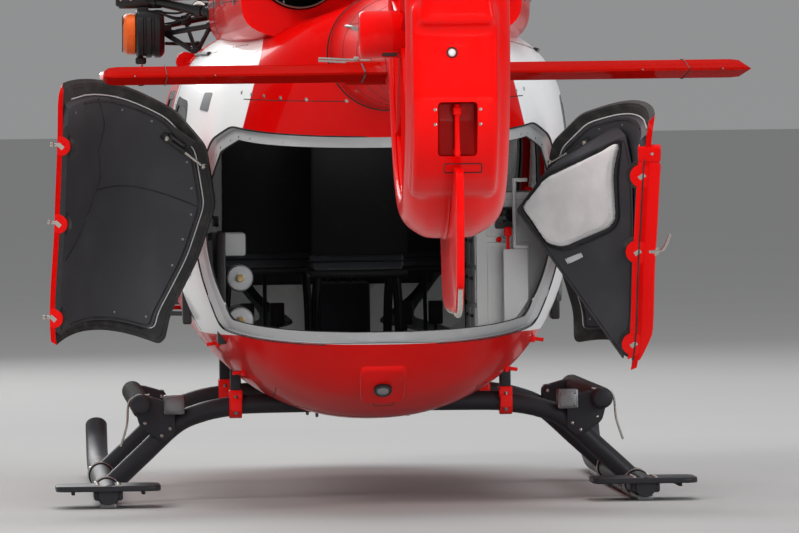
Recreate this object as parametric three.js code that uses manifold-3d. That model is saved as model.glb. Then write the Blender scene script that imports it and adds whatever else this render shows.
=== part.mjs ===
// A twin-engine light rescue helicopter, parked on its skids with its rear doors open.
// Millimetres. +Z is up, +Y points to the tail and +X to the aircraft's left side.
// The shapes below are written at their station, the distance aft of the rotor mast, which
// is their Y inside the aircraft group. The group then moves the middle of the whole object,
// rotor blades included, over the origin, and the skids stand on Z = 0.
import * as THREE from "three";
import { mergeVertices } from "three/addons/utils/BufferGeometryUtils.js";
import Module from "manifold-3d";

// Driving dimensions
const MAST_Y = -2110;
const GAP = 0.3; // between pieces that touch
const WALL = 30; // skin, frames and trim of the cabin as one wall
const REAR_DOOR = { rim: 22, core: 45, rimWidth: 65, seam: 17, centreSeam: 10 };
const SEAM = 9; // running gap round the front doors
const FIXED_SEAM = 0.6; // gap round the sliding doors
const FAR = 1200; // past the widest piece, for cutting tools

const FLOOR_TOP = 650;
const FLOOR_THICKNESS = 24;
const STRETCHER_DECK = { half: 290, front: 180, rear: 1740, height: 24 };
const SKID_X = 1150;
const SKID_RADIUS = 50;
const SKID_Z = 60;
const SKID_REAR = 1420;
const CROSS_TUBE_RADIUS = 42;
const CROSS_TUBES = { front: -760, rear: 860 };
const STEP_X = 1000;
const STEP_Z = 430;
const STEP_RADIUS = 45;

const ROTOR_RADIUS = 5500;
const HUB_Z = 3310;
const BLADE_ROOT = 420;
const MAST_RADIUS = 62;
const FIRST_BLADE_ANGLE = 45;

const BOOM_ROOT = 2854;
const BOOM_END = 6320;
const STABILIZER_STATION = 5750;
const STABILIZER_Z = 1822;
const STABILIZER_HALF_SPAN = 1212;
const FAN = { station: 7190, z: 1955, ductRadius: 580, bladeTip: 570, blades: 10, vanes: 7 };
const HUB_FAIRING = { radius: 86, inner: 18, outer: 313 };

const ENGINE_X = 340;
const EXHAUST_Z = 2292;
const EXHAUST_RADIUS = 178;

// The rear doors swing on an axis that leans aft and inwards.
const REAR_HINGE = { x: 808, station: 1895, z: 1140, leanIn: -0.195, leanAft: 0.524 };
const REAR_DOOR_OPEN = { left: 109.2, right: 82.4 };
const FRONT_HINGE = { x: 842, station: -1716 };

// Cabin sections: station, half width, and the height of the keel, widest line and roof,
// with the roundness of the lower and upper half (2 is an ellipse, more is squarer).
const CABIN_ROWS = rows(
  ["s", "half", "low", "mid", "high", "nLow", "nHigh"],
  [
    [-2800, 70, 890, 950, 1010, 2, 2],
    [-2730, 290, 735, 950, 1130, 2, 2.1],
    [-2500, 520, 580, 985, 1320, 2.05, 2.3],
    [-2150, 690, 475, 1060, 1570, 2.1, 2.7],
    [-1750, 795, 405, 1150, 1830, 2.15, 3.2],
    [-1300, 848, 370, 1210, 2000, 2.15, 3.7],
    [-700, 865, 352, 1230, 2065, 2.15, 4],
    [100, 865, 350, 1230, 2075, 2.15, 4],
    [800, 865, 352, 1230, 2075, 2.15, 4],
    [1250, 850, 375, 1240, 2075, 2.15, 3.9],
    [1650, 808, 462, 1275, 2078, 2.2, 3.6],
    [2000, 742, 700, 1370, 2085, 2.3, 3.1],
    [2350, 610, 1130, 1590, 2100, 2.3, 2.7],
    [2700, 400, 1555, 1840, 2130, 2.2, 2.3],
    [2850, 240, 1692, 1930, 2168, 2, 2],
  ],
);
// Engine and gearbox cowling, over the cabin roof.
const COWL_ROWS = rows(
  ["s", "half", "low", "mid", "high", "nLow", "nHigh"],
  [
    [-1480, 110, 1950, 1990, 2060, 2, 2],
    [-1250, 330, 1930, 2050, 2200, 3, 2.2],
    [-900, 470, 1930, 2080, 2430, 4, 2.3],
    [-400, 570, 1930, 2110, 2690, 4, 2.4],
    [100, 640, 1930, 2130, 2800, 4, 2.5],
    [700, 672, 1930, 2150, 2780, 4, 2.6],
    [1400, 670, 1930, 2150, 2690, 4, 2.6],
    [2000, 640, 1950, 2160, 2560, 4, 2.6],
    [2360, 585, 1980, 2180, 2490, 4, 2.6],
  ],
);
const BOOM_ROWS = rows(
  ["s", "half", "low", "mid", "high", "nLow", "nHigh"],
  [
    [BOOM_ROOT, 238, 1694, 1930, 2166, 2, 2],
    [4000, 208, 1706, 1915, 2124, 2, 2],
    [5200, 180, 1700, 1890, 2082, 2, 2],
    [BOOM_END, 158, 1672, 1876, 2080, 2, 2],
  ],
);
// From the boom's end into the fan shroud.
const SHROUD_NECK_ROWS = rows(
  ["s", "half", "low", "mid", "high", "nLow", "nHigh"],
  [
    [BOOM_END + GAP, 158, 1672, 1876, 2080, 2, 2],
    [6500, 160, 1590, 1885, 2200, 2, 2.2],
    [6750, 152, 1460, 1930, 2420, 2.2, 2.4],
    [7050, 148, 1390, 1955, 2520, 2.4, 2.6],
  ],
);
const TAIL_FAIRING_ROWS = rows(
  ["s", "half", "low", "mid", "high", "nLow", "nHigh"],
  [
    [2366, 128, 2040, 2150, 2440, 2, 2.2],
    [2600, 112, 2040, 2120, 2330, 2, 2.2],
    [2850, 92, 2040, 2110, 2240, 2, 2.2],
    [3250, 50, 2040, 2080, 2160, 2, 2],
  ],
);
// Fin: height, leading and trailing edge, and half thickness at its thickest and at the rear.
const FIN_ROWS = rows(
  ["z", "lead", "trail", "half", "rear"],
  [
    [1980, 6560, 7960, 150, 132],
    [2350, 6800, 7972, 142, 108],
    [2800, 7080, 8000, 130, 72],
    [3400, 7390, 8075, 92, 36],
    [3860, 7620, 8132, 64, 20],
    [3965, 7720, 8120, 36, 10],
  ],
);
// Outlines of the doors and windows in side view: station, height.
const FRONT_DOOR = [[-1700, 680], [-620, 680], [-620, 1900], [-1100, 1880], [-1700, 1080]];
const FRONT_DOOR_WINDOW = [[-1560, 1140], [-720, 1140], [-720, 1790], [-1072, 1775]];
const SLIDING_DOOR = [[-560, 680], [920, 680], [920, 1905], [-560, 1905]];
const SLIDING_DOOR_WINDOW = [[-410, 1130], [770, 1130], [770, 1785], [-410, 1785]];
const QUARTER_WINDOW = [[1090, 1240], [1560, 1280], [1600, 1735], [1090, 1765]];
const WINDSCREEN = [[-2950, 1140], [-1800, 1050], [-1245, 1775], [-1500, 2120], [-2950, 2120]];
const CHIN_WINDOW = [[-2640, 690], [-2080, 620], [-1960, 880], [-2560, 985]];
const REAR_MOUTH = [
  [1650, 775], [3200, 450], [3200, 1575], [2720, 1575], [2300, 1625],
  [2100, 1570], [1900, 1380], [1800, 1140], [1730, 900],
];
// Flat-faced box inside the right rear door and the pouch on its face, while the door is
// closed: distance from the middle, station, height. The root is station and height on the lining.
const DOOR_BOX_FACE = [
  [608, 1830, 1415], [573, 2044, 1495], [391, 2466, 1483], [336, 2426, 1372], [262, 2311, 1189],
  [143, 2084, 864], [117, 1959, 746],
];
const DOOR_BOX_ROOT = [
  [1990, 1350], [2120, 1490], [2430, 1512], [2450, 1400], [2380, 1300], [2250, 1120], [2130, 960],
  [1990, 840], [1880, 900], [1900, 1100],
];
const DOOR_BOX_OVERLAP = 3; // how far the root reaches into the lining
const POUCH = [
  [596, 1864, 1418], [567, 2038, 1483], [396, 2447, 1478], [361, 2342, 1359], [299, 2252, 1208],
  [311, 2188, 1187], [413, 1956, 1197], [447, 1913, 1221], [476, 1885, 1248],
];
const POUCH_DEPTH = 36;
const WINDSCREEN_STRIP = 32; // half of the post between the two panes
// Level joints of the shell, the station of the nose's joint, and the aft end of the nose's post
const SHELL_JOINTS = { floor: 650, roof: 1910, nose: -1790, quarter: 945 };
const POST_TOP = -1300;
const CHIN_STRIP = 90;

const wasm = await Module();
wasm.setup();

// Tables
function rows(columns, values) {
  return values.map((row) => Object.fromEntries(row.map((v, i) => [columns[i], v])));
}

// Solids
function solid(geometry) {
  const bare = geometry.clone();
  bare.deleteAttribute("normal");
  bare.deleteAttribute("uv");
  const merged = mergeVertices(bare, 0.01);
  const triVerts = new Uint32Array(merged.index.array);
  const make = () =>
    new wasm.Manifold(
      new wasm.Mesh({ numProp: 3, vertProperties: merged.attributes.position.array, triVerts }),
    );
  const made = make();
  if (made.volume() > 0) return made;
  for (let i = 0; i < triVerts.length; i += 3) {
    [triVerts[i], triVerts[i + 1]] = [triVerts[i + 1], triVerts[i]];
  }
  return make();
}

function union(...solids) {
  return solids.reduce((all, one) => all.add(one));
}

// The largest of the pieces that a cut leaves
function biggest(body) {
  return body.decompose().sort((a, b) => b.volume() - a.volume())[0];
}

function box(x0, x1, s0, s1, z0, z1) {
  const g = new THREE.BoxGeometry(Math.abs(x1 - x0), Math.abs(s1 - s0), Math.abs(z1 - z0));
  return solid(g.translate((x0 + x1) / 2, (s0 + s1) / 2, (z0 + z1) / 2));
}

// A round bar between two points, each [x, station, z].
function rod(from, to, radius, sides = 16) {
  const a = new THREE.Vector3(...from);
  const b = new THREE.Vector3(...to);
  const g = new THREE.CylinderGeometry(radius, radius, a.distanceTo(b), sides);
  const turn = new THREE.Quaternion().setFromUnitVectors(
    new THREE.Vector3(0, 1, 0),
    b.clone().sub(a).normalize(),
  );
  const middle = a.clone().add(b).multiplyScalar(0.5);
  return solid(g.applyQuaternion(turn).translate(middle.x, middle.y, middle.z));
}

// A round tube, bent through points that are each [x, station, z].
function bentTube(points, radius, steps, sides = 12) {
  const path = new THREE.CatmullRomCurve3(points.map((p) => new THREE.Vector3(...p)));
  const circle = new THREE.Shape();
  for (let i = 0; i < sides; i++) {
    const t = (i / sides) * 2 * Math.PI;
    const corner = [radius * Math.cos(t), radius * Math.sin(t)];
    if (i) circle.lineTo(...corner);
    else circle.moveTo(...corner);
  }
  return solid(new THREE.ExtrudeGeometry(circle, { steps, extrudePath: path, curveSegments: 1 }));
}

// A closed shape of the given corners, each rounded with a short curve.
function outline(points, radius = 0) {
  const shape = new THREE.Shape();
  points.forEach((p, i) => {
    const corner = new THREE.Vector2(...p);
    const before = new THREE.Vector2(...points[(i + points.length - 1) % points.length]);
    const after = new THREE.Vector2(...points[(i + 1) % points.length]);
    const cut = (other) => {
      const reach = Math.min(radius, corner.distanceTo(other) / 2.2);
      return corner.clone().lerp(other, reach / corner.distanceTo(other));
    };
    const [from, to] = [cut(before), cut(after)];
    if (i) shape.lineTo(from.x, from.y);
    else shape.moveTo(from.x, from.y);
    if (radius) shape.quadraticCurveTo(corner.x, corner.y, to.x, to.y);
  });
  return shape;
}

// The same corners moved inwards by a distance; they run anticlockwise.
function shrunk(points, distance) {
  const count = points.length;
  const edge = (i) => {
    const a = new THREE.Vector2(...points[i % count]);
    const along = new THREE.Vector2(...points[(i + 1) % count]).sub(a).normalize();
    const inwards = new THREE.Vector2(-along.y, along.x).multiplyScalar(distance);
    return { start: a.add(inwards), along };
  };
  return points.map((_, i) => {
    const first = edge(i + count - 1);
    const second = edge(i);
    const between = second.start.clone().sub(first.start);
    const reach = between.cross(second.along) / first.along.cross(second.along);
    return first.start.clone().addScaledVector(first.along, reach).toArray();
  });
}

const EXTRUDE = { curveSegments: 2, bevelEnabled: false };

// A side-view outline of [station, z] corners, extruded across the aircraft.
function acrossPrism(points, x0, x1, radius = 0) {
  const [low, high] = [Math.min(x0, x1), Math.max(x0, x1)];
  const options = { ...EXTRUDE, depth: high - low };
  const g = new THREE.ExtrudeGeometry(outline(points, radius), options);
  const turn = new THREE.Matrix4().makeBasis(
    new THREE.Vector3(0, 1, 0),
    new THREE.Vector3(0, 0, 1),
    new THREE.Vector3(1, 0, 0),
  );
  return solid(g.applyMatrix4(turn).translate(low, 0, 0));
}

// A plan-view outline of [x, station] corners, extruded upwards.
function uprightPrism(points, z0, z1, radius = 0) {
  const g = new THREE.ExtrudeGeometry(outline(points, radius), { ...EXTRUDE, depth: z1 - z0 });
  return solid(g.translate(0, 0, z0));
}

// A closed surface through rings of equally many points.
function loft(rings) {
  const count = rings[0].length;
  const middle = (ring) =>
    ring.reduce((sum, p) => sum.add(p), new THREE.Vector3()).divideScalar(count);
  const points = [...rings.flat(), middle(rings[0]), middle(rings[rings.length - 1])];
  const first = rings.length * count;
  const index = [];
  for (let j = 0; j < count; j++) {
    const next = (j + 1) % count;
    for (let i = 0; i < rings.length - 1; i++) {
      const a = i * count;
      const b = a + count;
      index.push(a + j, b + j, b + next, a + j, b + next, a + next);
    }
    const last = (rings.length - 1) * count;
    index.push(first, j, next, first + 1, last + next, last + j);
  }
  const g = new THREE.BufferGeometry().setFromPoints(points).setIndex(index);
  return solid(g);
}

// A rounded section: the half width and the two half heights with their roundness.
function sectionRing(row, count) {
  return Array.from({ length: count }, (_, i) => {
    const t = ((i + 0.5) / count) * 2 * Math.PI;
    const up = Math.sin(t) > 0;
    const n = up ? row.nHigh : row.nLow;
    const height = up ? row.high - row.mid : row.mid - row.low;
    const x = row.half * Math.sign(Math.cos(t)) * Math.abs(Math.cos(t)) ** (2 / n);
    const z = row.mid + height * Math.sign(Math.sin(t)) * Math.abs(Math.sin(t)) ** (2 / n);
    return new THREE.Vector3(x, row.s, z);
  });
}

// A hull of sections, moved inwards square to its surface where inset is given.
function hull(table, inset = 0, count = 20) {
  const slope = (key, i) => {
    const a = table[Math.max(i - 1, 0)];
    const b = table[Math.min(i + 1, table.length - 1)];
    return Math.min(Math.hypot(1, (b[key] - a[key]) / (b.s - a.s)), 2.2);
  };
  const moved = table.map((row, i) => ({
    ...row,
    half: row.half - inset * slope("half", i),
    low: row.low + inset * slope("low", i),
    high: row.high - inset * slope("high", i),
  }));
  const kept = inset > 0 ? moved.slice(1, -1) : moved;
  return loft(kept.map((row) => sectionRing(row, count)));
}

// A turned piece about an axis along X, Y or Z; the profile is [radius, along] corners.
function turned(profile, axis, centre, sides = 24) {
  const g = new THREE.LatheGeometry(profile.map((p) => new THREE.Vector2(...p)), sides);
  if (axis === "x") g.rotateZ(-Math.PI / 2);
  if (axis === "z") g.rotateX(Math.PI / 2);
  return solid(g.translate(...centre));
}

// Materials
function paint(color, roughness = 0.3, metalness = 0) {
  return () => new THREE.MeshStandardMaterial({ color, roughness, metalness });
}
const RED = paint(0xc4120a, 0.22);
const BLACK = paint(0x17181a, 0.5);
const DARK_METAL = paint(0x3a3c3f, 0.45, 0.7);
const GREY = paint(0x9a9c9d, 0.5);
const CLOTH = paint(0x2b2d31, 0.85);
const POUCH_CLOTH = paint(0xb9babd, 0.8);
const ORANGE = paint(0xd5531c, 0.4);
const HEATED_METAL = paint(0x4b4038, 0.5, 0.8);
const TINT = { color: 0x20282b, roughness: 0.05, transparent: true, opacity: 0.4 };
const GLASS = () => new THREE.MeshStandardMaterial(TINT);

const aircraft = new THREE.Group();
aircraft.position.y = MAST_Y;

function addNode(name, body, material, parent = aircraft) {
  const m = body.getMesh();
  const g = new THREE.BufferGeometry();
  g.setAttribute("position", new THREE.BufferAttribute(new Float32Array(m.vertProperties), 3));
  g.setIndex(new THREE.BufferAttribute(new Uint32Array(m.triVerts), 1));
  g.computeVertexNormals();
  const mesh = new THREE.Mesh(g, material());
  mesh.name = name;
  parent.add(mesh);
  return mesh;
}

const SIDES = { left: 1, right: -1 };
const bothSides = (make) => Object.entries(SIDES).forEach(([name, side]) => make(name, side));

// The cabin's wall and the band that its glass is cut from
const cabinOuter = hull(CABIN_ROWS);
const cabinClear = hull(CABIN_ROWS, -GAP);
const cabinInner = hull(CABIN_ROWS, WALL);
const cabinInnerClear = hull(CABIN_ROWS, WALL + GAP);
const cabinWall = cabinOuter.subtract(cabinInner);
const glassBand = hull(CABIN_ROWS, 8).subtract(hull(CABIN_ROWS, 20));

const WINDOW_ROUND = 110;
const DOOR_ROUND = 90;
const INNER_X = 150; // side windows and doors are cut from here outwards

function pane(points, radius, side, from = INNER_X) {
  const cutter = acrossPrism(shrunk(points, GAP), side * (from + GAP), side * FAR, radius);
  return glassBand.intersect(cutter);
}

// A cross tube under the floor: it bends down on each side to its skid.
function crossTube(station, radius) {
  const half = [[450, 424], [616, 412], [737, 388], [849, 338], [996, 205], [1118, 92], [1150, 62]];
  const points = [
    ...half.map(([x, z]) => [-x, station, z]).reverse(),
    ...half.map(([x, z]) => [x, station, z]),
  ];
  return bentTube(points, radius, 22, 10);
}

function skidTube(side, radius) {
  const x = side * SKID_X;
  const points = [
    [SKID_REAR, SKID_Z], [600, SKID_Z], [-400, SKID_Z], [-1400, SKID_Z], [-1750, SKID_Z + 14],
    [-1960, SKID_Z + 90], [-2080, SKID_Z + 190],
  ];
  return bentTube(points.map(([s, z]) => [x, s, z]), radius, 14, 12);
}

// Red fittings under the belly that hold the cross tubes.
const FITTING_X = 585;
function gearFitting(station, side) {
  const x = side * FITTING_X;
  const block = box(x - 42, x + 42, station - 62, station + 62, 372, 640);
  return block.subtract(crossTube(station, CROSS_TUBE_RADIUS + GAP)).subtract(cabinInner);
}

// Half the cabin's width at a station and height.
function skinX(station, z) {
  const next = CABIN_ROWS.findIndex((row) => row.s >= station);
  const [a, b] = [CABIN_ROWS[next - 1], CABIN_ROWS[next]];
  const part = (station - a.s) / (b.s - a.s);
  const at = (key) => a[key] + (b[key] - a[key]) * part;
  const high = z > at("mid");
  const height = high ? at("high") - at("mid") : at("mid") - at("low");
  const n = high ? at("nHigh") : at("nLow");
  return at("half") * (1 - (Math.abs(z - at("mid")) / height) ** n) ** (1 / n);
}

// Hinges: a lug on the body round the pin, and a pin with two arms on the door.
const PIN_RADIUS = 9;
const LUG = { radius: 18, half: 14 };
const ARM = { near: 15, far: 36 };
function along(base, direction, distance) {
  return base.map((v, i) => v + direction[i] * distance);
}
function hingeLug(at, direction, root) {
  const ends = (half) => [along(at, direction, -half), along(at, direction, half)];
  const ring = rod(...ends(LUG.half), LUG.radius, 10);
  const arm = rod(at, root, LUG.half - 4, 6);
  const bore = rod(...ends(LUG.half + 4), (PIN_RADIUS + GAP) / Math.cos(Math.PI / 10), 10);
  return ring.add(arm).subtract(bore);
}
function hingePin(at, direction, root) {
  const arms = [-1, 1].map((way) => {
    const middle = along(at, direction, (way * (ARM.near + ARM.far)) / 2);
    const offset = root.map((v, i) => v - at[i]);
    return rod(middle, along(middle, offset, 1), (ARM.far - ARM.near) / 2, 6);
  });
  const pin = rod(along(at, direction, -ARM.far), along(at, direction, ARM.far), PIN_RADIUS, 10);
  return union(pin, ...arms);
}

// Front doors
const FRONT_HINGE_HEIGHTS = [790, 1010];
function frontHinge(side, z, make) {
  const at = [side * FRONT_HINGE.x, FRONT_HINGE.station, z];
  const inX = side * (z < 900 ? 690 : 776);
  const rootStation = FRONT_HINGE.station + (make === hingeLug ? -46 : 62);
  return make(at, [0, 0, 1], [inX, rootStation, z]);
}
bothSides((name, side) => {
  const leaf = cabinWall
    .intersect(acrossPrism(shrunk(FRONT_DOOR, SEAM), side * INNER_X, side * FAR, DOOR_ROUND))
    .subtract(acrossPrism(FRONT_DOOR_WINDOW, side * INNER_X, side * FAR, WINDOW_ROUND));
  const pins = FRONT_HINGE_HEIGHTS.map((z) => frontHinge(side, z, hingePin));
  addNode("front_door_" + name, union(leaf, ...pins), RED);
  addNode("front_door_glass_" + name, pane(FRONT_DOOR_WINDOW, WINDOW_ROUND, side), GLASS);
});

// Sliding doors
bothSides((name, side) => {
  const leaf = cabinWall
    .intersect(acrossPrism(shrunk(SLIDING_DOOR, FIXED_SEAM), side * INNER_X, side * FAR, DOOR_ROUND))
    .subtract(acrossPrism(SLIDING_DOOR_WINDOW, side * INNER_X, side * FAR, WINDOW_ROUND));
  addNode("sliding_door_" + name, leaf, RED);
  addNode("sliding_door_glass_" + name, pane(SLIDING_DOOR_WINDOW, WINDOW_ROUND, side), GLASS);
});

// Rear doors, drawn closed and then swung open about their own leaning axis
const REAR_HINGE_REACH = [-90, 235]; // along the axis from its named point
function rearAxis(side) {
  const { x, station, z, leanIn, leanAft } = REAR_HINGE;
  return {
    at: [side * x, station, z],
    direction: new THREE.Vector3(side * leanIn, leanAft, 1).normalize().toArray(),
  };
}
function rearHinge(side, reach, make) {
  const { at, direction } = rearAxis(side);
  const pin = along(at, direction, reach);
  const [back, up, depth] = make === hingeLug ? [-165, 86, 4] : [20, 0, 18];
  const place = [pin[1] + back, pin[2] + up];
  const root = new THREE.Vector3(side * (skinX(...place) - depth), ...place);
  const axis = new THREE.Vector3(...direction);
  const start = new THREE.Vector3(...pin);
  root.addScaledVector(axis, -root.clone().sub(start).dot(axis)); // square to the pin
  return make(pin, direction, root.toArray());
}
// The plane of the box's face, whose normal points into the cabin
const boxFace = new THREE.Plane().setFromCoplanarPoints(
  ...[0, 2, 6].map((i) => new THREE.Vector3(...DOOR_BOX_FACE[i])),
);
function onBoxFace(side, corner, lift) {
  const at = boxFace.projectPoint(new THREE.Vector3(...corner), new THREE.Vector3());
  return at.addScaledVector(boxFace.normal, lift).multiply(new THREE.Vector3(side, 1, 1)).toArray();
}
function doorBox(side) {
  const depth = REAR_DOOR.core - DOOR_BOX_OVERLAP;
  const root = DOOR_BOX_ROOT.map(([s, z]) => [side * (skinX(s, z) - depth), s, z]);
  return wasm.Manifold.hull([...root, ...DOOR_BOX_FACE.map((corner) => onBoxFace(side, corner, 0))]);
}
function doorPouch(side) {
  const layer = (lift) => POUCH.map((corner) => onBoxFace(side, corner, lift));
  return wasm.Manifold.hull([...layer(GAP), ...layer(POUCH_DEPTH)]);
}
bothSides((name, side) => {
  // A thin rim that clears the sill as it swings, and a thick middle
  const layer = (depth, edge) => {
    const from = side * (REAR_DOOR.centreSeam / 2);
    const cutter = acrossPrism(shrunk(REAR_MOUTH, edge), from, side * FAR);
    return cabinOuter.subtract(hull(CABIN_ROWS, depth)).intersect(cutter);
  };
  const leaf = layer(REAR_DOOR.rim, REAR_DOOR.seam).add(layer(REAR_DOOR.core, REAR_DOOR.rimWidth));
  const pins = REAR_HINGE_REACH.map((reach) => rearHinge(side, reach, hingePin));
  const { at, direction } = rearAxis(side);
  const pivot = new THREE.Group();
  pivot.position.set(...at);
  const angle = THREE.MathUtils.degToRad(-side * REAR_DOOR_OPEN[name]);
  pivot.quaternion.setFromAxisAngle(new THREE.Vector3(...direction), angle);
  aircraft.add(pivot);
  const swung = (node, body, material) =>
    addNode(node, body, material, pivot).position.set(...at.map((v) => -v));
  const inside = name === "right" ? [doorBox(side)] : [];
  swung("rear_door_" + name, union(leaf, ...pins, ...inside), RED);
  if (name === "right") swung("door_pouch", doorPouch(side), POUCH_CLOTH);
});

// Fuselage
function fuselage() {
  let body = cabinWall.subtract(acrossPrism(REAR_MOUTH, -FAR, FAR));
  for (const station of Object.values(CROSS_TUBES)) {
    body = body.subtract(crossTube(station, CROSS_TUBE_RADIUS + 4));
    for (const side of Object.values(SIDES)) body = body.add(gearFitting(station, side));
  }
  for (const side of Object.values(SIDES)) {
    const cuts = [
      [FRONT_DOOR, DOOR_ROUND, INNER_X], [SLIDING_DOOR, DOOR_ROUND, INNER_X],
      [QUARTER_WINDOW, WINDOW_ROUND, INNER_X], [WINDSCREEN, WINDOW_ROUND, WINDSCREEN_STRIP],
      [CHIN_WINDOW, WINDOW_ROUND, CHIN_STRIP],
    ];
    for (const [points, radius, from] of cuts) {
      body = body.subtract(acrossPrism(points, side * from, side * FAR, radius));
    }
    for (const z of FRONT_HINGE_HEIGHTS) body = body.add(frontHinge(side, z, hingeLug));
    for (const reach of REAR_HINGE_REACH) body = body.add(rearHinge(side, reach, hingeLug));
  }
  return body;
}
const shell = fuselage();
const shellBetween = (s0, s1, z0, z1, half = FAR) =>
  shell.intersect(box(-half, half, s0, s1, z0 + GAP / 2, z1 - GAP / 2));
const { floor, roof, nose, quarter } = SHELL_JOINTS;
const noseShape = shellBetween(-FAR * 3, nose - GAP / 2, floor, roof).add(
  shellBetween(nose - GAP, POST_TOP, floor, roof, WINDSCREEN_STRIP + 20),
);
addNode("fuselage_belly", shellBetween(-FAR * 3, FAR * 3, 0, floor), RED);
addNode("fuselage_roof", shellBetween(-FAR * 3, FAR * 3, roof, FAR * 3), RED);
addNode("fuselage_nose", noseShape, RED);
bothSides((name, side) => {
  const half = box((side * GAP) / 2, side * FAR, -FAR * 3, FAR * 3, 0, FAR * 3);
  const wall = (s0, s1) => biggest(shellBetween(s0, s1, floor, roof).intersect(half));
  addNode("fuselage_side_" + name, wall(nose + GAP / 2, quarter - GAP / 2), RED);
  addNode("fuselage_quarter_" + name, wall(quarter + GAP / 2, FAR * 3), RED);
});
bothSides((name, side) => {
  addNode("windscreen_" + name, pane(WINDSCREEN, WINDOW_ROUND, side, WINDSCREEN_STRIP), GLASS);
  addNode("chin_window_" + name, pane(CHIN_WINDOW, WINDOW_ROUND, side, CHIN_STRIP), GLASS);
  addNode("quarter_window_" + name, pane(QUARTER_WINDOW, WINDOW_ROUND, side), GLASS);
});

// Cabin floor with its raised stretcher deck, and what stands on it
function cabinFloor() {
  const { half, front, rear, height } = STRETCHER_DECK;
  const plate = box(-FAR, FAR, -2300, 1980, FLOOR_TOP - FLOOR_THICKNESS, FLOOR_TOP);
  const deck = box(-half, half, front, rear, FLOOR_TOP - 10, FLOOR_TOP + height);
  return plate.intersect(cabinInnerClear).add(deck);
}
addNode("cabin_floor", cabinFloor(), GREY);

const FLOOR_SEAT = FLOOR_TOP + GAP;
function chair(x, station, width) {
  const profile = [
    [0, 0], [430, 0], [430, 300], [500, 320], [640, 1010], [560, 1030], [430, 420], [0, 400],
  ];
  const points = profile.map(([s, z]) => [station + s, FLOOR_SEAT + z]);
  return acrossPrism(points, x - width / 2, x + width / 2).intersect(cabinInnerClear);
}
bothSides((name, side) => addNode("front_seat_" + name, chair(side * 370, -1500, 460), CLOTH));
addNode("medical_seat", chair(0, -560, 470), CLOTH);

function instrumentPanel() {
  const pedestal = box(-120, 120, -2120, -1640, FLOOR_SEAT, 900);
  const binnacle = acrossPrism([[-2240, 880], [-1990, 880], [-1950, 1180], [-2140, 1200]], -430, 430);
  return union(pedestal, binnacle);
}
addNode("instrument_panel", instrumentPanel().intersect(cabinInnerClear), BLACK);
addNode(
  "medical_cabinet",
  box(-FAR, -430, 760, 1540, FLOOR_SEAT, 1330).intersect(cabinInnerClear),
  GREY,
);

// Engine deck: the masses inside, then the cowls round them
const ROOF_Z = 2040;
const GEARBOX = { half: 250, front: -330, rear: 360, top: 2560 };
const gearbox = box(
  -GEARBOX.half, GEARBOX.half, GEARBOX.front, GEARBOX.rear, ROOF_Z, GEARBOX.top,
);
addNode("main_gearbox", gearbox.subtract(cabinClear), DARK_METAL);
const ENGINE = { half: 170, front: 620, rear: 1700, top: 2410 };
bothSides((name, side) => {
  const x = side * ENGINE_X;
  const block = box(x - ENGINE.half, x + ENGINE.half, ENGINE.front, ENGINE.rear, ROOF_Z, ENGINE.top);
  addNode("engine_" + name, block.subtract(cabinClear), DARK_METAL);
});
const EXHAUST_REAR = 2440;
bothSides((name, side) => {
  const length = EXHAUST_REAR - ENGINE.rear - GAP;
  const profile = [
    [0, 0], [EXHAUST_RADIUS - 40, 0], [EXHAUST_RADIUS, 200], [EXHAUST_RADIUS, length],
    [EXHAUST_RADIUS - 7, length], [EXHAUST_RADIUS - 7, 206], [EXHAUST_RADIUS - 47, 40], [0, 40],
  ];
  const pipe = turned(profile, "y", [side * ENGINE_X, ENGINE.rear + GAP, EXHAUST_Z], 24);
  addNode("exhaust_" + name, pipe.subtract(cabinClear), HEATED_METAL);
});

const COWL_SPLIT = 480;
const cowlWall = hull(COWL_ROWS)
  .subtract(hull(COWL_ROWS, WALL))
  .subtract(cabinClear)
  .subtract(box(-FAR, FAR, -FAR * 2, FAR * 3, 1000, 1900));
const MAST_HOLE = 150;
addNode(
  "mast_cowl",
  cowlWall
    .intersect(box(-FAR, FAR, -1500, COWL_SPLIT - GAP, 1900, 3000))
    .subtract(rod([0, 0, 2400], [0, 0, 3000], MAST_HOLE, 24)),
  RED,
);
bothSides((name, side) => {
  const x = side * ENGINE_X;
  const half = cowlWall
    .intersect(box(side * (GAP / 2), side * FAR, COWL_SPLIT, 2400, 1900, 3000))
    .subtract(rod([x, 1900, EXHAUST_Z], [x, 2600, EXHAUST_Z], EXHAUST_RADIUS + GAP, 24));
  addNode("engine_cowl_" + name, half, RED);
});

// Tail
const boom = hull(BOOM_ROWS, 0, 24);
addNode(
  "tail_fairing",
  hull(TAIL_FAIRING_ROWS, 0, 16).subtract(cabinClear).subtract(hull(BOOM_ROWS, -GAP, 24)),
  RED,
);

// Stabilizer section: fraction of chord from the nose, fraction of thickness above and below.
function stabilizerShape(growth) {
  const chord = 560;
  const upper = [[0, 0], [0.03, 0.3], [0.12, 0.48], [0.32, 0.54], [0.65, 0.34], [1, 0.08]];
  const lower = [[0.98, -0.1], [0.65, -0.3], [0.32, -0.46], [0.12, -0.4], [0.03, -0.24]];
  const thickness = 70 + 2 * growth;
  const points = [...upper, ...lower]
    .map(([f, t]) => [
      STABILIZER_STATION - chord / 2 + chord * f + growth * (f < 0.5 ? -1 : 1),
      STABILIZER_Z + thickness * t,
    ])
    .reverse();
  return points;
}
const stabilizerPrism = (reach, growth) => acrossPrism(stabilizerShape(growth), -reach, reach);
addNode("stabilizer", stabilizerPrism(STABILIZER_HALF_SPAN, 0), RED);
addNode("tail_boom", boom.subtract(stabilizerPrism(400, GAP * 2)), RED);

const DUCT_SIDES = 32;
const FAN_CENTRE = [0, FAN.station, FAN.z];
const RIM_RADIUS = 738;
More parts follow.
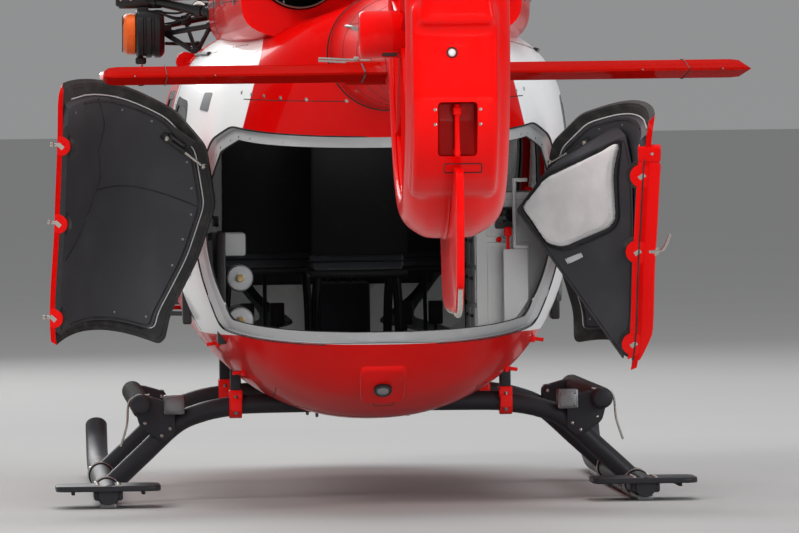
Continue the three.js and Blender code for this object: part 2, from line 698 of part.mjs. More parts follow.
// Side view of the shroud's rear face, which curves forward under the ring.
const REAR_FACE = [
  [7600, 2050], [7925, 2050], [7925, 1700], [7905, 1600], [7860, 1515], [7790, 1440],
  [7700, 1390], [7600, 1360],
];
const REAR_RECESS = { half: 70, floor: 7820, low: 1515, high: 1706 };
function finRing(row) {
  // Fraction of the chord, and half thickness between its thickest and its rear value.
  const side = [[0, 0], [0.03, 0.38], [0.12, 0.72], [0.35, 1], [0.7, 0.97]];
  const chord = row.trail - row.lead;
  const right = side.map(([f, t]) => [row.half * t, row.lead + chord * f]);
  right.push([row.rear, row.trail]);
  const left = right.slice(1).map(([x, s]) => [-x, s]).reverse();
  return [...right, ...left].map(([x, s]) => new THREE.Vector3(x, s, row.z));
}
function finAndShroud() {
  // Radius and distance to port of the ring's corners
  const rim = [
    [560, -160], [596, -188], [628, -200], [690, -168], [RIM_RADIUS, -85], [RIM_RADIUS, 85],
    [690, 156], [628, 184], [560, 154], [560, -160],
  ];
  const ring = turned(rim, "x", FAN_CENTRE, DUCT_SIDES);
  const [, station, z] = FAN_CENTRE;
  const duct = rod([-FAR, station, z], [FAR, station, z], FAN.ductRadius, DUCT_SIDES);
  const neck = hull(SHROUD_NECK_ROWS, 0, 24);
  const { half, floor, low, high } = REAR_RECESS;
  const recess = box(-half, half, floor, FAR, low, high);
  const rearFace = acrossPrism(REAR_FACE, -146, 158);
  const solidParts = union(ring, loft(FIN_ROWS.map(finRing)), neck, rearFace);
  return solidParts.subtract(duct).subtract(recess);
}
addNode("fan_shroud_fin", finAndShroud(), RED);

const VENTRAL = [
  [6990, 1010], [7120, 965], [7850, 960], [7965, 1060], [8010, 1300], [8000, 1470],
  [7800, 1480], [7190, 1290], [6880, 1310],
];
function ventralFin() {
  const reach = RIM_RADIUS + GAP * 1.5;
  const drum = turned([[0, -60], [reach, -60], [reach, 60], [0, 60]], "x", FAN_CENTRE, DUCT_SIDES);
  const rear = acrossPrism(REAR_FACE.map(([s, z]) => [s + GAP, z - GAP]), -60, 60);
  return acrossPrism(VENTRAL, -14, 14, 30).subtract(drum).subtract(rear);
}
addNode("ventral_fin", ventralFin(), RED);

// Fan: the fixed gearbox with its vanes to port, the turning fan to starboard
function fanGearbox() {
  const { radius, inner, outer } = HUB_FAIRING;
  const profile = [
    [0, inner], [radius, inner], [radius, outer - 30], [radius - 22, outer], [0, outer],
  ];
  const body = turned(profile, "x", FAN_CENTRE, 24);
  const vanes = Array.from({ length: FAN.vanes }, (_, i) => {
    const t = ((i + 0.5) / FAN.vanes) * 2 * Math.PI;
    const tip = FAN.ductRadius * Math.cos(Math.PI / DUCT_SIDES) - GAP;
    const g = new THREE.BoxGeometry(110, 14, tip - 40);
    g.translate(110, 0, (tip + 40) / 2);
    return solid(g.rotateX(t).translate(0, FAN.station, FAN.z));
  });
  const bore = rod(FAN_CENTRE, [inner + 80, FAN.station, FAN.z], 30 + GAP, 12);
  return union(body, ...vanes).subtract(bore);
}
addNode("fan_gearbox", fanGearbox(), DARK_METAL);

function fanBlade(angle) {
  // Radius, chord, thickness and twist of the blade's sections.
  const sections = [[90, 74, 20, 55], [300, 74, 13, 36], [FAN.bladeTip, 70, 9, 24]];
  const rings = sections.map(([r, chord, thick, twist]) => {
    const turn = THREE.MathUtils.degToRad(twist);
    const corners = [
      [-0.5, 0], [-0.3, 0.5], [0.15, 0.42], [0.5, 0], [0.15, -0.42], [-0.3, -0.5],
    ];
    return corners.map(([c, t]) => {
      const [u, v] = [c * chord, t * thick];
      const across = u * Math.sin(turn) + v * Math.cos(turn);
      const round = u * Math.cos(turn) - v * Math.sin(turn);
      return new THREE.Vector3(across - 60, round, r);
    });
  });
  const turn = new THREE.Matrix4().makeRotationX(angle);
  const place = new THREE.Vector3(0, FAN.station, FAN.z);
  return loft(rings.map((ring) => ring.map((p) => p.applyMatrix4(turn).add(place))));
}
function tailFan() {
  const face = HUB_FAIRING.inner - 8;
  const profile = [[0, -128], [60, -118], [104, -92], [108, -20], [96, face], [0, face]];
  const hub = turned(profile, "x", FAN_CENTRE, 18);
  const shaftEnds = [-40, HUB_FAIRING.inner + 70].map((x) => [x, FAN.station, FAN.z]);
  const shaft = rod(...shaftEnds, 30, 12);
  const turns = Array.from({ length: FAN.blades }, (_, i) => (i / FAN.blades) * 2 * Math.PI);
  return union(hub, shaft, ...turns.map(fanBlade));
}
addNode("tail_fan", tailFan(), DARK_METAL);

// Landing gear
bothSides((name, side) => {
  const x = side * SKID_X;
  const shoe = box(x - 34, x + 34, -1600, SKID_REAR - 20, 0, 26);
  const paw = uprightPrism(
    [[x - 225, 1080], [x + 225, 1080], [x + 225, 1440], [x - 225, 1440]], 74, 100, 60,
  );
  const gussets = box(x - 60, x + 60, 1120, 1400, 40, 80);
  addNode("skid_" + name, union(skidTube(side, SKID_RADIUS), shoe, paw, gussets), BLACK);
});
const skidClear = union(...Object.values(SIDES).map((side) => skidTube(side, SKID_RADIUS + GAP)));
for (const [name, station] of Object.entries(CROSS_TUBES)) {
  addNode("cross_tube_" + name, crossTube(station, CROSS_TUBE_RADIUS).subtract(skidClear), BLACK);
}
bothSides((name, side) => {
  const x = side * STEP_X;
  let step = rod([x, -1010, STEP_Z], [x, 1000, STEP_Z], STEP_RADIUS, 14);
  for (const station of Object.values(CROSS_TUBES)) {
    const plate = box(x - side * 150, x, station - 60, station + 60, 260, 448);
    step = step.add(plate).subtract(crossTube(station, CROSS_TUBE_RADIUS + GAP));
  }
  addNode("step_" + name, biggest(step), BLACK);
});

// Rescue hoist on the port side of the roof
const HOIST = { x: 960, station: 60, z: 2040 };
function hoistFrame() {
  const head = [HOIST.x, HOIST.station, HOIST.z + 158];
  const feet = [[600, -260, 2215], [600, 380, 2215], [640, -160, 2125], [640, 280, 2125]];
  const arms = feet.map((foot) => rod(foot, head, 20, 10));
  const beam = box(HOIST.x - 130, HOIST.x + 110, HOIST.station - 34, HOIST.station + 34,
    HOIST.z + 120, HOIST.z + 180);
  return union(...arms, beam).subtract(hull(COWL_ROWS, -GAP)).subtract(cabinClear);
}
addNode("hoist_frame", biggest(hoistFrame()), BLACK);
function hoistWinch() {
  const { x, station, z } = HOIST;
  const drum = rod([x - 105, station, z], [x + 20, station, z], 106, 24);
  const mount = box(x - 36, x + 14, station - 50, station + 50, z + 60, z + 120 - GAP);
  return drum.add(mount);
}
addNode("hoist_winch", hoistWinch(), BLACK);
addNode(
  "hoist_cover",
  rod([HOIST.x + 20 + GAP, HOIST.station, HOIST.z], [HOIST.x + 78, HOIST.station, HOIST.z], 92, 24),
  ORANGE,
);
function hoistHook() {
  const { x, station, z } = HOIST;
  const bumper = rod([x - 40, station, z - 106 - GAP], [x - 40, station, z - 156], 26, 16);
  const hook = bentTube(
    [[0, -150], [0, -176], [26, -200], [34, -226], [10, -252], [-22, -244], [-30, -222]].map(
      ([s, dz]) => [x - 40, station + s, z + dz],
    ),
    8, 14, 8,
  );
  return bumper.add(hook);
}
addNode("hoist_hook", hoistHook(), DARK_METAL);

// Main rotor
function rotorHub() {
  const mast = rod([0, 0, GEARBOX.top + GAP], [0, 0, HUB_Z + 30], MAST_RADIUS, 16);
  const hub = turned(
    [[0, -70], [150, -60], [200, -20], [200, 34], [120, 66], [90, 120], [0, 128]],
    "z", [0, 0, HUB_Z], 16,
  );
  const arms = [0, 90, 180, 270].map((turn) => {
    const t = THREE.MathUtils.degToRad(FIRST_BLADE_ANGLE + turn);
    const reach = BLADE_ROOT - GAP;
    return rod([0, 0, HUB_Z], [reach * Math.cos(t), reach * Math.sin(t), HUB_Z], 48, 8);
  });
  return union(mast, hub, ...arms);
}
addNode("rotor_hub", rotorHub(), DARK_METAL);

const DROOP = 190;
function rotorBlade(angle) {
  // Radius, chord, thickness, and how far the section is swept back.
  const sections = [
    [BLADE_ROOT, 150, 110, 0], [700, 170, 96, 0], [1000, 250, 52, 6], [1300, 325, 38, 12],
    [3200, 325, 36, 12], [5150, 325, 34, 12], [5400, 270, 26, 40], [ROTOR_RADIUS, 170, 14, 84],
  ];
  const shape = [
    [-0.28, 0], [-0.24, 0.3], [-0.1, 0.5], [0.2, 0.42], [0.5, 0.2], [0.72, 0.04],
    [0.72, -0.04], [0.5, -0.16], [0.2, -0.36], [-0.1, -0.45], [-0.24, -0.28],
  ];
  const turn = new THREE.Matrix4().makeRotationZ(THREE.MathUtils.degToRad(angle));
  return loft(
    sections.map(([r, chord, thick, sweep]) => {
      const drop = DROOP * ((r - BLADE_ROOT) / (ROTOR_RADIUS - BLADE_ROOT)) ** 2;
      return shape.map(([c, t]) =>
        new THREE.Vector3(r, -c * chord - sweep, HUB_Z - drop + t * thick).applyMatrix4(turn),
      );
    }),
  );
}
[1, 2, 3, 4].forEach((number) => {
  const angle = FIRST_BLADE_ANGLE + (number - 1) * 90;
  addNode("rotor_blade_" + number, rotorBlade(angle), BLACK);
});

const helicopter = new THREE.Group();
helicopter.add(aircraft);
export default helicopter;
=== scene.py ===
"""Looks of a twin-engine light rescue helicopter, parked with its rear doors open.

Shapes are written in millimetres, with Y as the station, the distance aft of the rotor mast.
They become metres in the row frame where their Blender object is made.
"""

from __future__ import annotations

import logging
import math
from dataclasses import dataclass, field
from enum import Enum
from typing import Callable, Iterable, Mapping, Optional, Sequence, Union

import bmesh
import bpy
import numpy as np
from mathutils import Matrix, Vector


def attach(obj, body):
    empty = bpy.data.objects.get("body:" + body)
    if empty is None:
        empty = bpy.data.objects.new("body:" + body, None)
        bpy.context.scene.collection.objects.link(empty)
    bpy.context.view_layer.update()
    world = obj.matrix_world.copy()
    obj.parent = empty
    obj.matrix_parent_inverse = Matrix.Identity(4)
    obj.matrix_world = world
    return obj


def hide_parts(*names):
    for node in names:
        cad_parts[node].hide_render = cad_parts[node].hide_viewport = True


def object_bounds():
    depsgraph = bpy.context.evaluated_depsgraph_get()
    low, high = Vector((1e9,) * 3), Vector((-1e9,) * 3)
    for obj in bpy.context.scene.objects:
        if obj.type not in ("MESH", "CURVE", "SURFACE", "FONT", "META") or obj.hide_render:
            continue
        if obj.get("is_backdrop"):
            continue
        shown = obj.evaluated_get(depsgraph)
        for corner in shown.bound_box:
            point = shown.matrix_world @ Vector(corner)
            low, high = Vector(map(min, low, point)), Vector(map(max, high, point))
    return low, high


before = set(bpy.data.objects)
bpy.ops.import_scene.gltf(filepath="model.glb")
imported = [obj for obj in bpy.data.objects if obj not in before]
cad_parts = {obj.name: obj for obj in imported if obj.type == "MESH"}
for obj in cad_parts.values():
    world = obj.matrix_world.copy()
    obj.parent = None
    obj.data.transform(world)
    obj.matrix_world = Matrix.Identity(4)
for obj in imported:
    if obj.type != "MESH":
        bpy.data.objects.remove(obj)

LOG = logging.getLogger("helicopter")
MM = 0.001
MAST_Y = -2.11
FAR = 1200.0
MOST_TAGS = 8

Point = Sequence[float]
Colour = tuple[float, float, float]
Shape = Union["Solid", Iterable["Solid"]]


class Side(Enum):
    """The helicopter's two sides, valued by the sign of X."""

    LEFT = 1
    RIGHT = -1

    @property
    def word(self) -> str:
        """The side's name as node names spell it."""
        return self.name.lower()


class Cut(Enum):
    """What a solid does to the one it meets."""

    AWAY = "DIFFERENCE"
    KEEP = "INTERSECT"
    JOIN = "UNION"


class Axis(Enum):
    """The axis that a shape is drawn along."""

    X = 0
    Y = 1
    Z = 2


# Curves and outlines


class Fair:
    """A monotone cubic curve through given values."""

    def __init__(self, xs: Sequence[float], ys: Sequence[float]) -> None:
        """Fits the slopes.

        Args:
            xs: Rising places.
            ys: The value at each place.
        """
        self.xs, self.ys = np.asarray(xs, float), np.asarray(ys, float)
        step = np.diff(self.xs)
        rise = np.diff(self.ys) / step
        slopes = np.zeros(len(self.xs))
        slopes[0], slopes[-1] = rise[0], rise[-1]
        for i in range(1, len(rise)):
            if rise[i - 1] * rise[i] > 0:
                near, far = 2 * step[i] + step[i - 1], step[i] + 2 * step[i - 1]
                slopes[i] = (near + far) / (near / rise[i - 1] + far / rise[i])
        self.slopes = slopes

    def __call__(self, x: Union[float, np.ndarray]) -> np.ndarray:
        """The curve's value at x, which is held inside its ends.

        Args:
            x: One place or many.

        Returns:
            The value at each place.
        """
        x = np.clip(x, self.xs[0], self.xs[-1])
        i = np.clip(np.searchsorted(self.xs, x, side="right") - 1, 0, len(self.xs) - 2)
        width = self.xs[i + 1] - self.xs[i]
        t = (x - self.xs[i]) / width
        low, high = self.ys[i], self.ys[i + 1]
        return (
            low * (1 + 2 * t) * (1 - t) ** 2
            + high * t * t * (3 - 2 * t)
            + width * (self.slopes[i] * t * (1 - t) ** 2 - self.slopes[i + 1] * t * t * (1 - t))
        )


def columns(table: Sequence[Sequence[float]]) -> list[Fair]:
    """A curve for each column of a table, along its first one."""
    rows = np.asarray(table, float)
    return [Fair(rows[:, 0], column) for column in rows.T[1:]]


def rect(x0: float, y0: float, x1: float, y1: float) -> list[Point]:
    """The corners of a rectangle, anticlockwise from its low one."""
    return [(x0, y0), (x1, y0), (x1, y1), (x0, y1)]


def turned(start: Point, end: Point) -> Matrix:
    """The turn that carries one direction onto another."""
    return Vector(start).rotation_difference(Vector(end)).to_matrix().to_4x4()


def rounded(points: Sequence[Point], radius: float, steps: int = 7) -> np.ndarray:
    """A closed outline with short curves at its corners.

    Args:
        points: The corners, two numbers each.
        radius: How far from a corner its curve starts.
        steps: Pieces in each curve.

    Returns:
        The outline's points, in order.
    """
    corners = np.asarray(points, float)
    made = []
    for i, corner in enumerate(corners):
        ends = []
        for other in (corners[i - 1], corners[(i + 1) % len(corners)]):
            length = float(np.hypot(*(other - corner)))
            ends.append(corner + (other - corner) * min(radius, length / 2.2) / length)
        for t in np.linspace(0, 1, steps + 1 if radius else 1):
            made.append(ends[0] * (1 - t) ** 2 + 2 * corner * t * (1 - t) + ends[1] * t * t)
    return np.array(made) if radius else corners


def shrunk(points: Sequence[Point], distance: float) -> np.ndarray:
    """The same corners moved inwards by a distance; they run anticlockwise.

    Args:
        points: The corners.
        distance: How far each edge moves.

    Returns:
        The moved corners.
    """
    corners = np.asarray(points, float)
    count = len(corners)
    starts, alongs = [], []
    for i in range(count):
        along = corners[(i + 1) % count] - corners[i]
        along /= np.hypot(*along)
        starts.append(corners[i] + np.array([-along[1], along[0]]) * distance)
        alongs.append(along)
    made = []
    for i in range(count):
        between, before, after = starts[i] - starts[i - 1], alongs[i - 1], alongs[i]
        across = before[0] * after[1] - before[1] * after[0]
        reach = (between[0] * after[1] - between[1] * after[0]) / across
        made.append(starts[i - 1] + before * reach)
    return np.array(made)


def dense(points: Sequence[Point], step: float, closed: bool = True) -> np.ndarray:
    """The same line with points no further apart than a step.

    Args:
        points: The line's points.
        step: The longest step.
        closed: Whether the line runs back to its first point.

    Returns:
        The line's points, in order.
    """
    corners = np.asarray(points, float)
    made = []
    for i in range(len(corners) - (0 if closed else 1)):
        start, end = corners[i], corners[(i + 1) % len(corners)]
        pieces = max(1, int(math.ceil(np.linalg.norm(end - start) / step)))
        made += [start + (end - start) * k / pieces for k in range(pieces)]
    return np.array(made if closed else [*made, corners[-1]])


def loop(points: Sequence[Point], inwards: float, radius: float, step: float) -> np.ndarray:
    """A closed outline moved inwards and rounded, its points no further apart than a step."""
    return dense(rounded(shrunk(points, inwards), radius), step)


def smoothed(points: Sequence[Point], steps: int = 6) -> np.ndarray:
    """An open line through the points, with the corners turned into Catmull-Rom curves.

    Args:
        points: Points that the line passes.
        steps: Pieces between two of them.

    Returns:
        The line's points, in order.
    """
    p = np.asarray(points, float)
    p = np.vstack([2 * p[0] - p[1], p, 2 * p[-1] - p[-2]])
    made = []
    for i in range(1, len(p) - 2):
        a, b, c, d = p[i - 1 : i + 3]
        for t in np.arange(steps) / steps:
            curve = 2 * b + (c - a) * t + (2 * a - 5 * b + 4 * c - d) * t * t
            made.append(0.5 * (curve + (3 * b - a - 3 * c + d) * t**3))
    return np.array([*made, p[-2]])


# Solids


def new_object(name: str, data: bpy.types.ID) -> bpy.types.Object:
    """An object in the scene with the given data.

    Args:
        name: The object's name.
        data: What it shows.

    Returns:
        The object.
    """
    made = bpy.data.objects.new(name, data)
    bpy.context.scene.collection.objects.link(made)
    return made


def smoothen(mesh: bpy.types.Mesh, crease: float) -> None:
    """Shades a mesh smooth but for edges sharper than an angle in degrees."""
    mesh.shade_smooth()
    mesh.set_sharp_from_angle(angle=math.radians(crease))


class Solid:
    """A closed mesh in millimetres, each face tagged with the finish it takes."""

    def __init__(
        self, points: np.ndarray, faces: Iterable[Sequence[int]], tags: Union[int, np.ndarray] = 0
    ) -> None:
        """Keeps the mesh.

        Args:
            points: Places of the vertices.
            faces: Vertex numbers of each face, anticlockwise from outside.
            tags: One tag, or one for each face.
        """
        self.points = np.asarray(points, float).reshape(-1, 3)
        self.faces = [tuple(face) for face in faces]
        self.tags = np.broadcast_to(np.asarray(tags, int), len(self.faces)).copy()

    def tagged(self, tag: int) -> "Solid":
        """The same solid with one tag all over."""
        return Solid(self.points, self.faces, tag)

    def __add__(self, other: "Solid") -> "Solid":
        """Both solids side by side in one mesh.

        Args:
            other: The solid to add.

        Returns:
            The two as one solid.
        """
        shift = len(self.points)
        moved = [tuple(i + shift for i in face) for face in other.faces]
        return Solid(
            np.vstack([self.points, other.points]),
            self.faces + moved,
            np.concatenate([self.tags, other.tags]),
        )

    def placed(self, matrix: Matrix) -> "Solid":
        """The solid moved by a matrix, whose translation is in millimetres.

        Args:
            matrix: The move.

        Returns:
            The moved solid.
        """
        m = np.array(matrix)
        points = self.points @ m[:3, :3].T + m[:3, 3]
        turned_over = np.linalg.det(m[:3, :3]) < 0
        faces = [face[::-1] for face in self.faces] if turned_over else self.faces
        return Solid(points, faces, self.tags)

    def shifted(self, x: float = 0, s: float = 0, z: float = 0) -> "Solid":
        """The solid moved along the three axes."""
        return Solid(self.points + (x, s, z), self.faces, self.tags)

    def mirrored(self) -> "Solid":
        """The solid on the other side of the aircraft."""
        return self.placed(Matrix.Diagonal((-1, 1, 1, 1)))

    def middles(self) -> np.ndarray:
        """The middle of each face."""
        return np.array([self.points[list(face)].mean(0) for face in self.faces])

    def lit_above(self, z: float) -> "Solid":
        """The same solid with tag 1 above a height and tag 0 below it."""
        return Solid(self.points, self.faces, (self.middles()[:, Axis.Z.value] > z).astype(int))

    def _object(self) -> bpy.types.Object:
        """A hidden working object with this mesh."""
        mesh = bpy.data.meshes.new("work")
        mesh.from_pydata(self.points.tolist(), [], self.faces)
        for _ in range(MOST_TAGS):
            mesh.materials.append(None)
        mesh.polygons.foreach_set("material_index", self.tags.astype(np.int32))
        return new_object("work", mesh)

    @staticmethod
    def from_mesh(mesh: bpy.types.Mesh) -> "Solid":
        """A solid from a Blender mesh in millimetres.

        Args:
            mesh: The mesh, whose material numbers are the tags.

        Returns:
            The solid.
        """
        points = np.zeros(len(mesh.vertices) * 3)
        mesh.vertices.foreach_get("co", points)
        tags = np.zeros(len(mesh.polygons), np.int32)
        mesh.polygons.foreach_get("material_index", tags)
        return Solid(points, [tuple(p.vertices) for p in mesh.polygons], tags)

    def carved(self, *steps: tuple[Cut, "Solid"]) -> "Solid":
        """The solid after its meetings with others, in turn.

        Args:
            steps: What each meeting does, and the solid met.

        Returns:
            The closed result. Faces from the others keep their own tags.
        """
        base = self._object()
        tools = []
        for how, other in steps:
            tool = other._object()
            tools.append(tool)
            modifier = base.modifiers.new("cut", "BOOLEAN")
            modifier.operation, modifier.solver, modifier.object = how.value, "MANIFOLD", tool
        return _finished(base, tools)

    def cut(self, *others: "Solid") -> "Solid":
        """The solid with the others taken away."""
        return self.carved(*((Cut.AWAY, other) for other in others))

    def within(self, *others: "Solid") -> "Solid":
        """What the solid shares with all the others."""
        return self.carved(*((Cut.KEEP, other) for other in others))

    def eased(self, width: float, segments: int = 2, angle: float = 35) -> "Solid":
        """The solid with its edges bevelled where they are sharper than an angle in degrees.

        Args:
            width: Width of the bevels.
            segments: Faces across a bevel.
            angle: The angle in degrees.

        Returns:
            The bevelled solid.
        """
        base = self._object()
        modifier = base.modifiers.new("ease", "BEVEL")
        modifier.width, modifier.segments = width, segments
        modifier.angle_limit = math.radians(angle)
        return _finished(base, [])


def _finished(base: bpy.types.Object, tools: Sequence[bpy.types.Object]) -> Solid:
    """Applies an object's modifiers, removes the working objects and gives the result.

    Args:
        base: The object with the modifiers.
        tools: The objects they refer to.

    Returns:
        The object's mesh after its modifiers.
    """
    graph = bpy.context.evaluated_depsgraph_get()
    mesh = bpy.data.meshes.new_from_object(base.evaluated_get(graph))
    made = Solid.from_mesh(mesh)
    bpy.data.meshes.remove(mesh)
    for work in [base, *tools]:
        data = work.data
        bpy.data.objects.remove(work)
        bpy.data.meshes.remove(data)
    return made


def joined(parts: Shape) -> Solid:
    """All the solids side by side in one mesh.

    Args:
        parts: One solid or several.

    Returns:
        The one solid.
    """
    parts = [parts] if isinstance(parts, Solid) else list(parts)
    total = parts[0]
    for part in parts[1:]:
        total = total + part
    return total


def loft(rings: Sequence[np.ndarray], tag: int = 0, caps: bool = True) -> Solid:
    """A surface through rings of equally many points.

    Args:
        rings: The rings, in order.
        tag: The faces' tag.
        caps: Whether the two ends are closed with one face each.

    Returns:
        The solid, turned so that it faces out.
    """
    count, n = len(rings), len(rings[0])
    faces = []
    for i in range(count - 1):
        for j in range(n):
            k = (j + 1) % n
            faces.append((i * n + j, i * n + k, (i + 1) * n + k, (i + 1) * n + j))
    if caps:
        faces.append(tuple(range(n - 1, -1, -1)))
        faces.append(tuple(range((count - 1) * n, count * n)))
    points = np.vstack(rings)
    return _facing_out(Solid(points, faces, tag))


def _facing_out(made: Solid) -> Solid:
    """The solid with its faces reversed if they look inwards.

    Args:
        made: A closed solid.

    Returns:
        The solid that looks outwards.
    """
    p = made.points
    volume = 0.0
    for face in made.faces:
        a = p[face[0]]
        for b, c in zip(face[1:], face[2:]):
            u, v = p[b], p[c]
            volume += (
                a[0] * (u[1] * v[2] - u[2] * v[1])
                + a[1] * (u[2] * v[0] - u[0] * v[2])
                + a[2] * (u[0] * v[1] - u[1] * v[0])
            )
    if volume < 0:
        made.faces = [face[::-1] for face in made.faces]
    return made


def prism(outline: Sequence[Point], axis: Axis, low: float, high: float, tag: int = 0) -> Solid:
    """An outline drawn out along an axis.

    Args:
        outline: Its corners in the other two axes, in the order X, Y, Z.
        axis: The direction.
        low: Where it starts.
        high: Where it ends.
        tag: The faces' tag.

    Returns:
        The solid.
    """
    flat = np.asarray(outline, float)
    rings = [np.insert(flat, axis.value, at, axis=1) for at in sorted((low, high))]
    return loft(rings, tag)


def block(low: Point, high: Point, ease: float = 0, tag: int = 0, segments: int = 2) -> Solid:
    """A box between two corners, with eased edges.

    Args:
        low: Its corner with the lowest coordinates.
        high: Its corner with the highest coordinates.
        ease: Width of the bevels.
        tag: The tag of its faces.
        segments: Faces across a bevel.

    Returns:
        The box.
    """
    (x0, s0, z0), (x1, s1, z1) = np.sort([low, high], axis=0)
    made = prism(rect(x0, s0, x1, s1), Axis.Z, z0, z1, tag)
    return made.eased(ease, segments) if ease else made


def convex(points: Iterable[Sequence[float]], tag: int = 0) -> Solid:
    """The convex hull of some points, its flat faces whole.

    Args:
        points: The points.
        tag: The tag of its faces.

    Returns:
        The hull.
    """
    work = bmesh.new()
    for point in points:
        work.verts.new(tuple(point))
    made = bmesh.ops.convex_hull(work, input=work.verts[:])
    spare = {
        item for key in ("geom_interior", "geom_unused") for item in made[key]
        if isinstance(item, bmesh.types.BMVert)
    }
    bmesh.ops.delete(work, geom=list(spare), context="VERTS")
    bmesh.ops.dissolve_limit(work, angle_limit=0.02, verts=work.verts[:], edges=work.edges[:])
    bmesh.ops.recalc_face_normals(work, faces=work.faces[:])
    mesh = bpy.data.meshes.new("hull")
    work.to_mesh(mesh)
    work.free()
    solid = Solid.from_mesh(mesh).tagged(tag)
    bpy.data.meshes.remove(mesh)
    return solid


def frames_along(path: np.ndarray, closed: bool) -> list[tuple[np.ndarray, np.ndarray]]:
    """Two directions square to a line at each of its points, without twist.

    Args:
        path: The line's points.
        closed: Whether the line comes back to its start.

    Returns:
        A pair of directions for each point.
    """
    if closed:
        tangents = np.roll(path, -1, axis=0) - np.roll(path, 1, axis=0)
    else:
        tangents = np.gradient(path, axis=0)
    tangents /= np.linalg.norm(tangents, axis=1)[:, None]
    start = np.array([0.0, 0, 1]) if abs(tangents[0][2]) < 0.9 else np.array([1.0, 0, 0])
    made = []
    for tangent in tangents:
        start = start - tangent * start.dot(tangent)
        start /= np.linalg.norm(start)
        made.append((start, np.cross(tangent, start)))
    return made


def tube(
    points: Sequence[Point],
    radius: Union[float, Sequence[float]],
    sides: int = 10,
    closed: bool = False,
    tag: int = 0,
    flat: float = 1.0,
) -> Solid:
    """A round bar along a line.

    Args:
        points: The line, each [x, station, z].
        radius: One radius, or one for each point.
        sides: Corners round the bar.
        closed: Whether the line comes back to its start.
        tag: The faces' tag.
        flat: Width of the bar over its height.

    Returns:
        The solid.
    """
    path = np.asarray(points, float)
    radii = np.broadcast_to(np.asarray(radius, float), len(path))
    turn = np.arange(sides) / sides * 2 * math.pi
    rings = []
    for place, size, (up, across) in zip(path, radii, frames_along(path, closed)):
        rings.append(
            place + size * (np.outer(np.cos(turn), up) + flat * np.outer(np.sin(turn), across))
        )
    if not closed:
        return loft(rings, tag)
    n, count = sides, len(rings)
    faces = [
        (i * n + j, i * n + (j + 1) % n, (i + 1) % count * n + (j + 1) % n, (i + 1) % count * n + j)
        for i in range(count)
        for j in range(n)
    ]
    return _facing_out(Solid(np.vstack(rings), faces, tag))


def rod(
    start: Point, end: Point, radius: float, sides: int = 16, ease: float = 0, tag: int = 0,
) -> Solid:
    """A straight round bar, with eased ends.

    Args:
        start: The middle of one end.
        end: The middle of the other end.
        radius: Its radius.
        sides: Points around it.
        ease: How far the ends are eased.
        tag: The tag of its faces.

    Returns:
        The bar.
    """
    a, b = np.asarray(start, float), np.asarray(end, float)
    along = (b - a) / np.linalg.norm(b - a)
    if not ease:
        return tube([a, b], radius, sides, tag=tag)
    places = [a, a + along * ease * 0.3, a + along * ease]
    places += [b - along * ease, b - along * ease * 0.3, b]
    radii = [radius - ease, radius - ease * 0.3, radius, radius, radius - ease * 0.3, radius - ease]
    return tube(places, radii, sides, tag=tag)


def bent(
    points: Sequence[Point],
    steps: int,
    radius: Union[float, Sequence[float]],
    sides: int,
    tag: int = 0,
    flat: float = 1.0,
) -> Solid:
    """A round bar bent smoothly through the points."""
    return tube(smoothed(points, steps), radius, sides, tag=tag, flat=flat)


def lathe(
    profile: Sequence[Point], axis: Axis, centre: Point, sides: int = 48, tag: int = 0
) -> Solid:
    """A turned solid about an axis.

    Args:
        profile: Corners as radius and distance along the axis; a closed loop unless it starts
            and ends on the axis.
        axis: The axis it turns about.
        centre: A point on the axis.
        sides: Corners round it.
        tag: The faces' tag.

    Returns:
        The solid.
    """
    corners = np.asarray(profile, float)
    solid_core = corners[0][0] == 0 and corners[-1][0] == 0
    if solid_core:
        corners = corners[1:-1]
    turn = np.arange(sides) / sides * 2 * math.pi
    rings = []
    for radius, along in corners:
        ring = np.column_stack([radius * np.cos(turn), radius * np.sin(turn)])
        rings.append(np.insert(ring, axis.value, along, axis=1) + np.asarray(centre, float))
    if solid_core:
        return loft(rings, tag)
    made = loft(rings, tag, caps=False)
    count, last = sides, (len(rings) - 1) * sides
    made.faces += [
        (last + j, last + (j + 1) % count, (j + 1) % count, j) for j in range(count)
    ]
    made.tags = np.full(len(made.faces), tag)
    return _facing_out(made)


DOME = [(1.0, 0.0), (0.94, 0.34), (0.72, 0.68), (0.38, 0.92), (0.12, 1.0)]


def dome(
    at: Point, normal: Point, radius: float, height: float, sides: int = 10, tag: int = 0,
) -> Solid:
    """A screw's head that stands on a surface, sunk a little into it.

    Args:
        at: The place on the surface.
        normal: The direction out of the surface.
        radius: The head's radius.
        height: How far it stands out.
        sides: Points around it.
        tag: The tag of its faces.

    Returns:
        The head.
    """
    rings = [(radius, -height)] + [(radius * r, height * h) for r, h in DOME]
    made = lathe([(0, -height), *rings, (0, height)], Axis.Z, (0, 0, 0), sides, tag)
    turn = turned((0, 0, 1), normal)
    return made.placed(Matrix.Translation(at) @ turn)


# Hull shapes


